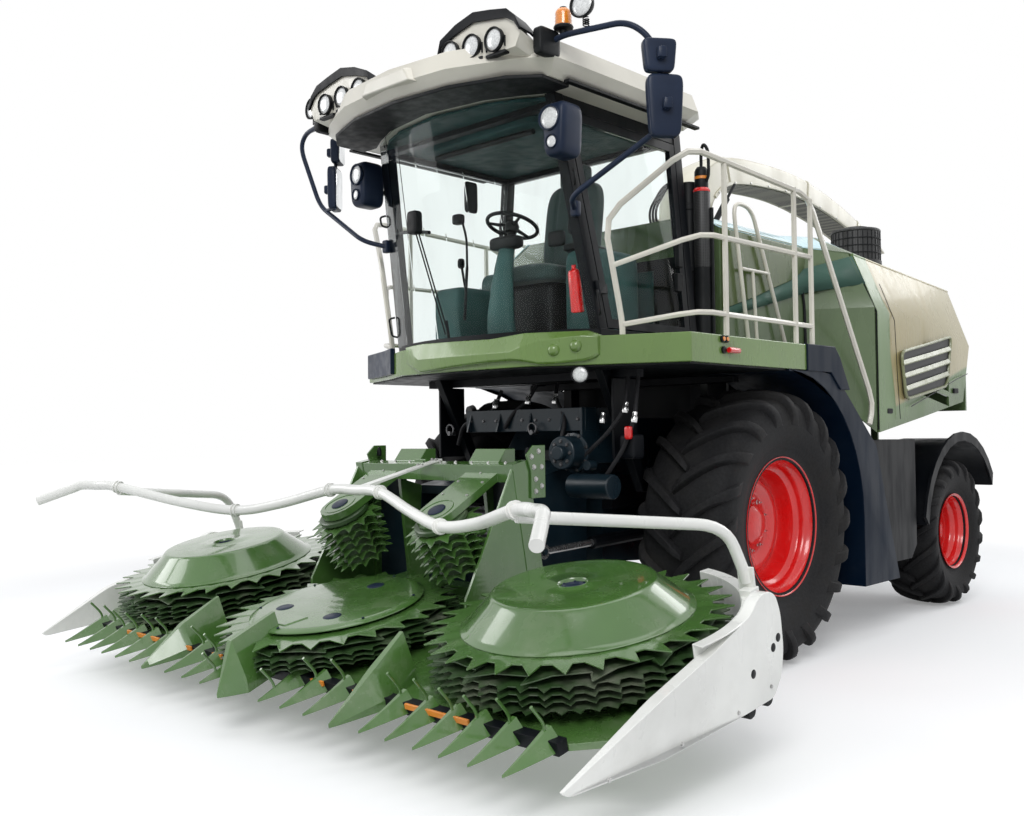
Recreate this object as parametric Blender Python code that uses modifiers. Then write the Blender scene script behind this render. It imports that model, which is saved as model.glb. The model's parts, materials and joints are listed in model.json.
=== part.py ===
# Forage harvester with a rotary maize header, metres, +Z up, front towards -Y.
# The machine's own left side is +X.  Sizes come first, then shape helpers,
# then one function for each sub-assembly.
import math

import bmesh
import bpy
from mathutils import Matrix, Vector

# General clearances
SEAT = 0.0003            # between pieces that rest on each other
RUNNING = 0.008          # between pieces that move past each other
BURY = 0.006             # how far joined shapes reach into each other
FLAT_ANGLE = math.radians(0.05)

# Wheels
WHEELBASE = 3.05
FRONT_TRACK = 2.23
FRONT_TYRE_RADIUS = 0.90
FRONT_TYRE_WIDTH = 0.62
FRONT_RIM_RADIUS = 0.44
FRONT_RIM_WIDTH = 0.50
FRONT_LUG_HEIGHT = 0.052
REAR_TRACK = 2.24
REAR_TYRE_RADIUS = 0.635
REAR_TYRE_WIDTH = 0.46
REAR_RIM_RADIUS = 0.31
REAR_RIM_WIDTH = 0.40
REAR_LUG_HEIGHT = 0.040
RIM_SHEET = 0.014
RIM_LIP = 0.028          # flange height above the bead seat
HUB_RADIUS = 0.15
KINGPIN_TRACK = 1.90
KINGPIN_RADIUS = 0.045
STEER_ARM_LENGTH = 0.16
TIE_ROD_RADIUS = 0.018

# Chassis
RAIL_OUTER = 0.52        # half width over the frame rails
RAIL_WIDTH = 0.08
RAIL_BASE = 1.02
RAIL_HEIGHT = 0.22
RAIL_FRONT = -0.72
RAIL_REAR = 3.72
CROSS_MEMBER = 0.12
AXLE_BEAM_DEPTH = 0.16   # half depth of the front axle casing
AXLE_BEAM_BASE = 0.72
REAR_BEAM_HALF = 0.07
DRIVE_RADIUS = 0.17
BULKHEAD_HALF_WIDTH = 0.72
BULKHEAD_Y = 0.38
BULKHEAD_TOP = 2.35
TANK_FRONT = 1.12        # side tanks between the wheels
TANK_REAR = 2.14
TANK_BASE = 0.50
TANK_TOP = 1.44
TANK_OUTER = 1.36
TANK_SLOPE_SHARE = 0.10

# Crop flow
THROAT_HALF_WIDTH = 0.40
LIFT_AXIS_Y = -0.70
LIFT_AXIS_Z = 1.30
LIFT_PIN_RADIUS = 0.035
CHOPPER_DEPTH = 1.06
CHOPPER_BASE = 0.64
CHOPPER_HEIGHT = 0.98
FEEDER_LENGTH = 0.80
FEEDER_BACK = 0.098      # from the lift axis to the housing's rear
FEEDER_HEIGHT = 0.66
FEED_ROLLER_RADIUS = 0.115

# Body
BODY_FRONT = -0.08
BODY_REAR = 3.40
BODY_BASE = 1.50
BODY_TOP = 3.00
BODY_HALF_WIDTH = 1.41
DECK_HALF_WIDTH = 0.98   # upper body beside the walkway
PANEL = 0.03
ENGINE_LENGTH = 1.25
ENGINE_WIDTH = 0.80
ENGINE_HEIGHT = 1.05

# Platform and fenders
PLATFORM_HALF_WIDTH = 1.45
PLATFORM_FRONT = -1.42
PLATFORM_REAR = 0.34
PLATFORM_BASE = 1.92
PLATFORM_HEIGHT = 0.17
FENDER_RADIUS = 1.00     # front arch, about the front hub
FENDER_SHEET = 0.012
FENDER_BASE = 0.40
REAR_FENDER_RADIUS = 0.78

# Cab
CAB_HALF_WIDTH = 0.92
CAB_FRONT = -1.56
CAB_REAR = -0.28
CAB_FLOOR = 2.10
CAB_TOP = 3.52
PILLAR = 0.075
CAB_PANEL = 0.04
GLASS = 0.008
ROOF_HALF_WIDTH = 1.04
ROOF_FRONT = -2.00
ROOF_REAR = -0.28
ROOF_HEIGHT = 0.30
LAMP_RADIUS = 0.062
POD_REACH = 0.020        # brow ahead of the roof front
POD_DEPTH = 0.125

# Rails, mirrors, stack
RAIL_TUBE = 0.019
MIRROR_TUBE = 0.016
STACK_RADIUS = 0.075
STACK_HEIGHT = 1.02

# Spout
TURRET_Y = 0.95
TURRET_RADIUS = 0.30
TURRET_HEIGHT = 0.20
SPOUT_WIDTH = 0.36
SPOUT_DEPTH = 0.26
SPOUT_REACH = 3.10
SPOUT_RISE = 0.62
FLAP_LENGTH = 0.42
SPOUT_GAP = 0.035        # room for the spout's foot to tip above the turret

# Header, in its own leaning frame: x across, v back, w up
HEADER_LEAN = math.radians(10.5)
HEADER_Y = -2.337
HEADER_Z = 0.816
DRUM_SPACING = 1.553
CENTRE_DRUM_AHEAD = 0.249
CENTRE_DRUM_DROP = 0.174
HOOD_TOP_RADIUS = 0.40
HOOD_BASE_RADIUS = 0.55
HOOD_HEIGHT = 0.145
DISC_RADIUS = 0.735
CENTRE_DISC_RADIUS = 0.68
SAW_RADIUS = 0.745
DISC_SHEET = 0.006
DISC_PITCH = 0.052
DRUM_CORE_RADIUS = 0.46
HEADER_HALF_WIDTH = 2.37
HEADER_BOTTOM = -0.43
SNOUT_REACH = 1.00       # snout tips ahead of the outer drum axes
SNOUT_WIDTH = 0.15
SNOUT_LENGTH = 0.28
SNOUT_HEIGHT = 0.075
INTAKE_SPACING = 0.444
INTAKE_LEAN = math.radians(29.0)
INTAKE_RADIUS = 0.23
INTAKE_LENGTH = 0.33
BAR_RADIUS = 0.030

# Lift cylinders, (y, z) places
CYLINDER_RADIUS = 0.042
CYLINDER_EYE_RADIUS = 0.040
ROD_RADIUS = 0.022
EYE_PIN = 0.018
CYLINDER_X = 0.50
CYLINDER_FOOT = (-AXLE_BEAM_DEPTH - CYLINDER_EYE_RADIUS - SEAT, 0.84)
CYLINDER_EYE = (-1.38, 0.80)
STROKE_SHARE = 0.60

# Shapes of the pieces, as shares of the sizes above, and their smaller sizes
# Tyre rows from the middle of the tread to the bead:
# lateral share of the half width, drop of the radius as a share of the side height, lug lift share
TYRE_ROW_SHARES = (
    (0.00, 0.00, 1.00),
    (0.50, 0.02, 1.00),
    (0.92, 0.12, 0.92),
    (1.00, 0.38, 0.10),
)
LUG_WIDTH_SHARES = (0.50, 0.42, 0.40, 0.40, 0.40)
LUG_SWEEP_SHARES = (0.0, 0.62, 1.10, 1.22, 1.22)
LUG_ROWS = 3
LUG_NOSE_SHARE = 0.04
DISH_DEPTH_SHARE = 0.52      # of the rim width, from the outer flange to the disc
RIM_WELL_SHARE = 0.86        # radius of the drop centre
HUB_REACH_SHARE = 0.34       # of the dish depth
RIM_SIDES = 18
FRONT_LUGS = 19
REAR_LUGS = 16
KNUCKLE_HALF_HEIGHT = 0.15
KNUCKLE_PLATE = 0.035
KINGPIN_SIDES = 16
CROSS_SHARES = (0.30, 0.56, 0.985)
OUTRIGGER_SHARES = ((0.50, 0.62), (0.985, 0.62))   # place along the rails, reach of the half width
BUMPER_SHARE = 0.60
# Final drives: start and end shares between rail and wheel disc, radius share
AXLE_SHARES = ((0.00, 0.30, 0.62), (0.26, 0.60, 1.00), (0.55, 1.00, 0.76))
# Chopper housing outline: back share of its depth, up share of its height
CHOPPER_SHARES = ((0.00, 0.03), (0.42, 0.00), (0.42, 0.44), (1.00, 0.58), (1.00, 1.00), (0.16, 1.00),
                  (0.00, 0.76))
FEEDER_SHARES = ((0.05, 0.02), (0.88, -0.30), (1.00, 0.55), (0.98, 0.84), (0.04, 1.06))
FEED_ROLLER_SHARES = (0.84, 0.50)
ROLLER_ROOT_SHARE = 0.84
ENGINE_BACK_SHARE = 0.36
# Platform edge in plan, one half: across share of the half width, back share of the platform length
PLATFORM_SHARES = ((0.00, -0.11), (0.40, -0.09), (0.69, 0.04), (1.00, 0.15), (1.00, 1.00), (0.68, 1.00),
                   (0.68, 0.80), (0.00, 0.80))
DOME_SHARES = ((0.50, -0.045), (0.60, -0.005))
POST_SHARES = ((0.03, 1.0),)
FENDER_INNER_SHARE = 0.54
FENDER_PANEL_SHARE = 0.025
FENDER_EDGE_SHARES = ((0.165, 0.0), (0.060, 0.66), (-0.07, 0.90), (-0.12, 0.985))
REAR_LIP_SHARE = 0.07
# Body corners: across share of the half width, back share, up share
SIDE_LOW_SHARES = ((0.69, 0.00, 0.40), (0.69, 0.17, 0.40), (0.69, 0.33, 0.30), (1.00, 0.405, 0.00))
SIDE_MID_SHARES = ((0.69, 0.00, 0.62), (0.69, 0.17, 0.62), (0.69, 0.33, 0.62), (1.00, 0.405, 0.62))
SIDE_TOP_SHARES = ((0.69, 0.00, 0.93), (0.69, 0.17, 0.93), (0.69, 0.33, 0.93), (0.86, 0.405, 0.90))
HOOD_SHARES = ((0.69, 0.00, 0.93), (0.69, 0.33, 0.93), (0.86, 0.405, 0.90), (0.84, 0.98, 0.83))
HOOD_CROWN_SHARE = 0.78
HOOD_RISE_SHARES = (0.07, 0.07, 0.10, 0.07)
DOOR_LOW_SHARES = ((1.00, 0.415, 0.00), (0.99, 0.66, 0.08), (0.97, 0.93, 0.17))
DOOR_MID_SHARES = ((1.00, 0.415, 0.60), (1.00, 0.66, 0.60), (0.96, 0.99, 0.50))
DOOR_TOP_SHARES = ((0.875, 0.415, 0.88), (0.87, 0.66, 0.85), (0.855, 0.97, 0.805))
REAR_WALL_SHARES = (0.12, 0.81, 0.94, 0.80)
REAR_SLATS = 9
HINGE_TILT_SHARE = 1.08
DOOR_SHEET = 0.018
VENT_SHARES = (0.22, 0.16, 0.17, 0.055)
CAB_TOP_HALF_WIDTH = 0.80
PILLAR_LEAN_SHARES = (0.20, 0.00)    # front pillar's foot and head, back share of the cab length
SCREEN_BOW = 0.26
REAR_SILL_SHARE = 0.42
SCREEN_SHARES = (-1.0, -0.75, -0.5, -0.25, 0.0, 0.25, 0.5, 0.75, 1.0)
DOOR_FRAME = 0.055
DOOR_HINGE_SHARES = (0.18, 0.85)
HINGE_RADIUS = 0.014
# Roof plan, one half: across share, back share; then levels: up share and size share
ROOF_SHARES = ((0.00, -0.10), (0.45, -0.07), (0.80, 0.02), (1.00, 0.10), (1.00, 0.92), (0.92, 1.00),
               (0.00, 1.00))
ROOF_LEVEL_SHARES = ((0.0, 0.92), (0.25, 1.00), (0.62, 0.97), (1.0, 0.72))
# Brow over each row of roof lamps: across share, up share
POD_SHARES = ((0.29, 0.40), (0.89, 0.36), (0.93, 0.62), (0.84, 1.04), (0.59, 1.22), (0.33, 0.95))
POD_REAR_SHARE = 0.76
ROOF_LAMP_SHARES = ((0.41, 0.66), (0.58, 0.63), (0.75, 0.60))
SEAT_WIDTH = 0.50
SEAT_DEPTH = 0.46
SEAT_THICK = 0.10
SEAT_STAND = 0.36
SEAT_BACK = 0.72
COLUMN_RADIUS = 0.075
COLUMN_HEIGHT = 0.66
COLUMN_REACH = 0.22
WHEEL_RADIUS = 0.19
# Left rail, from the front foot to the tail beside the fender:
# across share of the platform's half width, back share of its length, up share of the rail's height
GUARD_HEIGHT = 1.06
GUARD_TOP_SHARES = ((0.735, 0.09, 0.00), (0.735, 0.09, 0.07), (0.715, 0.02, 0.64), (1.00, 0.17, 1.00),
                    (1.00, 0.97, 0.95),
                    (1.005, 1.49, -0.36), (1.005, 1.45, -0.50))
GUARD_MID_SHARES = ((0.722, 0.05, 0.38), (1.00, 0.24, 0.55), (1.00, 1.03, 0.56))
GUARD_LOW_SHARES = ((0.74, 0.09, 0.06), (1.00, 0.22, 0.12), (1.00, 1.10, 0.12))
GUARD_POST_SHARES = (0.38, 0.86)
GUARD_BEND = 0.12
MIRROR_ARM_SHARES = ((0.93, 0.12, 0.30), (1.22, 0.13, 0.62), (1.50, 0.17, 0.40), (1.50, 0.24, -1.20),
                     (0.90, 0.28, -2.35))
MIRROR_SIZE = (0.19, 0.05, 0.34)
MIRROR_BEND = 0.08
MIRROR_PLACE_SHARES = ((0.25, 0.62), (0.68, 1.0))   # place down the arm, height share
LADDER_TUBE = 0.016
LADDER_HEIGHT = 0.56
LADDER_WIDTH = 0.30
# Spout centre line: back share of the reach, up share of the rise, depth share, width share
SPOUT_SHARES = ((0.00, 0.00, 1.10, 1.00), (0.00, 0.35, 1.05, 1.00), (0.05, 0.68, 1.00, 1.00), (0.15,
    0.90, 0.92, 0.95),
                (0.34, 1.00, 0.86, 0.90), (0.55, 1.00, 0.82, 0.84), (0.78, 0.84, 0.76, 0.78), (1.00,
                    0.56, 0.70, 0.72))
# Drum discs: depth in pitches below the hood, tip share of the disc radius, root share, teeth, tooth
# width share
OUTER_DISC_SHARES = ((0.5, 1.00, 0.885, 26, 1.0), (1.6, 0.98, 0.89, 26, 1.0))
SAW_SHARES = ((3.1, 1.00, 0.955, 36, 1.0),)
HUB_EYE = 0.07
DRUM_BOSS = 0.20
PAN_TOP = -0.40
DRUM_FOOT = -0.36
COVER_SHEET = 0.022
COVER_RADIUS = 0.49
INTAKE_DISCS = 4
INTAKE_TEETH = 10
INTAKE_CORE = 0.125
ARM_SHEET = 0.045
ARM_LENGTH = 0.46
INTAKE_BACK = 0.206
INTAKE_UP = 0.213
# Header pan outline, one half: across share of the half width, back share of the snout reach
PAN_SHARES = ((0.00, -0.70), (0.86, -0.70), (0.972, -0.50), (0.972, 0.30), (0.90, 0.46), (0.40, 0.60),
              (0.0, 0.60))
TUBE_HALF = 0.715
FUNNEL_FRONT = 0.03
FUNNEL_LIP = 0.20
FUNNEL_SHEET = 0.018
TUBE_BACK = 0.57
TUBE_DEPTH = 0.09
TUBE_LOW = 0.33
TUBE_HIGH = 0.43
SNOUT_X = (0.28, 0.47, 0.66, 1.08, 1.26, 1.44, 1.60, 1.77, 1.96)
BIG_SNOUT_X = 0.89
NECK_FRONT_DROP = 0.165   # centre divider below the hoods, at its front and rear
NECK_REAR_DROP = 0.10
# Crop divider between two drums: reach, half width and depth shares at its nose, waist and tail
BIG_SNOUT_SHARES = ((1.02, 0.05, 0.0), (0.74, 0.62, 0.27), (0.50, 0.38, 0.15))
DIVIDER_WIDTH = 0.06
# Outer divider outline: back share of the snout reach, up share of the drop from hood top to pan
DIVIDER_SHARES = ((-1.02, -0.92), (-0.52, -0.57), (-0.10, -0.44), (0.20, -0.36), (0.30, -0.20), (0.40,
                                                                                                 -0.20),
                  (0.45, -0.55), (0.40, -1.15), (0.30, -1.28), (-0.52, -1.10), (-1.00, -0.985))
GUARD_RADIUS = SAW_RADIUS + 2.5 * RUNNING
POST_ANGLE = math.radians(38.3)
POST_DROP = 0.11
# Push bar, from the centre to the outer end: across, back and up shares of the bar's half width
BAR_HALF_WIDTH = 2.24
BAR_SHARES = ((0.00, -0.003, 0.180), (0.103, -0.006, 0.178), (0.27, -0.055, 0.147), (0.42, -0.104, 0.134),
              (0.60, -0.165, 0.165), (0.798, -0.247, 0.223), (0.90, -0.32, 0.225), (1.00, -0.41, 0.195))
KNEE_RISE = 0.31
BAR_BEND = 0.25
PIPE_BEND = 0.14



def clear_scene():
    for item in list(bpy.data.objects):
        bpy.data.objects.remove(item, do_unlink=True)


clear_scene()
PARTS = bpy.data.collections.new("forage_harvester")
GUIDES = bpy.data.collections.new("cutters_and_guides")
bpy.context.scene.collection.children.link(PARTS)
bpy.context.scene.collection.children.link(GUIDES)

# colour, roughness, metallic
FINISHES = {
    "green": ((0.085, 0.165, 0.048), 0.30, 0.0),
    "olive": ((0.160, 0.235, 0.090), 0.35, 0.0),
    "cream": ((0.78, 0.76, 0.66), 0.35, 0.0),
    "white": ((0.86, 0.86, 0.82), 0.35, 0.0),
    "navy": ((0.010, 0.024, 0.040), 0.40, 0.0),
    "black": ((0.012, 0.012, 0.013), 0.50, 0.0),
    "rubber": ((0.020, 0.020, 0.021), 0.80, 0.0),
    "red": ((0.75, 0.012, 0.010), 0.35, 0.0),
    "steel": ((0.42, 0.43, 0.44), 0.38, 0.9),
    "glass": ((0.10, 0.20, 0.19), 0.05, 0.0),
    "seat": ((0.030, 0.065, 0.062), 0.70, 0.0),
    "tread": ((0.060, 0.062, 0.064), 0.55, 0.5),
}


def finish(name):
    material = bpy.data.materials.get(name)
    if material is None:
        colour, roughness, metallic = FINISHES[name]
        material = bpy.data.materials.new(name)
        material.use_nodes = True
        shader = material.node_tree.nodes["Principled BSDF"]
        shader.inputs["Base Color"].default_value = (*colour, 1.0)
        shader.inputs["Roughness"].default_value = roughness
        shader.inputs["Metallic"].default_value = metallic
        material.diffuse_color = (*colour, 1.0)
    return material


def empty(name, parent=None, place=(0, 0, 0), turn=(0, 0, 0)):
    item = bpy.data.objects.new(name, None)
    GUIDES.objects.link(item)
    item.parent = parent
    item.location = place
    item.rotation_euler = turn
    return item


def new_object(mesh):
    item = bpy.data.objects.new("shape", mesh)
    PARTS.objects.link(item)
    return item


def from_bmesh(bm):
    bmesh.ops.recalc_face_normals(bm, faces=bm.faces)
    mesh = bpy.data.meshes.new("shape")
    bm.to_mesh(mesh)
    bm.free()
    return new_object(mesh)


def box(low, high):
    """A block between two corners."""
    low, high = Vector(low), Vector(high)
    bm = bmesh.new()
    bmesh.ops.create_cube(bm, size=1)
    size = high - low
    bmesh.ops.transform(bm, matrix=Matrix.LocRotScale((low + high) / 2, None, size), verts=bm.verts)
    return from_bmesh(bm)


def rod(start, end, radius, end_radius=None, sides=12):
    """A round bar or cone between two points."""
    start, end = Vector(start), Vector(end)
    line = end - start
    bm = bmesh.new()
    bmesh.ops.create_cone(bm, cap_ends=True, segments=sides, radius1=radius,
                          radius2=radius if end_radius is None else end_radius, depth=line.length)
    turn = line.to_track_quat("Z", "X")
    bmesh.ops.transform(bm, matrix=Matrix.LocRotScale((start + end) / 2, turn, None), verts=bm.verts)
    return from_bmesh(bm)


def ball(centre, radius, sides=12):
    bm = bmesh.new()
    bmesh.ops.create_uvsphere(bm, u_segments=sides, v_segments=sides // 2, radius=radius)
    bmesh.ops.translate(bm, vec=Vector(centre), verts=bm.verts)
    return from_bmesh(bm)


AXIS_FRAMES = {
    "x": Matrix(((0, 0, 1), (1, 0, 0), (0, 1, 0))),
    "y": Matrix(((1, 0, 0), (0, 0, 1), (0, 1, 0))),
    "z": Matrix(((1, 0, 0), (0, 1, 0), (0, 0, 1))),
}


def slab(axis, outline, low, high):
    """A flat outline extruded along an axis; x takes (y, z), y takes (x, z), z takes (x, y)."""
    curve = bpy.data.curves.new("outline", "CURVE")
    curve.dimensions = "2D"
    curve.fill_mode = "BOTH"
    curve.extrude = (high - low) / 2
    spline = curve.splines.new("POLY")
    spline.points.add(len(outline) - 1)
    for point, (a, b) in zip(spline.points, outline):
        point.co = (a, b, 0, 1)
    spline.use_cyclic_u = True
    item = bpy.data.objects.new("outline", curve)
    PARTS.objects.link(item)
    shape = as_mesh(item)
    frame = AXIS_FRAMES[axis]
    offset = frame @ Vector((0, 0, (low + high) / 2))
    shape.data.transform(Matrix.Translation(offset) @ frame.to_4x4())
    return flat_faces(tidy_normals(shape))


def tidy_normals(item):
    bm = bmesh.new()
    bm.from_mesh(item.data)
    bmesh.ops.remove_doubles(bm, verts=bm.verts, dist=BURY / 1000)
    bmesh.ops.recalc_face_normals(bm, faces=bm.faces)
    bm.to_mesh(item.data)
    bm.free()
    return item


def flat_faces(item):
    """Joins neighbouring faces that lie in one plane."""
    bm = bmesh.new()
    bm.from_mesh(item.data)
    bmesh.ops.dissolve_limit(bm, angle_limit=FLAT_ANGLE, verts=bm.verts, edges=bm.edges)
    bm.to_mesh(item.data)
    bm.free()
    return item


def creased(item):
    """Splits bent faces into triangles, so that each one is flat."""
    bm = bmesh.new()
    bm.from_mesh(item.data)
    bmesh.ops.triangulate(bm, faces=bm.faces)
    bm.to_mesh(item.data)
    bm.free()
    return item


def as_mesh(item):
    """The evaluated shape as a plain mesh object; the original is removed."""
    graph = bpy.context.evaluated_depsgraph_get()
    mesh = bpy.data.meshes.new_from_object(item.evaluated_get(graph), depsgraph=graph)
    shape = new_object(mesh)
    shape.matrix_world = item.matrix_world
    bpy.data.objects.remove(item, do_unlink=True)
    return shape


def bent(points, bend, steps=4):
    """The points of a path with each inner corner rounded by an arc-like curve."""
    points = [Vector(p) for p in points]
    path = [points[0]]
    for before, here, after in zip(points, points[1:], points[2:]):
        reach_in = min(bend, (here - before).length / 2)
        reach_out = min(bend, (after - here).length / 2)
        first = here + (before - here).normalized() * reach_in
        last = here + (after - here).normalized() * reach_out
        for step in range(steps + 1):
            t = step / steps
            path.append(first * (1 - t) ** 2 + here * 2 * t * (1 - t) + last * t ** 2)
    path.append(points[-1])
    return path


def tube(points, radius, bend=0.0, steps=2, resolution=1):
    """A bent round tube with closed ends."""
    path = bent(points, bend, steps) if bend else [Vector(p) for p in points]
    curve = bpy.data.curves.new("tube", "CURVE")
    curve.dimensions = "3D"
    curve.bevel_depth = radius
    curve.bevel_resolution = resolution
    curve.use_fill_caps = True
    spline = curve.splines.new("POLY")
    spline.points.add(len(path) - 1)
    for point, place in zip(spline.points, path):
        point.co = (*place, 1)
    item = bpy.data.objects.new("tube", curve)
    PARTS.objects.link(item)
    return tidy_normals(as_mesh(item))


def turned(profile, sides=24, axis="z"):
    """A closed profile of (radius, height) turned about an axis."""
    mesh = bpy.data.meshes.new("profile")
    points = [(radius, 0, height) for radius, height in profile]
    count = len(points)
    edges = [(k, (k + 1) % count) for k in range(count)]
    mesh.from_pydata(points, [(a, b) for a, b in edges if points[a][0] or points[b][0]], [])
    item = new_object(mesh)
    screw = item.modifiers.new("turn", "SCREW")
    screw.steps = sides
    screw.render_steps = sides
    screw.use_merge_vertices = True
    screw.merge_threshold = BURY / 1000
    shape = as_mesh(item)
    if axis == "x":
        shape.data.transform(Matrix.Rotation(math.pi / 2, 4, "Y"))
    return tidy_normals(shape)


def loft(rings):
    """A closed body through rings of points, with a cap on each end."""
    bm = bmesh.new()
    rows = [[bm.verts.new(point) for point in ring] for ring in rings]
    count = len(rows[0])
    for row, following in zip(rows, rows[1:]):
        for k in range(count):
            after = (k + 1) % count
            bm.faces.new((row[k], row[after], following[after], following[k]))
    bm.faces.new(rows[0])
    bm.faces.new(rows[-1])
    return from_bmesh(bm)


def sheet(rows, thickness):
    """A surface through rows of points, thickened inwards from them."""
    bm = bmesh.new()
    grid = [[bm.verts.new(point) for point in row] for row in rows]
    for row, following in zip(grid, grid[1:]):
        for k in range(len(row) - 1):
            bm.faces.new((row[k], row[k + 1], following[k + 1], following[k]))
    mesh = bpy.data.meshes.new("sheet")
    bm.to_mesh(mesh)
    bm.free()
    item = new_object(mesh)
    solid = item.modifiers.new("wall", "SOLIDIFY")
    solid.thickness = thickness
    solid.offset = 0
    solid.use_even_offset = True
    return tidy_normals(as_mesh(item))


def boolean(base, tools, operation):
    for tool in tools:
        step = base.modifiers.new("step", "BOOLEAN")
        step.operation = operation
        step.object = tool
    shape = as_mesh(base)
    for tool in tools:
        bpy.data.objects.remove(tool, do_unlink=True)
    return flat_faces(tidy_normals(shape))


def fuse(shapes):
    return boolean(shapes[0], shapes[1:], "UNION") if len(shapes) > 1 else shapes[0]


def cut(base, tools):
    return boolean(base, tools, "DIFFERENCE")


def mirrored(shape):
    """A copy of a shape on the other side of the centre plane."""
    mesh = shape.data.copy()
    mesh.transform(Matrix.Scale(-1, 4, Vector((1, 0, 0))))
    mesh.flip_normals()
    return new_object(mesh)


def both(shape):
    return [shape, mirrored(shape)]


def node(name, shape, finish_name, parent):
    """Names a finished shape, gives it its finish and hangs it on its parent."""
    shape.name = name
    shape.data.name = name
    shape.data.materials.clear()
    shape.data.materials.append(finish(finish_name))
    for face in shape.data.polygons:
        face.material_index = 0
    shape.data.shade_smooth()
    shape.data.set_sharp_from_angle(angle=math.radians(35))
    shape.parent = parent
    return shape


def between(low, high, share):
    return low + (high - low) * share


def spot(low, high, shares):
    """The point at the given shares of the way between two corners."""
    return tuple(between(a, b, s) for a, b, s in zip(low, high, shares))


def arc(centre, radius, start, end, steps):
    """Points on an arc in a plane, angles in degrees."""
    angles = [math.radians(between(start, end, k / steps)) for k in range(steps + 1)]
    return [(centre[0] + radius * math.cos(a), centre[1] + radius * math.sin(a)) for a in angles]


def tyre(radius, width, bead, bead_width, lug_height, lugs, hand):
    """A bar-lug drive tyre about the X axis: two halves of lugs, staggered by half a pitch.

    The lugs trail outwards when the machine rolls forwards, so the sweep turns with the hand.
    """
    carcass = radius - lug_height
    side = carcass - bead
    pitch = 2 * math.pi / lugs
    flange = bead + RIM_LIP + BURY
    row_shares = TYRE_ROW_SHARES + ((bead_width / width, (carcass - flange) / side, 0.0),)

    def row_angle(half, row, edge):
        lug, end = divmod(edge + half, 2)
        start = (lug - half / 2) * pitch - hand * LUG_SWEEP_SHARES[row] * pitch
        return start + end * LUG_WIDTH_SHARES[row] * pitch

    def point(half, row, edge, lift):
        lateral, drop, rise = row_shares[row]
        lateral = max(lateral, LUG_NOSE_SHARE * lift)
        x = lateral * width / 2 * (1 if half else -1)
        r = carcass - drop * side + lift * rise * lug_height
        angle = row_angle(half, row, edge)
        return (x, r * math.cos(angle), r * math.sin(angle))

    bm = bmesh.new()
    rows = len(row_shares)
    edges = 2 * lugs
    base = {}
    for half in (0, 1):
        for row in range(rows):
            for edge in range(edges):
                if half and row == 0:
                    base[half, row, edge] = base[0, 0, edge]
                else:
                    base[half, row, edge] = bm.verts.new(point(half, row, edge, 0))
        for edge in range(edges):
            angle = row_angle(half, rows - 1, edge)
            x = bead_width / 2 * (1 if half else -1)
            place = (x, bead * math.cos(angle), bead * math.sin(angle))
            base[half, rows, edge] = bm.verts.new(place)
    for half in (0, 1):
        for edge in range(edges):
            after = (edge + 1) % edges
            raised = (edge + half) % 2 == 0
            first = LUG_ROWS if raised else 0
            for row in range(first, rows):
                bm.faces.new((base[half, row, edge], base[half, row, after],
                              base[half, row + 1, after], base[half, row + 1, edge]))
            if not raised:
                continue
            low = [(base[half, row, edge], base[half, row, after]) for row in range(LUG_ROWS + 1)]
            high = [(bm.verts.new(point(half, row, edge, 1)), bm.verts.new(point(half, row, edge + 1, 1)))
                    for row in range(LUG_ROWS + 1)]
            for row in range(LUG_ROWS):
                bm.faces.new((high[row][0], high[row][1], high[row + 1][1], high[row + 1][0]))
                for flank in (0, 1):
                    bm.faces.new((low[row][flank], high[row][flank],
                                  high[row + 1][flank], low[row + 1][flank]))
            for row in (0, LUG_ROWS):
                bm.faces.new((low[row][0], low[row][1], high[row][1], high[row][0]))
    for edge in range(edges):
        after = (edge + 1) % edges
        bm.faces.new((base[0, rows, edge], base[0, rows, after], base[1, rows, after], base[1, rows, edge]))
    return from_bmesh(bm)


def rim(radius, width, lugs):
    """A deep-dished rim about the X axis, outer side at +X, with its disc and hub."""
    lip = radius + RIM_LIP
    seat = radius * math.cos(math.pi * (1 - LUG_WIDTH_SHARES[-1]) / lugs) - SEAT
    half = width / 2
    disc = half - DISH_DEPTH_SHARE * width
    well = radius * RIM_WELL_SHARE
    hub = disc + HUB_REACH_SHARE * DISH_DEPTH_SHARE * width
    profile = [
        (lip, half), (lip, half - RIM_SHEET), (seat, half - RIM_SHEET),
        (well, half - 6 * RIM_SHEET), (well, -half + 6 * RIM_SHEET),
        (seat, -half + RIM_SHEET), (lip, -half + RIM_SHEET), (lip, -half), (seat - RIM_LIP / 2, -half),
        (well - RIM_SHEET, -half + 6 * RIM_SHEET), (well - RIM_SHEET, disc - RIM_SHEET), (0,
                                                                                          disc - RIM_SHEET),
        (0, hub), (HUB_RADIUS * RIM_WELL_SHARE, hub), (HUB_RADIUS, disc),
        (well - 2 * RIM_SHEET, disc), (well - RIM_SHEET, half - 6 * RIM_SHEET), (seat - RIM_LIP / 2, half),
    ]
    return turned(profile[::-1], RIM_SIDES, axis="x")


def wheel_face(width):
    """How far inside the wheel's middle its disc's inner face lies."""
    return width / 2 - DISH_DEPTH_SHARE * width - RIM_SHEET


def front_wheels(machine):
    bead = FRONT_RIM_RADIUS
    for side, hand in (("left", 1), ("right", -1)):
        place = (hand * FRONT_TRACK / 2, 0, FRONT_TYRE_RADIUS)
        hub = empty("front_hub_" + side, machine, place, (0, 0, 0 if hand > 0 else math.pi))
        cover = tyre(FRONT_TYRE_RADIUS, FRONT_TYRE_WIDTH, bead, FRONT_RIM_WIDTH - 2 * RIM_SHEET - 2 * SEAT,
                     FRONT_LUG_HEIGHT, FRONT_LUGS, hand)
        node("front_tyre_" + side, cover, "rubber", hub)
        node("front_rim_" + side, rim(FRONT_RIM_RADIUS, FRONT_RIM_WIDTH, FRONT_LUGS), "red", hub)


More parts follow.
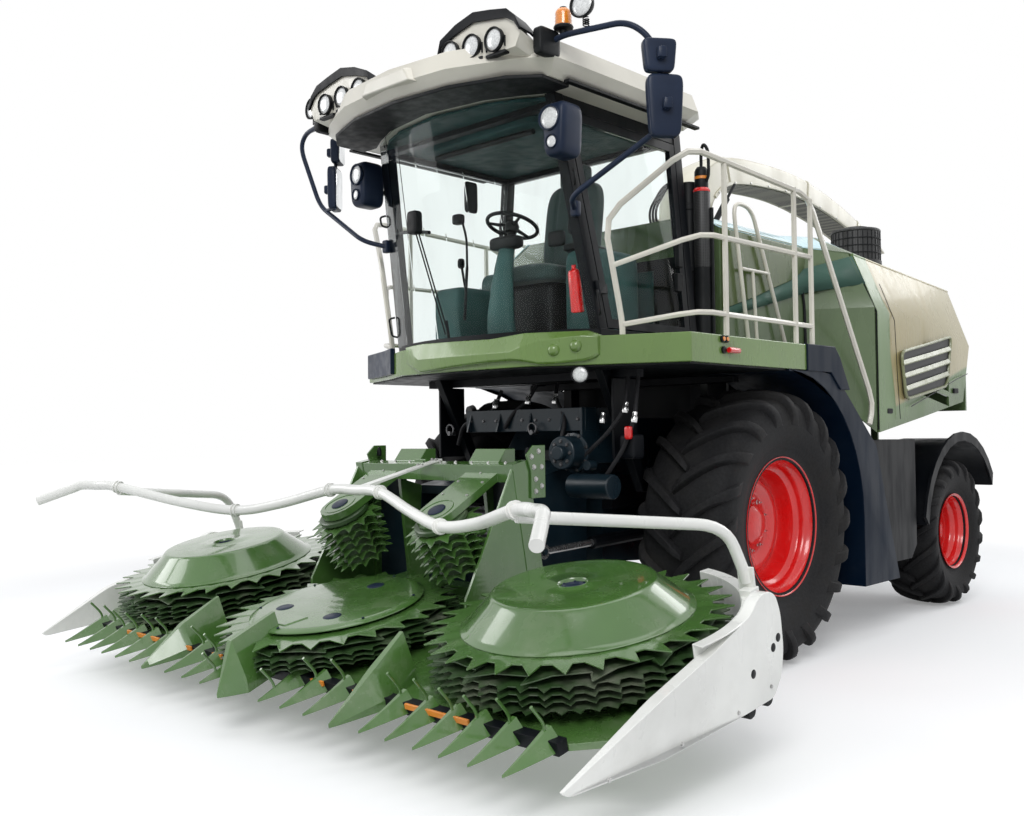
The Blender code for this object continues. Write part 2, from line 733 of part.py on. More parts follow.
def rear_wheels(machine):
    bead = REAR_RIM_RADIUS
    for side, hand in (("left", 1), ("right", -1)):
        place = (hand * REAR_TRACK / 2, WHEELBASE, REAR_TYRE_RADIUS)
        hub = empty("rear_hub_" + side, machine, place, (0, 0, 0 if hand > 0 else math.pi))
        cover = tyre(REAR_TYRE_RADIUS, REAR_TYRE_WIDTH, bead, REAR_RIM_WIDTH - 2 * RIM_SHEET - 2 * SEAT,
                     REAR_LUG_HEIGHT, REAR_LUGS, hand)
        node("rear_tyre_" + side, cover, "rubber", hub)
        node("rear_rim_" + side, rim(REAR_RIM_RADIUS, REAR_RIM_WIDTH, REAR_LUGS), "red", hub)


def bore(radius, sides):
    """A faceted hole's radius that lets a round pin turn inside with the seat gap."""
    return (radius + SEAT) / math.cos(math.pi / sides)


def rear_axle(machine):
    """The steered rear axle: beam, two knuckles with kingpins and steering arms, and the tie rod."""
    axle = empty("rear_axle_centre", machine, (0, WHEELBASE, REAR_TYRE_RADIUS))
    pin_x = KINGPIN_TRACK / 2
    inner = KNUCKLE_HALF_HEIGHT - KNUCKLE_PLATE - SEAT
    boss = KINGPIN_RADIUS + KNUCKLE_PLATE
    rise = RAIL_BASE - REAR_TYRE_RADIUS - SEAT
    beam = [box((-pin_x, -REAR_BEAM_HALF, -inner * HUB_REACH_SHARE * 2), (pin_x, REAR_BEAM_HALF, inner / 2)),
            box((-RAIL_OUTER, -REAR_BEAM_HALF * 2, 0), (RAIL_OUTER, REAR_BEAM_HALF * 2, rise)),
            rod((pin_x, 0, -inner), (pin_x, 0, inner), boss, sides=KINGPIN_SIDES),
            rod((-pin_x, 0, -inner), (-pin_x, 0, inner), boss, sides=KINGPIN_SIDES)]
    drill = [rod((hand * pin_x, 0, -2 * inner), (hand * pin_x, 0, 2 * inner),
                 bore(KINGPIN_RADIUS, KINGPIN_SIDES), sides=KINGPIN_SIDES) for hand in (1, -1)]
    node("rear_axle_beam", cut(fuse(beam), drill), "black", axle)

    face = REAR_TRACK / 2 - pin_x + wheel_face(REAR_RIM_WIDTH)
    web = boss + RUNNING
    for side, hand in (("left", 1), ("right", -1)):
        pivot = empty("kingpin_" + side, axle, (hand * pin_x, 0, 0))
        top, low = KNUCKLE_HALF_HEIGHT, KNUCKLE_HALF_HEIGHT - KNUCKLE_PLATE
        shapes = [rod((0, 0, -top), (0, 0, top), KINGPIN_RADIUS, sides=KINGPIN_SIDES)]
        for up in (1, -1):
            a, b = sorted((up * top, up * low))
            shapes.append(box((-boss, -boss, a), (web + KNUCKLE_PLATE, boss, b)))
        shapes.append(box((web, -boss + BURY, -low - BURY), (web + KNUCKLE_PLATE - BURY, boss - BURY,
                                                             low + BURY)))
        shapes.append(rod((web + BURY, 0, 0), (face - SEAT, 0, 0),
                          HUB_RADIUS * RIM_WELL_SHARE * RIM_WELL_SHARE,
                          sides=KINGPIN_SIDES))
        tip = STEER_ARM_LENGTH + 2 * TIE_ROD_RADIUS
        shapes.append(slab("z", [(-boss + BURY, 0), (boss - BURY, 0), (2 * TIE_ROD_RADIUS, tip),
                                 (-2 * TIE_ROD_RADIUS, tip)], -top + BURY / 2, -low - BURY / 2))
        shape = fuse(shapes)
        if hand < 0:
            other = mirrored(shape)
            bpy.data.objects.remove(shape, do_unlink=True)
            shape = other
        node("knuckle_" + side, shape, "black", pivot)

    reach = pin_x + TIE_ROD_RADIUS
    height = -KNUCKLE_HALF_HEIGHT - TIE_ROD_RADIUS + BURY / 2 - SEAT
    track = empty("tie_rod_centre", axle, (0, STEER_ARM_LENGTH, height))
    node("tie_rod", rod((-reach, 0, 0), (reach, 0, 0), TIE_ROD_RADIUS), "steel", track)


def chassis(machine):
    """Two frame rails with cross members, the bulkhead, the side tanks and the rear bumper weight."""
    top = RAIL_BASE + RAIL_HEIGHT
    inner = RAIL_OUTER - RAIL_WIDTH
    shapes = both(box((inner, RAIL_FRONT, RAIL_BASE), (RAIL_OUTER, RAIL_REAR, top)))
    for share in CROSS_SHARES:
        middle = between(RAIL_FRONT, RAIL_REAR, share)
        shapes.append(box((-inner - BURY, middle - CROSS_MEMBER / 2, RAIL_BASE + BURY),
                          (inner + BURY, middle + CROSS_MEMBER / 2, top - BURY)))
    for share, reach in OUTRIGGER_SHARES:
        middle = between(RAIL_FRONT, RAIL_REAR, share)
        half = RAIL_WIDTH / 2
        shapes += both(box((RAIL_OUTER - BURY, middle - half, top - RAIL_WIDTH),
                           (BODY_HALF_WIDTH * reach, middle + half, top - BURY)))
    shapes.append(box((-BODY_HALF_WIDTH * BUMPER_SHARE, RAIL_REAR - BURY, RAIL_BASE - RAIL_WIDTH),
                      (BODY_HALF_WIDTH * BUMPER_SHARE, RAIL_REAR + CROSS_MEMBER, top)))
    shapes.append(box((-BULKHEAD_HALF_WIDTH, BULKHEAD_Y, top - BURY),
                      (BULKHEAD_HALF_WIDTH, BULKHEAD_Y + PANEL, BULKHEAD_TOP)))
    tank = (TANK_REAR - TANK_FRONT) * TANK_SLOPE_SHARE
    side = [(TANK_FRONT, TANK_BASE + tank), (TANK_FRONT + tank, TANK_BASE), (TANK_REAR - tank, TANK_BASE),
            (TANK_REAR, TANK_BASE + tank), (TANK_REAR, TANK_TOP), (TANK_FRONT, TANK_TOP)]
    shapes += both(slab("x", side, RAIL_OUTER - BURY, TANK_OUTER))
    node("chassis_frame", fuse(shapes), "black", machine)


def front_axle(machine):
    """The driven front axle: casing, final drives and flanges against the wheel discs."""
    face = FRONT_TRACK / 2 + wheel_face(FRONT_RIM_WIDTH) - SEAT
    hub_z = FRONT_TYRE_RADIUS
    top = RAIL_BASE - SEAT
    shapes = [box((-RAIL_OUTER, -AXLE_BEAM_DEPTH, AXLE_BEAM_BASE), (RAIL_OUTER, AXLE_BEAM_DEPTH, top))]
    for hand in (1, -1):
        start = RAIL_OUTER - BURY
        for low, high, radius in AXLE_SHARES:
            shapes.append(rod((hand * between(start, face, low), 0, hub_z),
                              (hand * between(start, face, high), 0, hub_z),
                              DRIVE_RADIUS * radius, sides=14))
    node("front_axle", fuse(shapes), "black", machine)


def chopper(machine):
    """The knife-drum housing between the frame rails, with the lugs that carry the feeder."""
    half = RAIL_OUTER - RAIL_WIDTH - SEAT
    outline = [(RAIL_FRONT + CHOPPER_DEPTH * a, CHOPPER_BASE + CHOPPER_HEIGHT * b) for a,
               b in CHOPPER_SHARES]
    shapes = [slab("x", outline, -half, half)]
    lug = LIFT_PIN_RADIUS * 2
    for hand in (1, -1):
        a, b = sorted((hand * (half - lug / 2 - BURY), hand * (half - BURY / 10)))
        shapes.append(slab("x", [(LIFT_AXIS_Y - lug, LIFT_AXIS_Z - lug), (LIFT_AXIS_Y + lug * 3,
                                                                          LIFT_AXIS_Z - lug),
                                 (LIFT_AXIS_Y + lug * 3, LIFT_AXIS_Z + lug), (LIFT_AXIS_Y - lug,
                                                                              LIFT_AXIS_Z + lug)],
                           a, b))
    housing = fuse(shapes)
    relief = box((-half + lug / 2, LIFT_AXIS_Y - lug * 2, LIFT_AXIS_Z - lug * 1.5),
                 (half - lug / 2, LIFT_AXIS_Y + lug, LIFT_AXIS_Z + lug * 1.5))
    pin = bore(LIFT_PIN_RADIUS, KINGPIN_SIDES)
    drill = rod((-half - lug, LIFT_AXIS_Y, LIFT_AXIS_Z), (half + lug, LIFT_AXIS_Y, LIFT_AXIS_Z), pin,
                sides=KINGPIN_SIDES)
    node("chopper_housing", cut(housing, [relief, drill]), "navy", machine)


def feeder_face(k):
    """A (y, z) corner of the feeder housing, moved forwards by the seat gap."""
    back, up = FEEDER_SHARES[k]
    return (LIFT_AXIS_Y - FEEDER_BACK - FEEDER_LENGTH * back - SEAT * 1.1,
            LIFT_AXIS_Z - FEEDER_HEIGHT * (1 - up))


def feeder(lift):
    """The feed-roller housing, hung on the lift axis, with an open mouth and its toothed roller."""
    lug = LIFT_PIN_RADIUS * 2
    chopper_half = RAIL_OUTER - RAIL_WIDTH - SEAT
    inner = chopper_half - lug / 2 - SEAT
    outline = [(-FEEDER_BACK - FEEDER_LENGTH * a, -FEEDER_HEIGHT * (1 - b)) for a, b in FEEDER_SHARES]
    shapes = [slab("x", outline, -THROAT_HALF_WIDTH, THROAT_HALF_WIDTH)]
    for hand in (1, -1):
        a, b = sorted((hand * (inner - lug), hand * inner))
        shapes.append(rod((a, 0, 0), (b, 0, 0), lug * 0.8, sides=16))
        shapes.append(slab("x", [(-lug * 2.5, -lug * 1.6), (0, -lug * 0.6), (0, lug * 0.6), (-lug * 2.5,
                                                                                             lug * 0.7)],
                           a + BURY / 4, b - BURY / 4))
    shapes.append(rod((-chopper_half, 0, 0), (chopper_half, 0, 0), LIFT_PIN_RADIUS, sides=KINGPIN_SIDES))
    stub = CYLINDER_X + ROD_RADIUS * 1.4
    for start, end in ((THROAT_HALF_WIDTH - BURY, stub), (-stub, BURY - THROAT_HALF_WIDTH)):
        eye = (CYLINDER_EYE[0] - LIFT_AXIS_Y, CYLINDER_EYE[1] - LIFT_AXIS_Z)
        shapes.append(rod((start, *eye), (end, *eye), EYE_PIN))
    housing = fuse(shapes)
    mouth_y = -FEEDER_BACK - FEEDER_LENGTH * 0.62
    mouth = box((-THROAT_HALF_WIDTH + PANEL, -FEEDER_LENGTH * 1.5, -FEEDER_HEIGHT * 0.88),
                (THROAT_HALF_WIDTH - PANEL, mouth_y, -FEEDER_HEIGHT * 0.24))
    roller_y = -FEEDER_BACK - FEEDER_LENGTH * FEED_ROLLER_SHARES[0]
    roller_z = -FEEDER_HEIGHT * FEED_ROLLER_SHARES[1]
    node("feeder_housing", cut(housing, [mouth]), "navy", lift)
    spin = empty("feed_roller_axis", lift, (0, roller_y, roller_z))
    reach = THROAT_HALF_WIDTH - PANEL - SEAT
    teeth = 10
    outline = []
    for k in range(teeth):
        for turn, r in ((0.0, 1.0), (0.30, 1.0), (0.45, ROLLER_ROOT_SHARE), (0.85, ROLLER_ROOT_SHARE)):
            angle = 2 * math.pi * (k + turn) / teeth
            outline.append((FEED_ROLLER_RADIUS * r * math.cos(angle),
                            FEED_ROLLER_RADIUS * r * math.sin(angle)))
    node("feed_roller", slab("x", outline, -reach, reach), "steel", spin)


def engine(machine):
    """The engine as one plain block behind the turret, on the frame rails."""
    rear = BODY_REAR - ENGINE_BACK_SHARE * ENGINE_LENGTH
    base = RAIL_BASE + RAIL_HEIGHT - BURY + SEAT
    node("engine_block", box((-ENGINE_WIDTH / 2, rear - ENGINE_LENGTH, base),
                             (ENGINE_WIDTH / 2, rear, base + ENGINE_HEIGHT)), "black", machine)


def platform(machine):
    """The deck round the cab with its green fascia."""
    length = PLATFORM_REAR - PLATFORM_FRONT
    half = [(PLATFORM_HALF_WIDTH * a, PLATFORM_FRONT + length * b) for a, b in PLATFORM_SHARES]
    outline = half + [(-x, y) for x, y in half[::-1] if x > 0]
    deck = slab("z", outline, PLATFORM_BASE, PLATFORM_BASE + PLATFORM_HEIGHT)
    lamps = []
    for share_x, share_y in DOME_SHARES:
        for hand in (1, -1):
            place = Vector((hand * PLATFORM_HALF_WIDTH * share_x, PLATFORM_FRONT + length * share_y,
                            PLATFORM_BASE + PLATFORM_HEIGHT * 0.6))
            lamps.append(ball(place, LAMP_RADIUS * 0.8, 8))
    posts = []
    for share, top_share in POST_SHARES:
        middle = between(RAIL_FRONT, RAIL_REAR, share)
        posts += both(box((RAIL_OUTER - RAIL_WIDTH + BURY, middle - RAIL_WIDTH / 2,
                           RAIL_BASE + RAIL_HEIGHT + SEAT),
                          (RAIL_OUTER - BURY, middle + RAIL_WIDTH / 2, PLATFORM_BASE + BURY)))
    node("platform", fuse([deck] + lamps + posts), "green", machine)


def front_fenders(machine):
    """Arch sheets behind the front wheels with their broad outer panels."""
    hub = FRONT_TYRE_RADIUS
    outer = PLATFORM_BASE - hub - SEAT
    inner = outer - FENDER_SHEET
    strip = arc((0, hub), inner, 92, 0, 10) + [(inner, FENDER_BASE), (outer, FENDER_BASE)]
    strip += arc((0, hub), outer, 0, 92, 10)
    width = PLATFORM_HALF_WIDTH - FENDER_INNER_SHARE * PLATFORM_HALF_WIDTH
    panel = arc((0, hub), inner + BURY / 2, 88, 0, 10)
    reach = BODY_REAR - BODY_FRONT
    panel += [(inner + BURY / 2, FENDER_BASE + BURY / 10)]
    panel += [(outer + reach * a, between(FENDER_BASE, PLATFORM_BASE, b)) for a, b in FENDER_EDGE_SHARES]
    panel += [(PLATFORM_REAR + RUNNING, PLATFORM_BASE - SEAT * 2)]
    thick = PLATFORM_HALF_WIDTH * FENDER_PANEL_SHARE
    for side, hand in (("left", 1), ("right", -1)):
        shapes = [slab("x", strip, PLATFORM_HALF_WIDTH - width, PLATFORM_HALF_WIDTH - BURY / 2),
                  slab("x", panel, PLATFORM_HALF_WIDTH - thick, PLATFORM_HALF_WIDTH)]
        shape = fuse(shapes)
        if hand < 0:
            other = mirrored(shape)
            bpy.data.objects.remove(shape, do_unlink=True)
            shape = other
        node("front_fender_" + side, shape, "navy", machine)


def rear_fenders(machine):
    """Dark arches over the steered wheels, carried on the outriggers of the frame."""
    hub = REAR_TYRE_RADIUS
    outer = REAR_FENDER_RADIUS + FENDER_SHEET * 2
    strip = arc((WHEELBASE, hub), REAR_FENDER_RADIUS, 172, 28, 12) + arc((WHEELBASE, hub), outer, 28,
                                                                         172, 12)
    lip = arc((WHEELBASE, hub), REAR_FENDER_RADIUS + BURY / 2, 172, 28, 12)
    lip += arc((WHEELBASE, hub), outer + REAR_FENDER_RADIUS * REAR_LIP_SHARE, 34, 168, 12)
    inner = BODY_HALF_WIDTH * OUTRIGGER_SHARES[0][1] + SEAT
    for side, hand in (("left", 1), ("right", -1)):
        shapes = [slab("x", strip, inner, BODY_HALF_WIDTH - FENDER_SHEET),
                  slab("x", lip, BODY_HALF_WIDTH - FENDER_SHEET * 2, BODY_HALF_WIDTH)]
        shape = fuse(shapes)
        if hand < 0:
            other = mirrored(shape)
            bpy.data.objects.remove(shape, do_unlink=True)
            shape = other
        node("rear_fender_" + side, shape, "black", machine)


def body_span(shares, hand=1):
    low = (0, BODY_FRONT, BODY_BASE)
    high = (hand * BODY_HALF_WIDTH, BODY_REAR, BODY_TOP)
    return spot(low, high, shares)


def body(machine):
    """The fixed green body: bulkhead, the side panels beside the walkway and the hood with the turret hole."""
    shapes = []
    for hand in (1, -1):
        shapes.append(sheet([[body_span(s, hand) for s in row]
                             for row in (SIDE_LOW_SHARES, SIDE_MID_SHARES, SIDE_TOP_SHARES)], PANEL))
    rows = []
    for (across, back, up), rise in zip(HOOD_SHARES, HOOD_RISE_SHARES):
        crown = up + rise
        rows.append([body_span((-across, back, up)), body_span((-across * HOOD_CROWN_SHARE, back, crown)),
                     body_span((across * HOOD_CROWN_SHARE, back, crown)), body_span((across, back, up))])
    shapes.append(sheet(rows, PANEL))
    edge = BODY_HALF_WIDTH * HOOD_SHARES[0][0]
    eaves = between(BODY_BASE, BODY_TOP, HOOD_SHARES[0][2])
    deck = PLATFORM_BASE + PLATFORM_HEIGHT + SEAT
    wall = [(-edge, deck), (edge, deck),
            (edge, eaves), (edge * HOOD_CROWN_SHARE, BODY_TOP),
            (-edge * HOOD_CROWN_SHARE, BODY_TOP), (-edge, eaves)]
    shapes.append(slab("y", wall, BODY_FRONT - PANEL / 3, BODY_FRONT + PANEL * 0.6))
    shell = fuse(shapes)
    hole = rod((0, TURRET_Y, BODY_TOP - TURRET_HEIGHT), (0, TURRET_Y, BODY_TOP + TURRET_HEIGHT),
               TURRET_RADIUS + RUNNING, sides=24)
    node("body_shell", cut(shell, [hole]), "green", machine)


def rear_panel(machine):
    """The rear wall with the slatted air grille."""
    y = between(BODY_FRONT, BODY_REAR, 0.985)
    low = between(BODY_BASE, BODY_TOP, REAR_WALL_SHARES[0])
    high = between(BODY_BASE, BODY_TOP, REAR_WALL_SHARES[1])
    half = BODY_HALF_WIDTH * REAR_WALL_SHARES[2]
    top_half = BODY_HALF_WIDTH * REAR_WALL_SHARES[3]
    frame = slab("y", [(-half, low), (half, low), (half, between(low, high, 0.6)), (top_half, high),
                       (-top_half, high), (-half, between(low, high, 0.6))], y, y + PANEL)
    slots = []
    for k in range(REAR_SLATS):
        base = between(low, high, between(0.12, 0.88, k / REAR_SLATS))
        top = between(low, high, between(0.12, 0.88, (k + 0.55) / REAR_SLATS))
        slots.append(box((-top_half * 0.8, y - PANEL, base), (top_half * 0.8, y + PANEL * 2, top)))
    feet = both(box((RAIL_OUTER - RAIL_WIDTH + BURY, y + BURY / 2, RAIL_BASE + RAIL_HEIGHT + SEAT),
                    (RAIL_OUTER - BURY, y + PANEL - BURY / 2, low + BURY)))
    node("rear_panel", fuse([cut(frame, slots)] + feet), "olive", machine)


def door_top(back, hand):
    """A place on the engine door's hinge line, just outside the edge of the hood."""
    (across_a, back_a, up_a), (across_b, back_b, up_b) = HOOD_SHARES[2:]
    share = (back - back_a) / (back_b - back_a)
    edge = Vector(body_span((between(across_a, across_b, share), back, between(up_a, up_b, share)), hand))
    edge.x += hand * (HINGE_RADIUS + SEAT * 2) * HINGE_TILT_SHARE
    return edge


def engine_doors(machine):
    """The rear side doors, hinged along their top edges, with three-slat vents."""
    for side, hand in (("left", 1), ("right", -1)):
        top = [door_top(back, hand) for across, back, up in DOOR_TOP_SHARES]
        front = top[0]
        hinge = empty("engine_door_hinge_" + side, machine, front)
        rows = [[Vector(body_span(s, hand)) - front for s in row] for row in (DOOR_LOW_SHARES,
                                                                              DOOR_MID_SHARES)]
        rows.append([place - front for place in top])
        barrel = rod(rows[-1][0], rows[-1][-1], HINGE_RADIUS)
        panel = fuse([sheet(rows, DOOR_SHEET), barrel])
        vents = []
        for k in range(3):
            low = spot(rows[0][1], rows[1][1], (1, 1, VENT_SHARES[0] + VENT_SHARES[1] * k))
            size = VENT_SHARES[2] * (BODY_REAR - BODY_FRONT)
            height = VENT_SHARES[3] * (BODY_TOP - BODY_BASE)
            vents.append(slab("x", [(low[1], low[2]), (low[1] + size, low[2] - height),
                                    (low[1] + size, low[2]), (low[1], low[2] + height)],
                              low[0] - PANEL * 4, low[0] + PANEL * 4))
        node("engine_door_" + side, cut(panel, vents), "olive", hinge)


def lean_in(shape, hand):
    """Shears an upright side piece inwards, as the cab's sides lean."""
    lean = (CAB_HALF_WIDTH - CAB_TOP_HALF_WIDTH) / (CAB_TOP - CAB_FLOOR)
    for vertex in shape.data.vertices:
        vertex.co.x -= hand * lean * (vertex.co.z - CAB_FLOOR)
    return shape


def cab_side(back, up):
    """A (y, z) place on the cab side by shares of its length and height; the front edge leans forward."""
    foot = between(CAB_FRONT, CAB_REAR, PILLAR_LEAN_SHARES[0])
    head = between(CAB_FRONT, CAB_REAR, PILLAR_LEAN_SHARES[1])
    front = between(foot, head, up)
    return (between(front, CAB_REAR, back), between(CAB_FLOOR, CAB_TOP, up))


def cab_frame(machine):
    """Cab floor, four pillars, head frame and the lower rear wall."""
    half = CAB_HALF_WIDTH
    base = PLATFORM_BASE + PLATFORM_HEIGHT + SEAT
    foot = cab_side(0, 0)[0]
    floor = [(half, CAB_REAR), (half, foot)]
    floor += [(x, foot - SCREEN_BOW * (1 - (x / half) ** 2) - GLASS * 4)
              for x in (half * (1 - k / 5) for k in range(1, 10))]
    floor += [(-half, foot), (-half, CAB_REAR)]
    shapes = [slab("z", floor, base, CAB_FLOOR + CAB_PANEL)]
    ring = CAB_TOP_HALF_WIDTH
    for hand in (1, -1):
        for back, deep in ((0.0, PILLAR), (1.0, -PILLAR)):
            low, high = cab_side(back, 0), cab_side(back, 1)
            post = slab("x", [low, (low[0] + deep, low[1]), (high[0] + deep, high[1]), high],
                        *sorted((hand * (half - PILLAR), hand * half)))
            shapes.append(lean_in(post, hand))
        rail = slab("x", [cab_side(0, 1 - PILLAR / (CAB_TOP - CAB_FLOOR)), cab_side(1,
            1 - PILLAR / (CAB_TOP - CAB_FLOOR)),
                          cab_side(1, 1), cab_side(0, 1)],
                          *sorted((hand * (half - PILLAR + BURY), hand * (half - BURY))))
        shapes.append(lean_in(rail, hand))
    for y in (cab_side(0, 1 - PILLAR / (CAB_TOP - CAB_FLOOR))[0] + PILLAR / 2, CAB_REAR - PILLAR / 2):
        shapes.append(box((-ring, y - PILLAR / 2 + BURY, CAB_TOP - PILLAR + BURY), (ring,
            y + PILLAR / 2 - BURY, CAB_TOP - BURY / 2)))
    wall = between(CAB_FLOOR, CAB_TOP, REAR_SILL_SHARE)
    shapes.append(box((-half + PILLAR, CAB_REAR - CAB_PANEL, CAB_FLOOR), (half - PILLAR, CAB_REAR - BURY,
                                                                          wall)))
    node("cab_frame", fuse(shapes), "black", machine)


def windows(machine):
    """Windscreen, right side pane and rear pane."""
    tip = (cab_side(0, 0)[0] - cab_side(0, 1)[0]) / (CAB_TOP - CAB_FLOOR) * GLASS / 2
    low, high = CAB_FLOOR + CAB_PANEL + SEAT + tip, CAB_TOP - SEAT - tip
    rows = []
    for share in (0, 0.5, 1):
        z = between(low, high, share)
        up = (z - CAB_FLOOR) / (CAB_TOP - CAB_FLOOR)
        half = between(CAB_HALF_WIDTH, CAB_TOP_HALF_WIDTH, up) - GLASS
        y = cab_side(0, up)[0] - GLASS / 2 * math.hypot(1, 2 * SCREEN_BOW / half) - SEAT * 2
        rows.append([(half * a, y - SCREEN_BOW * (1 - a * a), z) for a in SCREEN_SHARES])
    node("windscreen", sheet(rows, GLASS), "glass", machine)
    gap = PILLAR + SEAT * 2
    length = CAB_REAR - CAB_FRONT
    base = (low - CAB_FLOOR) / (CAB_TOP - CAB_FLOOR)
    top = 1 - (PILLAR + SEAT * 2) / (CAB_TOP - CAB_FLOOR)
    pane = [cab_side(0, base), cab_side(1, base), cab_side(1, top), cab_side(0, top)]
    pane = [(y + gap, z) if k in (0, 3) else (y - gap, z) for k, (y, z) in enumerate(pane)]
    x = -CAB_HALF_WIDTH + PILLAR / 2
    node("side_window", lean_in(slab("x", pane, x - GLASS / 2, x + GLASS / 2), -1), "glass", machine)
    sill = between(CAB_FLOOR, CAB_TOP, REAR_SILL_SHARE) + SEAT
    lean = (CAB_HALF_WIDTH - CAB_TOP_HALF_WIDTH) / (CAB_TOP - CAB_FLOOR)
    head = CAB_TOP - PILLAR
    rear = []
    for z in (sill, head):
        rear.append(CAB_HALF_WIDTH - PILLAR - GLASS - lean * (z - CAB_FLOOR))
    node("rear_window", slab("y", [(-rear[0], sill), (rear[0], sill), (rear[1], head), (-rear[1], head)],
                             CAB_REAR - CAB_PANEL, CAB_REAR - CAB_PANEL + GLASS), "glass", machine)


def hinge_place(z):
    """A place on the door's hinge line before the cab side is leant in; it runs along the front pillar."""
    up = (z - CAB_FLOOR) / (CAB_TOP - CAB_FLOOR)
    return Vector((CAB_HALF_WIDTH + HINGE_RADIUS + SEAT * 2, cab_side(0, up)[0] + PILLAR / 2, z))


def cab_door(machine):
    """The left door: frame with a cut window, its pane and two hinge barrels along the front pillar."""
    low = CAB_FLOOR + CAB_PANEL + RUNNING
    top = CAB_TOP - PILLAR - RUNNING
    height = CAB_TOP - CAB_FLOOR
    base, head = (low - CAB_FLOOR) / height, (top - CAB_FLOOR) / height
    x = CAB_HALF_WIDTH

    def ring(inset):
        share = inset / height
        points = [cab_side(0, base + share), cab_side(1, base + share), cab_side(1, head - share),
                  cab_side(0, head - share)]
        gap = PILLAR + RUNNING + inset
        return [(y + gap, z) if k in (0, 3) else (y - gap, z) for k, (y, z) in enumerate(points)]

    axis = hinge_place(CAB_FLOOR)
    hinge = empty("cab_door_hinge", machine, axis)
    frame = slab("x", ring(0), x - CAB_PANEL, x)
    window = slab("x", ring(DOOR_FRAME), x - 2 * CAB_PANEL, x + CAB_PANEL)
    frame = cut(frame, [window])
    shapes = [lean_in(frame, 1)]
    for share in DOOR_HINGE_SHARES:
        z = between(low, top, share)
        place = hinge_place(z)
        tall = Vector((0, 0, HINGE_RADIUS * 2))
        strap = box(Vector((x + SEAT * 2, place.y + HINGE_RADIUS / 2, z)) - tall,
                    Vector((x + HINGE_RADIUS, place.y + PILLAR, z)) + tall)
        pad = box(Vector((x - CAB_PANEL + BURY, place.y + PILLAR * 0.9, z)) - tall,
                  Vector((x + HINGE_RADIUS - BURY / 4, place.y + PILLAR * 1.25, z)) + tall)
        barrel = rod(hinge_place(z - HINGE_RADIUS * 3), hinge_place(z + HINGE_RADIUS * 3), HINGE_RADIUS)
        shapes += [lean_in(pad, 1), lean_in(strap, 1), lean_in(barrel, 1)]
    door = fuse(shapes)
    door.data.transform(Matrix.Translation(-axis))
    node("cab_door", door, "black", hinge)
    pane = lean_in(slab("x", ring(DOOR_FRAME + SEAT), x - CAB_PANEL / 2 - GLASS / 2,
                        x - CAB_PANEL / 2 + GLASS / 2), 1)
    pane.data.transform(Matrix.Translation(-axis))
    node("cab_door_window", pane, "glass", hinge)


def roof(machine):
    """The domed roof with lamp pods at the front corners."""
    middle = between(ROOF_FRONT, ROOF_REAR, 0.5)
    half = [(ROOF_HALF_WIDTH * a, between(ROOF_FRONT, ROOF_REAR, b)) for a, b in ROOF_SHARES]
    outline = half + [(-x, y) for x, y in half[::-1] if x > 0]
    base = CAB_TOP + SEAT
    rings = []
    for up, size in ROOF_LEVEL_SHARES:
        rings.append([(x * size, middle + (y - middle) * size, base + ROOF_HEIGHT * up) for x, y in outline])
    shapes = [loft(rings)]
    for hand in (1, -1):
        pod = []
        for y, size in ((ROOF_FRONT - POD_REACH, 1.0), (ROOF_FRONT + POD_DEPTH, POD_REAR_SHARE)):
            pod.append([(hand * ROOF_HALF_WIDTH * across, y, base + ROOF_HEIGHT * up * size) for across,
                        up in POD_SHARES])
        shapes.append(loft(pod))
        for across, drop in ROOF_LAMP_SHARES:
            x = hand * ROOF_HALF_WIDTH * across
            z = base + ROOF_HEIGHT * drop
            y = ROOF_FRONT + LAMP_RADIUS
            shapes.append(rod((x, y - LAMP_RADIUS * 1.6, z), (x, y + LAMP_RADIUS * 3.5, z), LAMP_RADIUS,
                              sides=10))
    node("cab_roof", fuse(shapes), "cream", machine)


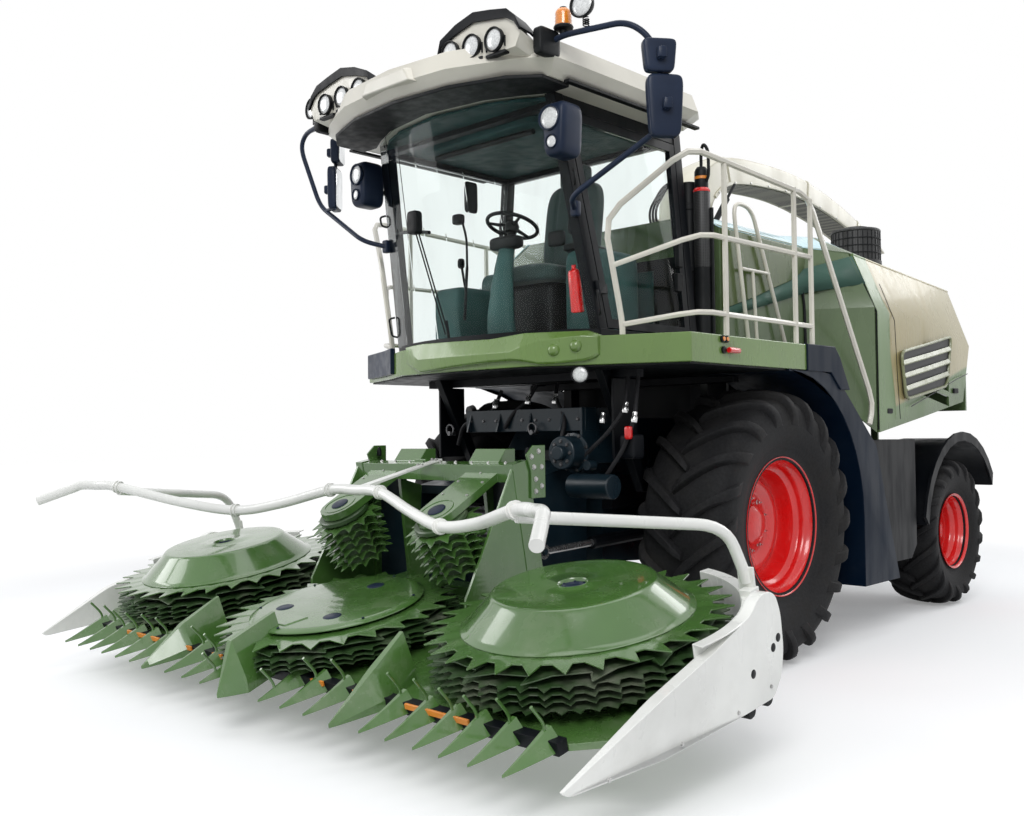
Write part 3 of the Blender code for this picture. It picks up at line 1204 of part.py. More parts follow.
def cab_inside(machine):
    """Seat with its console, and the steering column with its wheel."""
    base = CAB_FLOOR + CAB_PANEL + SEAT
    middle = between(CAB_FRONT, CAB_REAR, 0.66)
    width, depth, thick = SEAT_WIDTH, SEAT_DEPTH, SEAT_THICK
    cushion = base + SEAT_STAND
    back = middle + depth / 2
    shapes = [box((-width * 0.35, middle - depth * 0.3, base), (width * 0.35, middle + depth * 0.3,
                                                                cushion + BURY)),
              box((-width / 2, middle - depth / 2, cushion), (width / 2, back, cushion + thick)),
              slab("x", [(back - thick * 0.3, cushion + BURY), (back + thick * 0.7, cushion + BURY),
                         (back + thick * 1.4, cushion + SEAT_BACK), (back + thick * 0.6,
                                                                     cushion + SEAT_BACK)],
                   -width * 0.48, width * 0.48),
              box((-width * 1.05, middle - depth * 0.9, base + BURY), (-width / 2 + BURY, back - thick,
                                                                       cushion + thick * 1.8)),
              rod((-width * 0.8, middle - depth * 0.6, cushion + thick), (-width * 0.8,
                  middle - depth * 0.7, cushion + thick * 3.4),
                  thick * 0.22)]
    node("operator_seat", fuse(shapes), "seat", machine)
    front = between(CAB_FRONT, CAB_REAR, 0.22)
    foot = Vector((0, front, base + COLUMN_RADIUS / 2))
    head = Vector((0, front + COLUMN_REACH, base + COLUMN_HEIGHT))
    axis = (head - foot).normalized()
    wheel = turned([(WHEEL_RADIUS + RIM_SHEET * math.cos(a), RIM_SHEET * math.sin(a))
                    for a in (math.pi / 2 * k for k in range(4))][::-1], 16)
    wheel.data.transform(Matrix.Translation(head) @ axis.to_track_quat("Z", "X").to_matrix().to_4x4())
    shapes = [rod((0, front, base), (0, front, base + COLUMN_RADIUS), COLUMN_RADIUS * 1.1),
              rod(foot, between(foot, head, 0.75), COLUMN_RADIUS, COLUMN_RADIUS * 0.7),
              rod(between(foot, head, 0.7), head, COLUMN_RADIUS * 0.45), wheel]
    side = Vector((1, 0, 0))
    up = axis.cross(side)
    for spoke in (0, 1, 2):
        angle = 2 * math.pi * spoke / 3
        tip = head + (side * math.cos(angle) + up * math.sin(angle)) * WHEEL_RADIUS
        shapes.append(rod(head - axis * RIM_SHEET * 0.5, tip, RIM_SHEET * 0.7, sides=8))
    node("steering_column", fuse(shapes), "black", machine)


def guard_spot(shares, hand=1):
    across, back, up = shares
    deck = PLATFORM_BASE + PLATFORM_HEIGHT + SEAT
    return Vector((hand * (PLATFORM_HALF_WIDTH * across - RAIL_TUBE - SEAT), between(PLATFORM_FRONT,
                                                                                     PLATFORM_REAR, back),
                   deck + GUARD_HEIGHT * up))


def guard_rails(machine):
    """Tube rails round the walkways; the left one runs down beside the fender as the step rail."""
    for side, hand in (("left", 1), ("right", -1)):
        top = list(GUARD_TOP_SHARES)
        if hand < 0:
            top = top[:5] + [(1.00, 0.97, 0.0)]
        tail = [guard_spot(s, hand) for s in top]
        if hand > 0:
            for place in tail[-2:]:
                place.x = BODY_HALF_WIDTH + PANEL / 2 + RAIL_TUBE + SEAT * 2
        shapes = [tube(tail, RAIL_TUBE, GUARD_BEND)]
        shapes.append(tube([guard_spot(s, hand) for s in GUARD_MID_SHARES[:-1]] +
                           [guard_spot((1.0, 0.98, 0.56), hand)], RAIL_TUBE * 0.9, GUARD_BEND))
        shapes.append(tube([guard_spot(s, hand) for s in GUARD_LOW_SHARES[:-1]] +
                           [guard_spot((1.0, 0.98, 0.12), hand)], RAIL_TUBE * 0.9, GUARD_BEND))
        for share in GUARD_POST_SHARES:
            shapes.append(tube([guard_spot((1.0, share, 0), hand), guard_spot((1.0, share, 0.97), hand)],
                               RAIL_TUBE))
        if hand > 0:
            shapes.append(tube([guard_spot((1.0, 0.985, 0), hand), guard_spot((1.0, 0.985, 0.93), hand)],
                               RAIL_TUBE))
        node("guard_rail_" + side, fuse(shapes), "cream", machine)


def mirrors(machine):
    """Black tube arms from the roof corner to the front pillar, with two mirrors each."""
    for side, hand in (("left", 1), ("right", -1)):
        base = CAB_TOP + SEAT
        path = [Vector((hand * ROOF_HALF_WIDTH * a, between(ROOF_FRONT, ROOF_REAR, b),
                        base + ROOF_HEIGHT * c))
                for a, b, c in MIRROR_ARM_SHARES]
        up = (path[-1].z - CAB_FLOOR) / (CAB_TOP - CAB_FLOOR)
        lean = (CAB_HALF_WIDTH - CAB_TOP_HALF_WIDTH) / (CAB_TOP - CAB_FLOOR)
        pillar_x = CAB_HALF_WIDTH - lean * (path[-1].z - CAB_FLOOR)
        path[-1].x = hand * (pillar_x + MIRROR_TUBE / 2)
        path[-1].y = cab_side(0, up)[0] + PILLAR / 2
        tip = Vector(path[-1])
        tip.x = hand * (pillar_x + SEAT + lean * MIRROR_TUBE)
        path[0].x = hand * (ROOF_HALF_WIDTH + SEAT)
        knee = path[0] + Vector((hand * MIRROR_TUBE * 2, 0, 0))
        shapes = [tube([path[0], knee] + path[1:-1] + [tip + Vector((hand * MIRROR_TUBE * 2, 0, 0)),
                                                       tip], MIRROR_TUBE, MIRROR_BEND)]
        wide, deep, high = MIRROR_SIZE
        for share, size in MIRROR_PLACE_SHARES:
            centre = path[2].lerp(path[3], share)
            shapes.append(box(centre - Vector((wide, deep, high * size)) / 2 - Vector((0, deep / 2, 0)),
                              centre + Vector((wide, deep, high * size)) / 2))
        node("mirror_" + side, fuse(shapes), "black", machine)


def stack(machine):
    """The upright intake stack between cab and body."""
    y = (CAB_REAR + BODY_FRONT) / 2
    base = PLATFORM_BASE + PLATFORM_HEIGHT + SEAT
    x = CAB_HALF_WIDTH - STACK_RADIUS
    shapes = [rod((x, y, base), (x, y, base + STACK_HEIGHT * 1.1), STACK_RADIUS, sides=20)]
    node("intake_stack", fuse(shapes), "black", machine)


def rear_ladder(machine):
    """The small white step ladder on the rear bumper."""
    back = RAIL_REAR + CROSS_MEMBER
    inner = BODY_HALF_WIDTH * BUMPER_SHARE - LADDER_WIDTH / 3
    y = back + LADDER_TUBE * 3
    top = RAIL_BASE + RAIL_HEIGHT - LADDER_TUBE * 2
    shapes = []
    for x in (inner, inner + LADDER_WIDTH):
        shapes.append(tube([(x, y, top), (x, y, top - LADDER_HEIGHT)], LADDER_TUBE))
    for k in range(4):
        z = top - LADDER_HEIGHT * (k + 0.25) / 4
        shapes.append(tube([(inner, y, z), (inner + LADDER_WIDTH, y, z)], LADDER_TUBE * 0.8))
    z = top - LADDER_HEIGHT * 0.25 / 4
    shapes.append(tube([(inner, back + SEAT, z), (inner, y, z)], LADDER_TUBE * 0.85))
    node("rear_ladder", fuse(shapes), "white", machine)


def spout(machine):
    """Slewing turret, arched spout on its lift hinge and the end flap."""
    ring_base = BODY_TOP + PANEL / 2 + SEAT * 3
    turret = empty("spout_slew_axis", machine, (0, TURRET_Y, ring_base))
    profile = [(0, -TURRET_HEIGHT), (TURRET_RADIUS, -TURRET_HEIGHT), (TURRET_RADIUS, 0),
               (TURRET_RADIUS + PANEL * 2, 0), (TURRET_RADIUS + PANEL * 2, PANEL), (TURRET_RADIUS, PANEL),
               (TURRET_RADIUS * 0.9, TURRET_HEIGHT * 0.5), (0, TURRET_HEIGHT * 0.5)]
    cheek = SPOUT_WIDTH / 2 + RUNNING
    pivot_z = TURRET_HEIGHT
    shapes = [turned(profile, 20)]
    for hand in (1, -1):
        a, b = sorted((hand * cheek, hand * (cheek + PANEL)))
        reach = TURRET_RADIUS * 0.55
        shapes.append(slab("x", [(-reach, TURRET_HEIGHT * 0.4), (reach * 0.2, TURRET_HEIGHT * 0.4),
                                 (-reach * 0.2, pivot_z + PANEL * 1.6), (-reach, pivot_z + PANEL * 1.6)],
                                 a, b))
    pin = bore(LIFT_PIN_RADIUS * 0.7, KINGPIN_SIDES)
    pivot_y = -TURRET_RADIUS * 0.32
    drill = rod((-SPOUT_WIDTH, pivot_y, pivot_z), (SPOUT_WIDTH, pivot_y, pivot_z), pin, sides=KINGPIN_SIDES)
    node("spout_turret", cut(fuse(shapes), [drill]), "cream", turret)

    lift = empty("spout_lift_axis", turret, (0, pivot_y, pivot_z))
    start = Vector((0, -pivot_y, -pivot_z + TURRET_HEIGHT * 0.5 + SPOUT_GAP))
    centres = [start + Vector((0, SPOUT_REACH * a, SPOUT_RISE * b)) for a, b, deep, wide in SPOUT_SHARES]
    rings = []
    for k, (centre, (a, b, deep, wide)) in enumerate(zip(centres, SPOUT_SHARES)):
        ahead = centres[min(k + 1, len(centres) - 1)] - centres[max(k - 1, 0)]
        up = Vector((0, -ahead.z, ahead.y)).normalized() if k else Vector((0, -1, 0))
        half = SPOUT_DEPTH * deep / 2
        side = SPOUT_WIDTH * wide / 2
        rings.append([centre + up * half * v + Vector((side * u, 0, 0))
                      for u, v in ((-1, -1), (1, -1), (1, 0.55), (0.6, 1), (-0.6, 1), (-1, 0.55))])
    shapes = [loft(rings),
              rod((-cheek - PANEL, 0, 0), (cheek + PANEL, 0, 0), LIFT_PIN_RADIUS * 0.7, sides=KINGPIN_SIDES)]
    node("spout", fuse(shapes), "cream", lift)

    ahead = (centres[-1] - centres[-2]).normalized()
    up = Vector((0, -ahead.z, ahead.y))
    half = SPOUT_DEPTH * SPOUT_SHARES[-1][2] / 2
    side = SPOUT_WIDTH * SPOUT_SHARES[-1][3] / 2
    hinge = centres[-1] + up * half + ahead * (HINGE_RADIUS + SEAT)
    swing = empty("spout_flap_axis", lift, hinge)
    lid = [ahead * RUNNING - up * 0, ahead * FLAP_LENGTH - up * FLAP_LENGTH * 0.25]
    rows = [[p + Vector((side * u, 0, 0)) for u in (-1, 1)] for p in (Vector((0, 0, 0)), lid[1])]
    flap = fuse([sheet(rows, HINGE_RADIUS), rod((-side, 0, 0), (side, 0, 0), HINGE_RADIUS)])
    node("spout_flap", flap, "cream", swing)


def star(tip, root, teeth, wide):
    """A toothed disc outline: triangular teeth with narrow flats between them."""
    points = []
    corners = ((-wide / 2, root), (0, tip), (wide / 2, root)) if wide < 0.9 else ((0, tip), (0.5, root))
    for k in range(teeth):
        for turn, radius in corners:
            angle = 2 * math.pi * (k + turn) / teeth
            points.append((radius * math.cos(angle), radius * math.sin(angle)))
    return points


def drum_discs(radius, saw, under, foot):
    shapes = []
    for depth, tip, root, teeth, wide in OUTER_DISC_SHARES + SAW_SHARES:
        size = saw if teeth > 30 else radius
        top = under - DISC_PITCH * depth * (under - foot) / (DISC_PITCH * 4)
        shapes.append(slab("z", star(size * tip, size * root, teeth, wide), top - DISC_SHEET, top))
    return shapes


def drums(header):
    """Two outer gathering drums with conical hoods and the flat centre drum, all with toothed discs."""
    for side, hand in (("left", 1), ("right", -1)):
        spin = empty("drum_axis_" + side, header, (hand * DRUM_SPACING, 0, 0))
        profile = [(0, -HUB_EYE / 4), (HUB_EYE, -HUB_EYE / 4), (HUB_EYE, 0), (HOOD_TOP_RADIUS, 0),
                   (HOOD_BASE_RADIUS, -HOOD_HEIGHT), (HOOD_BASE_RADIUS, -HOOD_HEIGHT - DISC_SHEET),
                   (DRUM_CORE_RADIUS, -HOOD_HEIGHT - DISC_SHEET), (DRUM_CORE_RADIUS, DRUM_FOOT), (0,
                                                                                                  DRUM_FOOT)]
        shapes = [turned(profile, 24)] + drum_discs(DISC_RADIUS, SAW_RADIUS, -HOOD_HEIGHT,
                                                    DRUM_FOOT + DISC_SHEET)
        node("gathering_drum_" + side, fuse(shapes), "green", spin)
    spin = empty("drum_axis_centre", header, (0, -CENTRE_DRUM_AHEAD, 0))
    top = -CENTRE_DRUM_DROP - COVER_SHEET - RUNNING
    core = [(0, top), (DRUM_CORE_RADIUS, top), (DRUM_CORE_RADIUS, DRUM_FOOT), (0, DRUM_FOOT)]
    shapes = [turned(core, 20)] + drum_discs(CENTRE_DISC_RADIUS, CENTRE_DISC_RADIUS, top,
                                             DRUM_FOOT + DISC_SHEET)
    node("gathering_drum_centre", fuse(shapes), "green", spin)


def intake_frame(hand):
    place = Matrix.Translation((hand * INTAKE_SPACING, INTAKE_BACK, INTAKE_UP))
    return place @ Matrix.Rotation(INTAKE_LEAN - HEADER_LEAN, 4, "X")


def intakes(header):
    """The two upright intake drums that turn under the frame's arms."""
    for side, hand in (("left", 1), ("right", -1)):
        spin = empty("intake_axis_" + side, header, (hand * INTAKE_SPACING, INTAKE_BACK, INTAKE_UP),
                     (INTAKE_LEAN - HEADER_LEAN, 0, 0))
        shapes = [rod((0, 0, -INTAKE_LENGTH), (0, 0, -SEAT), INTAKE_CORE, sides=12)]
        for k in range(INTAKE_DISCS):
            z = -INTAKE_LENGTH * (k + 0.6) / (INTAKE_DISCS - 0.2)
            size = INTAKE_RADIUS * between(1.0, 0.92, k / INTAKE_DISCS)
            shapes.append(slab("z", star(size, size * 0.80, INTAKE_TEETH, 1.0), z - DISC_SHEET, z))
        node("intake_drum_" + side, fuse(shapes), "green", spin)


def header_frame(header):
    """Drum pan, upright frame with the cross tube, and the arms over the intake drums."""
    divider_inner = HEADER_HALF_WIDTH - DIVIDER_WIDTH - SEAT
    half = [(divider_inner * a / PAN_SHARES[2][0], SNOUT_REACH * b) for a, b in PAN_SHARES]
    outline = half + [(-x, y) for x, y in half[::-1] if x > 0]
    shapes = [slab("z", outline, HEADER_BOTTOM, PAN_TOP)]
    for x, back in ((DRUM_SPACING, 0), (-DRUM_SPACING, 0), (0, -CENTRE_DRUM_AHEAD)):
        shapes.append(rod((x, back, PAN_TOP - BURY), (x, back, DRUM_FOOT - SEAT), DRUM_BOSS, sides=20))
    post = TUBE_DEPTH * 0.7
    shapes += both(box((TUBE_HALF - post, TUBE_BACK - BURY, HEADER_BOTTOM + BURY),
                       (TUBE_HALF, TUBE_BACK + TUBE_DEPTH * 1.4, TUBE_HIGH + BURY)))
    shapes.append(box((-TUBE_HALF + BURY, TUBE_BACK, TUBE_LOW), (TUBE_HALF - BURY,
                                                                 TUBE_BACK + TUBE_DEPTH, TUBE_HIGH)))
    shapes.append(box((-TUBE_HALF + BURY, TUBE_BACK + TUBE_DEPTH * 0.2, HEADER_BOTTOM + BURY / 2),
                      (TUBE_HALF - BURY, TUBE_BACK + TUBE_DEPTH * 1.2, HEADER_BOTTOM + TUBE_DEPTH)))
    wide = INTAKE_CORE * 1.05
    for hand in (1, -1):
        arm = arc((0, 0), wide, 180, 360, 8) + [(wide, ARM_LENGTH), (-wide, ARM_LENGTH)]
        shape = slab("z", arm, 0, ARM_SHEET)
        shape.data.transform(intake_frame(hand))
        shapes.append(shape)
    wall = [(FUNNEL_FRONT, PAN_TOP - BURY), (FUNNEL_FRONT + TUBE_DEPTH * 0.5, PAN_TOP + FUNNEL_LIP),
            (TUBE_BACK * 0.42, 0), (TUBE_BACK + BURY, TUBE_HIGH - BURY), (TUBE_BACK + BURY, PAN_TOP - BURY)]
    shapes += both(slab("x", wall, TUBE_HALF - BURY - FUNNEL_SHEET, TUBE_HALF - BURY))
    upright = [feeder_face(k) for k in (1, 2, 3)]
    upright += [(HEADER_Y + TUBE_BACK, HEADER_Z + TUBE_HIGH), (HEADER_Y + TUBE_BACK + TUBE_DEPTH,
                                                               HEADER_Z + HEADER_BOTTOM * 0.8)]
    plates = both(slab("x", upright, THROAT_HALF_WIDTH - PANEL * 0.9, THROAT_HALF_WIDTH))
    place = Matrix.Translation((0, HEADER_Y, HEADER_Z)) @ Matrix.Rotation(HEADER_LEAN, 4, "X")
    for plate in plates:
        plate.data.transform(place.inverted())
    node("header_frame", fuse(shapes + plates), "green", header)


def wedge(stations):
    """A snout: rings of four points through (back, across, half width, low, high) stations."""
    rings = []
    for back, across, wide, low, high in stations:
        rings.append([(across - wide, back, low), (across + wide, back, low),
                      (across + wide * 0.35, back, high), (across - wide * 0.35, back, high)])
    return creased(loft(rings))


def snout_row(header):
    """The front beam with its snouts, the crop dividers between the drums and the centre cover."""
    beam_front = -SNOUT_REACH * 0.76
    beam_back = -SNOUT_REACH * 0.70 - SEAT
    reach = SNOUT_X[-1] + SNOUT_WIDTH * 0.55
    top = DRUM_FOOT - RUNNING / 2
    shapes = [box((-reach, beam_front, HEADER_BOTTOM), (reach, beam_back, top - BURY))]
    tip_low, tip_high = HEADER_BOTTOM + SNOUT_HEIGHT * 0.3, HEADER_BOTTOM + SNOUT_HEIGHT * 0.5
    for x in SNOUT_X:
        for hand in (1, -1):
            shapes.append(wedge(((-SNOUT_REACH, hand * x, SNOUT_WIDTH * 0.04, tip_low, tip_high),
                                 (-SNOUT_REACH + SNOUT_LENGTH, hand * x, SNOUT_WIDTH / 2,
                                  HEADER_BOTTOM + BURY / 2, top - BURY / 2))))
    for hand in (1, -1):
        x = hand * BIG_SNOUT_X
        nose, waist, tail = BIG_SNOUT_SHARES
        rings = [(-SNOUT_REACH * nose[0], x, SNOUT_WIDTH * nose[1], tip_low, tip_high),
                 (-SNOUT_REACH * waist[0], x, SNOUT_WIDTH * waist[1], HEADER_BOTTOM - BURY / 2,
                  -SNOUT_REACH * waist[2])]
        shapes.append(wedge(rings))
        rings = [(-SNOUT_REACH * waist[0] - BURY, x, SNOUT_WIDTH * waist[1], PAN_TOP + SEAT,
                  -SNOUT_REACH * waist[2]),
                 (-SNOUT_REACH * tail[0], x * 0.965, SNOUT_WIDTH * tail[1], PAN_TOP + SEAT,
                  -SNOUT_REACH * tail[2])]
        shapes.append(wedge(rings))
    centre = wedge(((-SNOUT_REACH * 1.06, 0, SNOUT_WIDTH * 0.05, tip_low, tip_high),
                    (-SNOUT_REACH * 0.96, 0, SNOUT_WIDTH * 0.55, HEADER_BOTTOM - BURY / 2, -NECK_FRONT_DROP),
                    (-SNOUT_REACH * 0.62, 0, SNOUT_WIDTH * 0.90, HEADER_BOTTOM + BURY, -NECK_REAR_DROP)))
    cover_top = -CENTRE_DRUM_DROP
    under = cover_top - COVER_SHEET
    hollow = rod((0, -CENTRE_DRUM_AHEAD, DRUM_FOOT - 2 * RUNNING), (0, -CENTRE_DRUM_AHEAD, under),
                 CENTRE_DISC_RADIUS + RUNNING * 2, sides=36)
    step = box((-SNOUT_WIDTH, beam_front + BURY, HEADER_BOTTOM - BURY), (SNOUT_WIDTH, 0, DRUM_FOOT))
    shapes.append(cut(centre, [hollow, step]))
    cover = turned([(0, cover_top), (COVER_RADIUS * 0.97, cover_top), (COVER_RADIUS,
                                                                       cover_top - COVER_SHEET / 2),
                    (COVER_RADIUS, under), (0, under)], 24)
    cover.data.transform(Matrix.Translation((0, -CENTRE_DRUM_AHEAD, 0)))
    shapes.append(cover)
    node("snout_row", fuse(shapes), "green", header)


def guard_post():
    """Where the post behind the outer drum stands."""
    radius = GUARD_RADIUS + BAR_RADIUS * 1.3
    return Vector((DRUM_SPACING + radius * math.cos(POST_ANGLE), radius * math.sin(POST_ANGLE), 0))


def dividers(header):
    """White outer dividers: the long nose, the rounded rear and the curved guard behind the drum."""
    for side, hand in (("left", 1), ("right", -1)):
        depth = -HEADER_BOTTOM
        outline = [(SNOUT_REACH * a, depth * b) for a, b in DIVIDER_SHARES]
        inner, outer = HEADER_HALF_WIDTH - DIVIDER_WIDTH, HEADER_HALF_WIDTH
        shape = slab("x", outline, inner, outer)
        for vertex in shape.data.vertices:
            share = min(1.0, (vertex.co.y + SNOUT_REACH * 1.02) / (SNOUT_REACH * 0.5))
            tip = HEADER_HALF_WIDTH - DIVIDER_WIDTH * (1.75 if vertex.co.x < (inner + outer) / 2 else 1.45)
            vertex.co.x = between(tip, vertex.co.x, share)
        creased(shape)
        radius = GUARD_RADIUS
        ring = arc((DRUM_SPACING, 0), radius, -12, 72, 14) + arc((DRUM_SPACING, 0),
                                                                 radius + DISC_SHEET * 1.6, 72, -12, 14)
        guard = slab("z", ring, PAN_TOP + SEAT, HEADER_BOTTOM * 0.33)
        post = guard_post()
        foot = box(post + Vector((-BAR_RADIUS, -BAR_RADIUS, PAN_TOP + BURY)),
                   post + Vector((BAR_RADIUS, BAR_RADIUS, -POST_DROP)))
        shape = fuse([shape, guard, foot])
        if hand < 0:
            other = mirrored(shape)
            bpy.data.objects.remove(shape, do_unlink=True)
            shape = other
        node("divider_" + side, shape, "white", header)


def push_bar(header):
    """The wavy bar in front of the drums, its side pipes to the dividers and the middle strut."""
    half = [Vector((a, b, c)) * BAR_HALF_WIDTH for a, b, c in BAR_SHARES]
    path = [Vector((-p.x, p.y, p.z)) for p in half[:0:-1]] + half
    shapes = [tube(path, BAR_RADIUS, BAR_BEND)]
    clamp = half[5]
    for hand in (1, -1):
        foot = guard_post() + Vector((0, 0, SEAT - POST_DROP))
        knee = foot + Vector((-BAR_RADIUS, -BAR_RADIUS * 2.6, KNEE_RISE))
        line = [foot, foot + Vector((0, 0, BAR_RADIUS * 2)), knee, clamp - Vector((0, 0, BAR_RADIUS * 0.9))]
        shapes.append(tube([Vector((hand * p.x, p.y, p.z)) for p in line], BAR_RADIUS * 0.92, PIPE_BEND))
    shapes.append(slab("x", [(half[0].y, half[0].z - BAR_RADIUS * 0.3), (TUBE_BACK - BURY, TUBE_HIGH + SEAT),
                             (TUBE_BACK + TUBE_DEPTH, TUBE_HIGH + SEAT),
                             (TUBE_BACK + TUBE_DEPTH, TUBE_HIGH + SEAT + BAR_RADIUS * 0.4),
                             (half[0].y, half[0].z + BAR_RADIUS * 0.4)], -BAR_RADIUS, BAR_RADIUS))
    node("push_bar", fuse(shapes), "white", header)


def lift_cylinders(machine):
    """A barrel and rod each side; the barrel swings on the axle, the rod's eye goes round the feeder's pin."""
    foot = Vector((0, *CYLINDER_FOOT))
    eye = Vector((0, *CYLINDER_EYE))
    line = eye - foot
    length = line.length
    tilt = math.atan2(-line.z, -line.y)
    for side, hand in (("left", 1), ("right", -1)):
        pivot = empty("barrel_axis_" + side, machine, (hand * CYLINDER_X, foot.y, foot.z), (tilt, 0, 0))
        reach = length * STROKE_SHARE
        hole = ROD_RADIUS + SEAT
        profile = [(0, 0), (CYLINDER_RADIUS, 0), (CYLINDER_RADIUS, reach), (hole, reach), (hole,
            reach * 0.2), (0, reach * 0.2)]
        barrel = turned(profile, 12)
        barrel.data.transform(Matrix.Rotation(math.pi / 2, 4, "X"))
        shapes = [barrel, rod((-CYLINDER_RADIUS * 0.9, 0, 0), (CYLINDER_RADIUS * 0.9, 0, 0),
                              CYLINDER_EYE_RADIUS, sides=24)]
        node("lift_barrel_" + side, fuse(shapes), "black", pivot)
        slide = empty("lift_rod_axis_" + side, pivot, (0, 0, 0))
        ring_radius = ROD_RADIUS * 2.1
        ring = rod((-ROD_RADIUS * 0.85, -length, 0), (ROD_RADIUS * 0.85, -length, 0), ring_radius, sides=12)
        stem = rod((0, -length * 0.42, 0), (0, -length + ROD_RADIUS, 0), ROD_RADIUS, sides=12)
        drill = rod((-ROD_RADIUS * 2, -length, 0), (ROD_RADIUS * 2, -length, 0), EYE_PIN + RUNNING, sides=12)
        node("lift_rod_" + side, cut(fuse([ring, stem]), [drill]), "steel", slide)


def centre_length(machine):
    """Moves the machine so that the origin lies below the middle of its overall length."""
    bpy.context.view_layer.update()
    backs = [(item.matrix_world @ vertex.co).y for item in PARTS.objects for vertex in item.data.vertices]
    machine.location.y = -(min(backs) + max(backs)) / 2


def build():
    machine = empty("harvester")
    chassis(machine)
    front_axle(machine)
    rear_axle(machine)
    front_wheels(machine)
    rear_wheels(machine)
    chopper(machine)
    engine(machine)
    platform(machine)
    front_fenders(machine)
    rear_fenders(machine)
    body(machine)
    rear_panel(machine)
    engine_doors(machine)
    cab_frame(machine)
    windows(machine)
    cab_door(machine)
    roof(machine)
    cab_inside(machine)
    guard_rails(machine)
    mirrors(machine)
    stack(machine)
    rear_ladder(machine)
    spout(machine)
    lift = empty("header_lift_axis", machine, (0, LIFT_AXIS_Y, LIFT_AXIS_Z))
    feeder(lift)
    lift_cylinders(machine)
    header = empty("header_axes", lift, (0, HEADER_Y - LIFT_AXIS_Y, HEADER_Z - LIFT_AXIS_Z),
                   (HEADER_LEAN, 0, 0))
    header_frame(header)
    snout_row(header)
    drums(header)
    intakes(header)
    dividers(header)
    push_bar(header)
    centre_length(machine)


build()
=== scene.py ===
import json
import math

import bmesh
import bpy
import numpy as np
from mathutils import Matrix, Vector


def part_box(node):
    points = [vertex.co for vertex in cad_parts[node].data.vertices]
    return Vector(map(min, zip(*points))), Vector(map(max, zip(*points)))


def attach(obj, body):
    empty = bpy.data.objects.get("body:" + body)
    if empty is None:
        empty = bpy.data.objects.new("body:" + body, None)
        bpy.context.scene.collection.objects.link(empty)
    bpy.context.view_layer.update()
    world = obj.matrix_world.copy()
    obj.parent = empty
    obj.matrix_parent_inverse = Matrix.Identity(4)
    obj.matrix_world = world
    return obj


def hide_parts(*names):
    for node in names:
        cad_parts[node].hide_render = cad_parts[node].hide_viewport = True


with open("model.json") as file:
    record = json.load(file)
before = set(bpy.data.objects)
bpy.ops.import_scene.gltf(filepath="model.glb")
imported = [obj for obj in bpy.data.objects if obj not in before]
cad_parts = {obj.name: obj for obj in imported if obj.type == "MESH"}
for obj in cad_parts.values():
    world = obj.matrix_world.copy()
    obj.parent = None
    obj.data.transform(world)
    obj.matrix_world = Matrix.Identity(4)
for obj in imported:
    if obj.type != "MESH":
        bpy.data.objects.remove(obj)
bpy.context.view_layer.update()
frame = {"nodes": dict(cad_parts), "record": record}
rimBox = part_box("front_rim_left")
axleY = (rimBox[0].y + rimBox[1].y) / 2    # sizes below have the front axle at y 0
bodyOfNode = {n: body for body, names in frame["record"]["behaviour"]["bodies"].items() for n in names}
header = {"y": -2.337, "z": 0.816, "lean": math.radians(10.5)}
bothSides = (("left", 1), ("right", -1))
mergeGap = 0.00002
print("frame loaded, front axle at", round(axleY, 4))


# Numbers as an array of floats.
def arr(points):
    return np.asarray(points, dtype=float)


# A point measured from the front axle, moved along y to the model's own origin.
def fromAxle(points):
    return arr(points) + (0.0, axleY, 0.0)


# A header point (across, back, up), leaned back about x and moved to the drums' origin.
def fromHeader(points):
    p = arr(points)
    c, s = math.cos(header["lean"]), math.sin(header["lean"])
    return np.stack([p[..., 0], header["y"] + axleY + c * p[..., 1] - s * p[..., 2],
        header["z"] + s * p[..., 1] + c * p[..., 2]], -1)


# The intake drums lean 29 degrees in all about x, round each drum's top.
intake = {"across": 0.444, "back": 0.206, "up": 0.213, "lean": math.radians(29.0 - 10.5)}


# An intake drum point: leaned about x, shifted to that side's drum, then read as a header point.
def fromIntake(points, hand):
    p = arr(points)
    c, s = math.cos(intake["lean"]), math.sin(intake["lean"])
    return fromHeader(np.stack([p[..., 0] + hand * intake["across"], intake["back"] + c * p[..., 1]
        - s * p[..., 2], intake["up"] + s * p[..., 1] + c * p[..., 2]], -1))


# The same shape with x turned to -x.
def mirrorX(shape):
    points, faces = shape
    return points * (-1, 1, 1), faces


# Quads between neighbouring rows and columns; columns may close on themselves.
def gridFaces(rows, cols, closeCols=True, closeRows=False):
    r = np.arange(rows if closeRows else rows - 1)[:, None]
    c = np.arange(cols if closeCols else cols - 1)[None, :]
    a, b = r * cols + c, r * cols + (c + 1) % cols
    up = ((r + 1) % rows) * cols
    return np.stack([a, b, up + (c + 1) % cols, up + c], -1).reshape(-1, 4).tolist()


# Faces of a slab: two outlines of n corners each and the quads between them.
def slabFaces(n):
    return [list(range(n)), list(range(n, 2 * n))] + [[k, (k + 1) % n, n + (k + 1) % n, n + k]
        for k in range(n)]


# Angles of n equal steps round a circle, from 0.
def fullTurn(n):
    return np.linspace(0, 2 * np.pi, n, endpoint=False)


# One shape from several: each one's face numbers grow by the points before it.
def joined(shapes):
    points, faces, start = [], [], 0
    for p, f in shapes:
        points.append(p.reshape(-1, 3))
        faces += [[k + start for k in face] for face in f]
        start += len(points[-1])
    return np.concatenate(points), faces


# The same faces with their points sent through place.
def moved(shape, place):
    return place(shape[0]), shape[1]


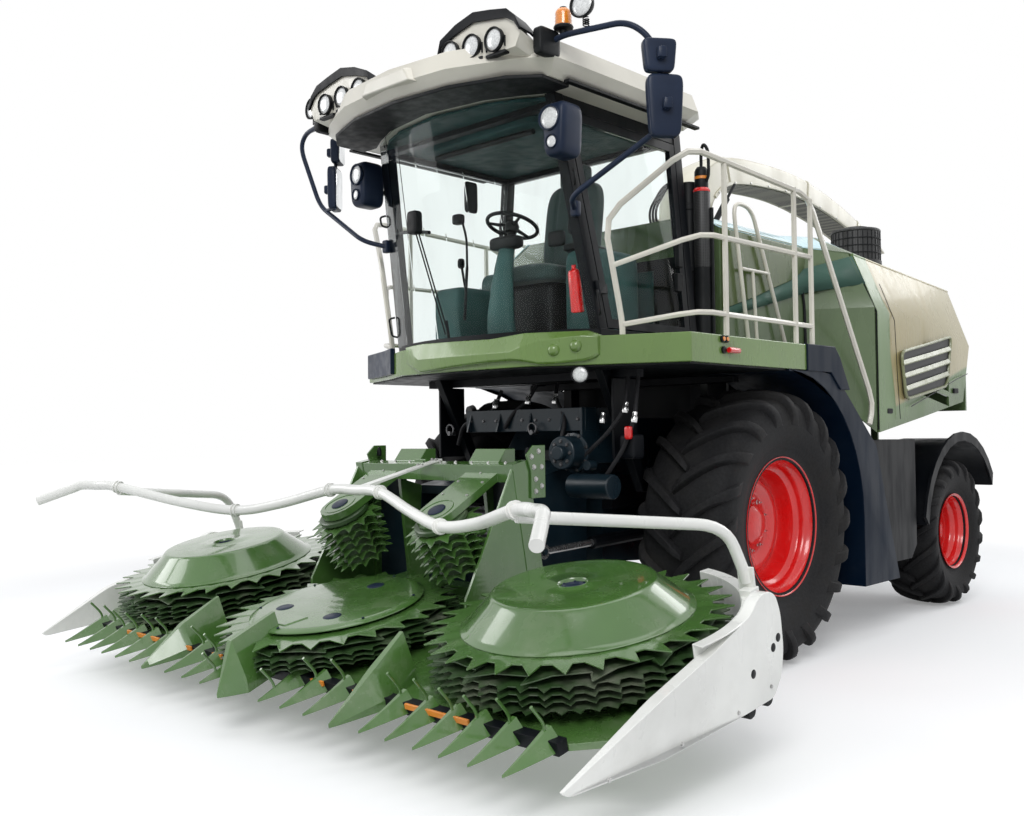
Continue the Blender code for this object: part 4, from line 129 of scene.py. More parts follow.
# The path's straight runs stay; each inner corner becomes a quadratic curve that
# starts and ends "bend" away from it: (1-t)^2 a + 2t(1-t) corner + t^2 b.
def softPath(points, bend=0.05, steps=7):
    p = arr(points)
    if len(p) < 3:
        return p
    before, corner, after = p[:-2], p[1:-1], p[2:]
    inLength = np.linalg.norm(before - corner, axis=1, keepdims=True)
    outLength = np.linalg.norm(after - corner, axis=1, keepdims=True)
    a = corner + (before - corner) * np.minimum(bend / inLength, 0.48)
    b = corner + (after - corner) * np.minimum(bend / outLength, 0.48)
    t = np.linspace(0, 1, steps)[None, :, None]
    curve = (1 - t) ** 2 * a[:, None] + 2 * t * (1 - t) * corner[:, None] + t ** 2 * b[:, None]
    return np.concatenate([p[:1], curve.reshape(-1, p.shape[1]), p[-1:]])


# Catmull-Rom curve through the points: cubic blend of four neighbours, n steps a span.
def smoothPath(points, n=8):
    p = arr(points)
    p = np.concatenate([[2 * p[0] - p[1]], p, [2 * p[-1] - p[-2]]])
    t = np.linspace(0, 1, n, endpoint=False)[None, :, None]
    a, b, c, d = (p[k:len(p) - 3 + k, None] for k in range(4))
    curve = 0.5 * (2 * b + (c - a) * t + (2 * a - 5 * b + 4 * c - d) * t ** 2
        + (3 * b - a - 3 * c + d) * t ** 3)
    return np.concatenate([curve.reshape(-1, p.shape[1]), p[-2:-1]])


# A round section carried along a path. The section's two directions come from the
# path's flattest direction (last singular vector of its tangents), so it never twists.
def tube(path, radius, sides=12):
    p = arr(path)
    along = np.gradient(p, axis=0)
    along /= np.linalg.norm(along, axis=1, keepdims=True)
    flat = np.linalg.svd(along)[2][-1]
    e1 = np.cross(along, flat)
    e1 /= np.linalg.norm(e1, axis=1, keepdims=True)
    e2 = np.cross(along, e1)
    angle = fullTurn(sides)
    ring = e1[:, None] * np.cos(angle)[None, :, None] + e2[:, None] * np.sin(angle)[None, :, None]
    r = np.broadcast_to(arr(radius), (len(p),))[:, None, None]
    body = p[:, None] + ring * r
    ends = np.broadcast_to(p[[0, -1], None], (2, sides, 3))
    points = np.concatenate([ends[:1], body, ends[1:]])
    return points.reshape(-1, 3), gridFaces(len(p) + 2, sides)


# A profile of (radius, height) turned about an axis through base: base + axis h + ring r.
def turned(profile, base=(0, 0, 0), axis=(0, 0, 1), sides=48):
    pr, n = arr(profile), arr(axis) / np.linalg.norm(axis)
    e1 = np.cross(n, (1, 0, 0) if abs(n[0]) < 0.8 else (0, 1, 0))
    e1 /= np.linalg.norm(e1)
    e2 = np.cross(n, e1)
    angle = fullTurn(sides)
    ring = np.cos(angle)[:, None] * e1 + np.sin(angle)[:, None] * e2
    points = arr(base) + pr[:, 1][:, None, None] * n + ring[None] * pr[:, 0][:, None, None]
    return points.reshape(-1, 3), gridFaces(len(pr), sides)


# A plain cylinder: radius, then its low and high end along the axis.
def cylinder(radius, low, high, base=(0, 0, 0), axis=(0, 0, 1), sides=48):
    return turned([(0, low), (radius, low), (radius, high), (0, high)], base, axis, sides)


# A flat outline (u, v) drawn between two depths w, its coordinates put in the order that axes names.
def prism(outline, low, high, axes="xyz"):
    o = arr(outline)
    n = len(o)
    flat = np.concatenate([np.column_stack([o, np.full(n, low)]), np.column_stack([o, np.full(n, high)])])
    order = {"xyz": (0, 1, 2), "xzy": (0, 2, 1), "yzx": (2, 0, 1)}[axes]
    return flat[:, order], slabFaces(n)


# A box between two corners.
def block(low, high):
    (x0, y0, z0), (x1, y1, z1) = low, high
    return prism([(x0, y0), (x1, y0), (x1, y1), (x0, y1)], z0, z1)


# Rings of equal count joined in order, with a flat cap on each end.
def loft(rings):
    r = arr(rings)
    rows, cols = r.shape[:2]
    faces = gridFaces(rows, cols) + [list(range(cols)), list(range((rows - 1) * cols, rows * cols))]
    return r.reshape(-1, 3), faces


# An open sheet through rows of points, given its thickness later by Solidify.
def sheet(rows):
    r = arr(rows)
    return r.reshape(-1, 3), gridFaces(r.shape[0], r.shape[1], closeCols=False)


# Toothed disc: the outline radius runs root, tip, root round each tooth; the ring goes
# hole-low, outline-low, outline-high, hole-high and closes on itself.
def toothedDisc(teeth, tip, root, hole, low, high, lean=0.35, flat=0.25, drop=0.0):
    k = np.arange(teeth)[:, None]
    turn = arr([0.0, lean, lean + 0.03, 1 - flat])[None, :]
    radius = arr([root, tip, tip, root])[None, :] + 0 * k
    angle = (2 * np.pi * (k + turn) / teeth).ravel()
    radius = radius.ravel()
    bend = (radius - root) / (tip - root) * drop
    c, s = np.cos(angle), np.sin(angle)
    rows = [(hole + 0 * radius, low + 0 * angle), (radius, low - bend), (radius, high - bend),
        (hole + 0 * radius, high + 0 * angle)]
    points = np.stack([np.stack([r * c, r * s, z], -1) for r, z in rows])
    return points.reshape(-1, 3), gridFaces(4, len(angle), closeRows=True)


# Hexagon heads: six corners at two heights and a small crown, repeated at each place
# with its own outward direction.
def bolts(places, outward, radius=0.011, height=0.008):
    p = arr(places).reshape(-1, 3)
    n = np.broadcast_to(arr(outward), p.shape)
    n = n / np.linalg.norm(n, axis=1, keepdims=True)
    helper = np.where(np.abs(n[:, :1]) < 0.8, [[1.0, 0, 0]], [[0, 1.0, 0]])
    e1 = np.cross(n, helper)
    e1 /= np.linalg.norm(e1, axis=1, keepdims=True)
    e2 = np.cross(n, e1)
    a = fullTurn(6)
    ring = e1[:, None, None] * np.cos(a)[None, None, :, None] + e2[:, None, None] * np.sin(a)[None, None,
        :, None]
    levels = arr([(0.0, -0.3), (1.3, -0.3), (1.3, 0.15), (1.0, 0.2), (1.0, 0.8), (0.8, 1.0), (0.0, 1.0)])
    points = (p[:, None, None] + ring * (levels[:, 0] * radius)[None, :, None, None] + n[:, None,
        None] * (levels[:, 1] * height)[None, :, None, None])
    one = arr(gridFaces(len(levels), 6)).astype(int)
    faces = (one[None] + (np.arange(len(p)) * 6 * len(levels))[:, None, None]).reshape(-1, 4)
    return points.reshape(-1, 3), faces.tolist()


# Puts an object into the scene.
def intoScene(item):
    bpy.context.scene.collection.objects.link(item)


# Bevels edges sharper than the given angle.
def softEdge(piece, width, degrees, harden):
    edge = piece.modifiers.new("edge", "BEVEL")
    edge.width, edge.segments = width, 2
    edge.limit_method = "ANGLE"
    edge.angle_limit = math.radians(degrees)
    edge.harden_normals = harden


# Corners merged, faces turned outward, smooth shading split at sharp edges.
def finishMesh(piece, sharp=32, bevel=0.0):
    mesh = piece.data
    bm = bmesh.new()
    bm.from_mesh(mesh)
    bmesh.ops.remove_doubles(bm, verts=bm.verts, dist=mergeGap)
    bmesh.ops.recalc_face_normals(bm, faces=bm.faces)
    bm.to_mesh(mesh)
    bm.free()
    mesh.shade_smooth()
    mesh.set_sharp_from_angle(angle=math.radians(sharp))
    if bevel:
        softEdge(piece, bevel, 28, True)
    return piece


# A mesh from a shape, with its material, body and, if given, wall, bevel and replaced nodes; slot is not
# used.
def make(name, shape, material, body="chassis", slot=None, bevel=0.0, sharp=32, wall=0.0, replaced=()):
    points, faces = shape
    mesh = bpy.data.meshes.new(name)
    mesh.from_pydata(points.reshape(-1, 3).tolist(), [], faces)
    piece = bpy.data.objects.new(name, mesh)
    intoScene(piece)
    mesh.materials.append(material)
    if wall:
        finishMesh(piece, sharp)
        thick = piece.modifiers.new("wall", "SOLIDIFY")
        thick.thickness = wall
        thick.offset = 0
        if bevel:
            softEdge(piece, bevel, 50, False)
    else:
        finishMesh(piece, sharp, bevel)
    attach(piece, body)
    if replaced:
        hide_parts(*replaced)
    return piece


# Gives a make() for shapes, or lists of shapes, drawn in the frame that place reads.
def maker(place):
    def put(name, shapes, *rest, **options):
        shape = joined(shapes) if isinstance(shapes, list) else shapes
        return make(name, moved(shape, place), *rest, **options)
    return put


onMachine, onHeader = maker(fromAxle), maker(fromHeader)


# A copy of a CAD node with its corners merged and its edges softly bevelled.
def dressed(node, material, bevel):
    mesh = frame["nodes"][node].data.copy()
    bm = bmesh.new()
    bm.from_mesh(mesh)
    bmesh.ops.remove_doubles(bm, verts=bm.verts, dist=mergeGap)
    bmesh.ops.dissolve_limit(bm, angle_limit=math.radians(0.4), verts=bm.verts, edges=bm.edges)
    bm.to_mesh(mesh)
    bm.free()
    piece = bpy.data.objects.new(node + "_dressed", mesh)
    intoScene(piece)
    mesh.materials.clear()
    mesh.materials.append(material)
    finishMesh(piece, 32, bevel)
    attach(piece, bodyOfNode[node])
    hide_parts(node)
    return piece


# A material with its slot name, its tree and its shader.
def nodeTree(name, slot):
    material = bpy.data.materials.new(name)
    material.use_nodes = True
    material["slot"] = slot
    tree = material.node_tree
    return material, tree, tree.nodes["Principled BSDF"]


# A socket given as the value is linked to the node's input; anything else is stored in it.
def feed(node, key, value):
    if hasattr(value, "links"):
        node.id_data.links.new(value, node.inputs[key])
    else:
        node.inputs[key].default_value = value


# A node whose settings are attributes and whose other values are inputs.
def addNode(tree, kind, **values):
    node = tree.nodes.new(kind)
    for key, value in values.items():
        if key in ("operation", "data_type", "blend_type", "interpolation_type", "feature", "wave_type",
                "bands_direction", "label"):
            setattr(node, key, value)
        else:
            feed(node, key.replace("_", " "), value)
    return node


# Noise on object coordinates, stretched by a mapping scale.
def noise(tree, scale, detail=3.0, stretch=(1, 1, 1), roughness=0.5):
    coords = tree.nodes.get("coords") or tree.nodes.new("ShaderNodeTexCoord")
    coords.name = "coords"
    mapping = tree.nodes.new("ShaderNodeMapping")
    feed(mapping, "Scale", stretch)
    texture = addNode(tree, "ShaderNodeTexNoise", Scale=scale, Detail=detail, Roughness=roughness)
    feed(mapping, "Vector", coords.outputs["Object"])
    feed(texture, "Vector", mapping.outputs["Vector"])
    return texture.outputs["Fac"]


# Smooth step of the source between low and high, from outLow to outHigh.
def ramp(tree, source, low, high, outLow=0.0, outHigh=1.0):
    node = addNode(tree, "ShaderNodeMapRange")
    node.interpolation_type = "SMOOTHSTEP"
    for socket, value in zip(("From Min", "From Max", "To Min", "To Max"), (low, high, outLow, outHigh)):
        feed(node, socket, value)
    feed(node, "Value", source)
    return node.outputs["Result"]


# a (operation) b.
def combine(tree, operation, a, b):
    node = addNode(tree, "ShaderNodeMath", operation=operation)
    feed(node, 0, a)
    feed(node, 1, b)
    return node.outputs[0]


# a + factor (b - a) for colours.
def mixColour(tree, factor, a, b):
    node = tree.nodes.new("ShaderNodeMix")
    node.data_type = "RGBA"
    feed(node, 0, factor)
    for key, value in ((6, a), (7, b)):
        feed(node, key, value if hasattr(value, "links") else (*value, 1.0))
    return node.outputs[2]


# One of the object's own coordinates, z if nothing is said.
def height(tree, axis="Z"):
    coords = tree.nodes.get("coords") or tree.nodes.new("ShaderNodeTexCoord")
    coords.name = "coords"
    split = tree.nodes.new("ShaderNodeSeparateXYZ")
    feed(split, 0, coords.outputs["Object"])
    return split.outputs[axis]


# The source as a height that bends the shading normal.
def bump(tree, shader, source, strength=0.1, distance=0.002):
    node = addNode(tree, "ShaderNodeBump", Strength=strength, Distance=distance)
    feed(node, "Height", source)
    feed(shader, "Normal", node.outputs["Normal"])
    return node


# Sprayed paint: colour drifts a little with broad noise, dust gathers low down and in
# patches, roughness follows the dust, and fine noise gives the sprayed ripple.
def paint(name, slot, colour, rough=0.28, coat=0.5, dust=0.22, gloss=0.5):
    material, tree, shader = nodeTree(name, slot)
    broad = noise(tree, 1.7, 4)
    shade = mixColour(tree, ramp(tree, broad, 0.3, 0.7), [c * 0.9 for c in colour],
        [min(1, c * 1.08) for c in colour])
    low = ramp(tree, height(tree), 0.15, 1.7, 1.0, 0.18)
    patch = ramp(tree, noise(tree, 5.0, 8, roughness=0.62), 0.45, 0.8)
    mask = combine(tree, "MULTIPLY", combine(tree, "MULTIPLY", low, patch), dust)
    feed(shader, "Base Color", mixColour(tree, mask, shade, (0.36, 0.34, 0.29)))
    streak = ramp(tree, noise(tree, 9.0, 5, (1, 1, 0.22)), 0.35, 0.75, rough * 0.85, rough * 1.35)
    feed(shader, "Roughness", combine(tree, "ADD", streak, combine(tree, "MULTIPLY", mask, 0.8)))
    feed(shader, "Specular IOR Level", gloss)
    feed(shader, "Coat Weight", coat)
    feed(shader, "Coat Roughness", 0.06)
    bump(tree, shader, noise(tree, 140.0, 2), 0.06, 0.001)
    return material


# Rubber: dark grey with dusty patches from broad noise and a fine grain in the bump.
def rubber(name, slot, colour=(0.013, 0.013, 0.014), dust=0.3, rough=0.72):
    material, tree, shader = nodeTree(name, slot)
    patch = ramp(tree, noise(tree, 3.2, 9, roughness=0.65), 0.42, 0.78)
    grain = noise(tree, 60.0, 4)
    base = mixColour(tree, ramp(tree, grain, 0.3, 0.7), [c * 0.8 for c in colour], [c * 1.25 for c in colour])
    mask = combine(tree, "MULTIPLY", patch, dust)
    feed(shader, "Base Color", mixColour(tree, mask, base, (0.06, 0.056, 0.05)))
    feed(shader, "Roughness", ramp(tree, patch, 0, 1, rough * 0.9, min(1.0, rough * 1.2)))
    feed(shader, "Specular IOR Level", 0.14)
    bump(tree, shader, noise(tree, 220.0, 3), 0.25, 0.0015)
    return material


# Bare or plated metal: brushed streaks along one axis in roughness, soft stains in colour.
def metal(name, slot, colour=(0.52, 0.52, 0.51), rough=0.34):
    stretch = (1, 12, 1)
    material, tree, shader = nodeTree(name, slot)
    stain = ramp(tree, noise(tree, 6.0, 6), 0.35, 0.75)
    feed(shader, "Base Color", mixColour(tree, stain, colour, [c * 0.72 for c in colour]))
    feed(shader, "Roughness", ramp(tree, noise(tree, 40.0, 3, stretch), 0.3, 0.7, rough * 0.75, rough * 1.3))
    feed(shader, "Metallic", 0.92)
    bump(tree, shader, noise(tree, 90.0, 3, stretch), 0.08, 0.001)
    return material


# Moulded plastic: matt, with a fine stipple and faint dust.
def plastic(name, slot, colour=(0.007, 0.008, 0.009), rough=0.48):
    material, tree, shader = nodeTree(name, slot)
    soft = ramp(tree, noise(tree, 4.0, 6), 0.35, 0.75)
    feed(shader, "Base Color", mixColour(tree, soft, colour, [c * 1.35 + 0.002 for c in colour]))
    feed(shader, "Specular IOR Level", 0.18)
    feed(shader, "Roughness", ramp(tree, noise(tree, 14.0, 4), 0.3, 0.7, rough * 0.85, rough * 1.2))
    bump(tree, shader, noise(tree, 320.0, 2), 0.18, 0.0006)
    return material


# Perforated sheet: a hexagon-like field of dots from two crossed waves darkens the
# colour between thin bars and lowers them in the bump. The dark gap colour is painted
# shade seen through the holes.
def mesh(name, slot, bars, gaps, scale=95.0):
    material, tree, shader = nodeTree(name, slot)
    coords = tree.nodes.new("ShaderNodeTexCoord")
    waves = []
    for direction in ("Y", "Z"):
        wave = addNode(tree, "ShaderNodeTexWave", wave_type="BANDS", bands_direction=direction,
            Scale=scale / 3.14)
        feed(wave, "Vector", coords.outputs["Object"])
        waves.append(wave.outputs["Fac"])
    holes = ramp(tree, combine(tree, "MULTIPLY", *waves), 0.16, 0.34)
    feed(shader, "Base Color", mixColour(tree, holes, bars, gaps))
    feed(shader, "Roughness", 0.5)
    bump(tree, shader, holes, -0.5, 0.002)
    return material


# Tinted glass: light passes with a green cast; faint dust streaks only roughen it.
def glass(name, slot, colour):
    material, tree, shader = nodeTree(name, slot)
    streak = ramp(tree, noise(tree, 5.0, 6, (1, 1, 0.25)), 0.5, 0.85)
    feed(shader, "Base Color", mixColour(tree, streak, colour, [c * 0.93 for c in colour]))
    feed(shader, "Roughness", ramp(tree, streak, 0, 1, 0.0, 0.05))
    feed(shader, "Transmission Weight", 1.0)
    feed(shader, "IOR", 1.12)
    return material


# Woven seat cloth: two crossed wave patterns make the threads, noise breaks them up.
def cloth(name, slot, colour):
    material, tree, shader = nodeTree(name, slot)
    coords = tree.nodes.new("ShaderNodeTexCoord")
    threads = []
    for direction in ("X", "Z"):
        wave = addNode(tree, "ShaderNodeTexWave", wave_type="BANDS", bands_direction=direction, Scale=160.0,
            Distortion=0.6)
        feed(wave, "Vector", coords.outputs["Object"])
        threads.append(wave.outputs["Fac"])
    weave = combine(tree, "MULTIPLY", *threads)
    soft = ramp(tree, noise(tree, 11.0, 5), 0.3, 0.75)
    shade = mixColour(tree, soft, [c * 0.75 for c in colour], [c * 1.3 for c in colour])
    feed(shader, "Base Color", mixColour(tree, ramp(tree, weave, 0, 0.6), [c * 0.6 for c in colour], shade))
    feed(shader, "Roughness", 0.85)
    feed(shader, "Sheen Weight", 0.25)
    bump(tree, shader, weave, 0.3, 0.001)
    return material


# A lens or lamp face: clear or coloured, with a fine square prism pattern in the bump.
def lens(name, slot, colour, rough=0.12):
    material, tree, shader = nodeTree(name, slot)
    fine = noise(tree, 90.0, 1)
    feed(shader, "Base Color", mixColour(tree, ramp(tree, fine, 0.35, 0.65), [c * 0.8 for c in colour],
        colour))
    feed(shader, "Roughness", rough)
    feed(shader, "Coat Weight", 1.0)
    bump(tree, shader, fine, 0.35, 0.003)
    return material


# The door's crease and its rising line; below the rising line the green is painted reflection.
doorSplit = {"origin": 0.5646, "waist": 2.105, "creaseY": 1.575, "creaseLean": 0.21, "lineRise": 0.225,
    "lineFoot": 1.322}


# Door paint: gold cream behind the crease and above a rising line, green elsewhere. The green
# ahead of the crease is the body's own paint; the green below the rising line is painted
# reflection, lighter just under the line. The crease stands at a fixed y and runs back below
# the waist; both edges are short steps.
def fadePaint(name, slot, low, high, rear):
    material, tree, shader = nodeTree(name, slot)
    back, up = combine(tree, "ADD", height(tree, "Y"), doorSplit["origin"]), height(tree, "Z")
    below = combine(tree, "MAXIMUM", combine(tree, "SUBTRACT", doorSplit["waist"], up), 0.0)
    lean = combine(tree, "MULTIPLY", below, doorSplit["creaseLean"])
    crease = combine(tree, "SUBTRACT", combine(tree, "SUBTRACT", back, doorSplit["creaseY"]), lean)
    # The rising line below which the door carries painted green reflection.
    rise = combine(tree, "MULTIPLY", back, doorSplit["lineRise"])
    line = combine(tree, "SUBTRACT", up, combine(tree, "ADD", rise, doorSplit["lineFoot"]))
    share = combine(tree, "MULTIPLY", ramp(tree, crease, -0.012, 0.012), ramp(tree, line, -0.015, 0.02))
    broad = ramp(tree, noise(tree, 1.7, 4), 0.3, 0.7)
    cream = mixColour(tree, ramp(tree, back, 1.6, 3.4), high, rear)
    # Green below the line is painted reflection, lighter just under the line.
    shade = mixColour(tree, share, mixColour(tree, ramp(tree, line, -0.22, -0.02), low,
        [c * 1.5 for c in low]), cream)
    shade = mixColour(tree, combine(tree, "MULTIPLY", broad, 0.1), shade, [c * 0.7 for c in low])
    feed(shader, "Base Color", shade)
    feed(shader, "Roughness", ramp(tree, noise(tree, 9.0, 5, (1, 1, 0.22)), 0.35, 0.75, 0.26, 0.4))
    feed(shader, "Specular IOR Level", 0.35)
    feed(shader, "Coat Weight", 0.15)
    feed(shader, "Coat Roughness", 0.08)
    bump(tree, shader, noise(tree, 140.0, 2), 0.05, 0.001)
    return material


greenPaint = paint("green_paint", "green", (0.07, 0.165, 0.036), rough=0.22, coat=0.8)
# A darker copy of the green paint, with more dust: painted shade for the discs, knives and cores under the
# hoods.
shadedDustyGreen = paint("inner_green_paint", "green", (0.03, 0.07, 0.02), rough=0.42, coat=0.2, dust=0.45)
fasciaPaint = paint("fascia_paint", "green", (0.13, 0.225, 0.048), dust=0.1)
bodyGreen = paint("body_green_paint", "green", (0.1, 0.152, 0.066), coat=0.25, dust=0.1)
oliveGreen = paint("front_panel_paint", "green", (0.072, 0.112, 0.024), dust=0.1)
creamPaint = paint("cream_paint", "cream", (0.72, 0.69, 0.6), rough=0.34, coat=0.35, dust=0.15)
whitePaint = paint("white_paint", "white", (0.84, 0.84, 0.8), rough=0.3, coat=0.4, dust=0.18)
navyPaint = paint("navy_paint", "navy", (0.002, 0.008, 0.02), rough=0.4, coat=0.0, dust=0.02, gloss=0.14)
housingPaint = paint("housing_paint", "navy", (0.007, 0.017, 0.025), rough=0.32, coat=0.0, dust=0.05,
    gloss=0.32)
blackPaint = paint("black_paint", "black", (0.004, 0.005, 0.007), rough=0.42, coat=0.0, dust=0.01, gloss=0.14)
redPaint = paint("red_paint", "red", (0.72, 0.008, 0.008), rough=0.26, coat=0.6, dust=0.05)
orangePaint = paint("orange_paint", "red", (0.75, 0.24, 0.02), rough=0.4, dust=0.2)
tyreRubber = rubber("tyre_rubber", "rubber")
hoseRubber = rubber("hose_rubber", "rubber", (0.016, 0.016, 0.018), 0.12, 0.55)
blackPlastic = plastic("black_plastic", "black")
bluePlastic = plastic("dark_cap_plastic", "navy", (0.012, 0.02, 0.042), 0.35)
darkTrim = plastic("dark_trim", "seat", (0.012, 0.04, 0.04), 0.55)
tealPlastic = plastic("console_plastic", "seat", (0.03, 0.075, 0.072), 0.5)
plainSteel = metal("plain_steel", "steel")
brightSteel = metal("bright_steel", "steel", (0.7, 0.7, 0.7), 0.22)
darkSteel = metal("dark_steel", "steel", (0.11, 0.11, 0.115), 0.45)
mirrorFace = metal("mirror_face", "steel", (0.85, 0.87, 0.88), 0.05)
cabGlass = glass("cab_glass", "glass", (0.93, 0.97, 0.96))
clearLens = lens("lamp_lens", "glass", (0.86, 0.87, 0.86), 0.1)
amberLens = lens("amber_lens", "red", (0.95, 0.3, 0.03), 0.15)
redLens = lens("red_lens", "red", (0.6, 0.02, 0.02), 0.15)
seatCloth = cloth("seat_cloth", "seat", (0.04, 0.075, 0.072))
# Door paint whose green below the rising line is painted reflection.
doorPaint = fadePaint("door_paint", "olive", (0.11, 0.17, 0.072), (0.41, 0.34, 0.16), (0.54, 0.48, 0.3))
stripePaint = paint("stripe_paint", "white", (0.62, 0.86, 0.92), dust=0.05)
recessPaint = paint("recess_paint", "green", (0.06, 0.13, 0.1), rough=0.45, coat=0.0, dust=0.1, gloss=0.2)
slatPaint = paint("slat_paint", "olive", (0.23, 0.25, 0.13), coat=0.1, dust=0.1)
spoutPaint = paint("spout_paint", "cream", (0.62, 0.59, 0.47), rough=0.38, coat=0.3, dust=0.2)
ventMesh = mesh("vent_mesh", "black", (0.035, 0.036, 0.038), (0.004, 0.004, 0.004))
# Dark cream for the cream spout's underside: painted shade, with a perforated pattern.
shadedCreamMesh = mesh("under_mesh", "cream", (0.2, 0.19, 0.15), (0.012, 0.012, 0.01), 70.0)
print("materials ready")


view = {"turn": (43.66, -1.45, -0.7), "place": (4.708, -6.044, 1.521), "focalPixels": 1025.4,
    "imageWidth": 1024, "sensor": 36}


# Camera looking along yaw, pitch and roll: ahead, right and up are turned in that order.
def placeCamera():
    yaw, pitch, roll = (math.radians(a) for a in view["turn"])
    ahead = np.array([-math.sin(yaw) * math.cos(pitch), math.cos(yaw) * math.cos(pitch), -math.sin(pitch)])
    right = np.array([math.cos(yaw), math.sin(yaw), 0.0])
    up = np.cross(right, ahead)
    rightTurned = right * math.cos(roll) + up * math.sin(roll)
    upTurned = -right * math.sin(roll) + up * math.cos(roll)
    data = bpy.data.cameras.new("camera")
    data.sensor_width = view["sensor"]
    data.lens = view["focalPixels"] * view["sensor"] / view["imageWidth"]
    camera = bpy.data.objects.new("camera", data)
    turn = Matrix(np.column_stack([rightTurned, upTurned, -ahead]).tolist()).to_4x4()
    camera.matrix_world = Matrix.Translation(fromAxle(view["place"]).tolist()) @ turn
    intoScene(camera)
    bpy.context.scene.camera = camera


# An area light at place, turned towards aim.
def softBox(name, place, aim, size, power):
    data = bpy.data.lights.new(name, "AREA")
    data.shape = "RECTANGLE"
    data.size, data.size_y = size
    data.energy = power
    lamp = bpy.data.objects.new(name, data)
    ahead = arr(aim) - arr(place)
    lamp.matrix_world = Matrix.Translation(place) @ Vector(ahead).to_track_quat("-Z",
        "Y").to_matrix().to_4x4()
    intoScene(lamp)


# One where the camera, a mirror-like surface or glass looks, zero for plain lighting.
def whenSeen(tree):
    path = tree.nodes.new("ShaderNodeLightPath")
    seen = combine(tree, "MAXIMUM", path.outputs["Is Camera Ray"], path.outputs["Is Glossy Ray"])
    return combine(tree, "MAXIMUM", seen, path.outputs["Is Transmission Ray"])


# name: place, aim, size, power
softBoxes = {
    "key_light": ((6.5, -9.5, 8.5), (0.3, -0.8, 1.0), (5.0, 5.0), 640),
    "fill_light": ((-7.5, -7.0, 5.0), (0.0, 0.0, 1.2), (5.0, 4.0), 240),
    "back_light": ((4.0, 9.0, 7.0), (0.0, 1.0, 1.5), (6.0, 4.0), 260),
    "top_light": ((0.0, 0.0, 9.5), (0.0, 0.0, 0.0), (7.0, 9.0), 250),
}
floorSettings = {"half": 60.0, "z": -0.0005, "fadeFrom": 4.5, "fadeTo": 11.0}


# The floor is pale near the machine and fades with the square root of x^2 + y^2.
def lightAndFloor():
    world = bpy.data.worlds.new("studio")
    bpy.context.scene.world = world
    world.use_nodes = True
    tree = world.node_tree
    background = tree.nodes["Background"]
    looks = whenSeen(tree)
    feed(background, "Color", mixColour(tree, looks, (0.46, 0.48, 0.51), (1.0, 1.0, 1.0)))
    feed(background, "Strength", 1.0)
    for name, settings in softBoxes.items():
        softBox(name, *settings)

    floorMaterial, tree, shader = nodeTree("floor", "black")
    cloud = ramp(tree, noise(tree, 0.4, 3), 0.3, 0.7)
    squares = [combine(tree, "MULTIPLY", height(tree, axis), height(tree, axis)) for axis in ("X", "Y")]
    away = combine(tree, "SQRT", combine(tree, "ADD", *squares), 0.0)
    far = ramp(tree, away, floorSettings["fadeFrom"], floorSettings["fadeTo"])
    pale = mixColour(tree, cloud, (0.82, 0.82, 0.82), (0.86, 0.86, 0.86))
    feed(shader, "Base Color", mixColour(tree, far, pale, (0.0, 0.0, 0.0)))
    feed(shader, "Emission Color", (1.0, 1.0, 1.0, 1.0))
    glow = combine(tree, "MULTIPLY", whenSeen(tree), ramp(tree, far, 0.0, 1.0, 0.22, 1.0))
    feed(shader, "Emission Strength", glow)
    feed(shader, "Roughness", 0.9)
    feed(shader, "Specular IOR Level", 0.1)
    size = floorSettings["half"]
    corners = [(a * size, b * size, floorSettings["z"]) for a, b in ((-1, -1), (1, -1), (1, 1), (-1, 1))]
    mesh = bpy.data.meshes.new("floor")
    mesh.from_pydata(corners, [], [(0, 1, 2, 3)])
    floor = bpy.data.objects.new("floor", mesh)
    mesh.materials.append(floorMaterial)
    intoScene(floor)


placeCamera()
lightAndFloor()
bpy.context.scene.view_settings.view_transform = "Standard"
print("camera and light ready")


wheels = {
    "front": {"track": 2.23, "y": 0.0, "radius": 0.9, "width": 0.62, "bead": 0.44, "rimWidth": 0.5,
        "lugs": 20,
              "lugHeight": 0.05, "nuts": 10, "nutRing": 0.175, "hub": 0.13, "dish": 0.5},
    "rear": {"track": 2.24, "y": 3.05, "radius": 0.635, "width": 0.46, "bead": 0.31, "rimWidth": 0.4,
        "lugs": 18,
             "lugHeight": 0.038, "nuts": 8, "nutRing": 0.125, "hub": 0.09, "dish": 0.48},
}
sectionShares = [(0.0, 1.0), (0.35, 0.996), (0.66, 0.965), (0.86, 0.9), (0.965, 0.79), (1.0, 0.63),
    (0.985, 0.46), (0.92, 0.28), (0.83, 0.13), (0.79, 0.0)]


# Carcass: the half section (across share, side share) curved by Catmull-Rom, mirrored and
# turned about x. Shallow rings are added as ripples on the side wall.
def tyreCarcass(w):
    carcass = w["radius"] - w["lugHeight"]
    half = smoothPath(sectionShares, 6)
    share, side = half[:, 0], half[:, 1]
    bead = w["bead"] + 0.012
    r = bead + (carcass - bead) * side
    x = share * w["width"] / 2
    ripple = 0.0025 * np.exp(-((side - 0.7) / 0.012) ** 2) + 0.003 * np.exp(-((side - 0.16) / 0.02) ** 2)
    x = x + ripple
    profile = np.column_stack([np.concatenate([r[::-1], r[1:]]), np.concatenate([-x[::-1], x[1:]])])
    profile = np.concatenate([[(w["bead"] - 0.01, -x[-1])], profile, [(w["bead"] - 0.01, x[-1])],
        [(w["bead"] - 0.01, -x[-1])]])
    return turned(profile, axis=(1, 0, 0), sides=96)


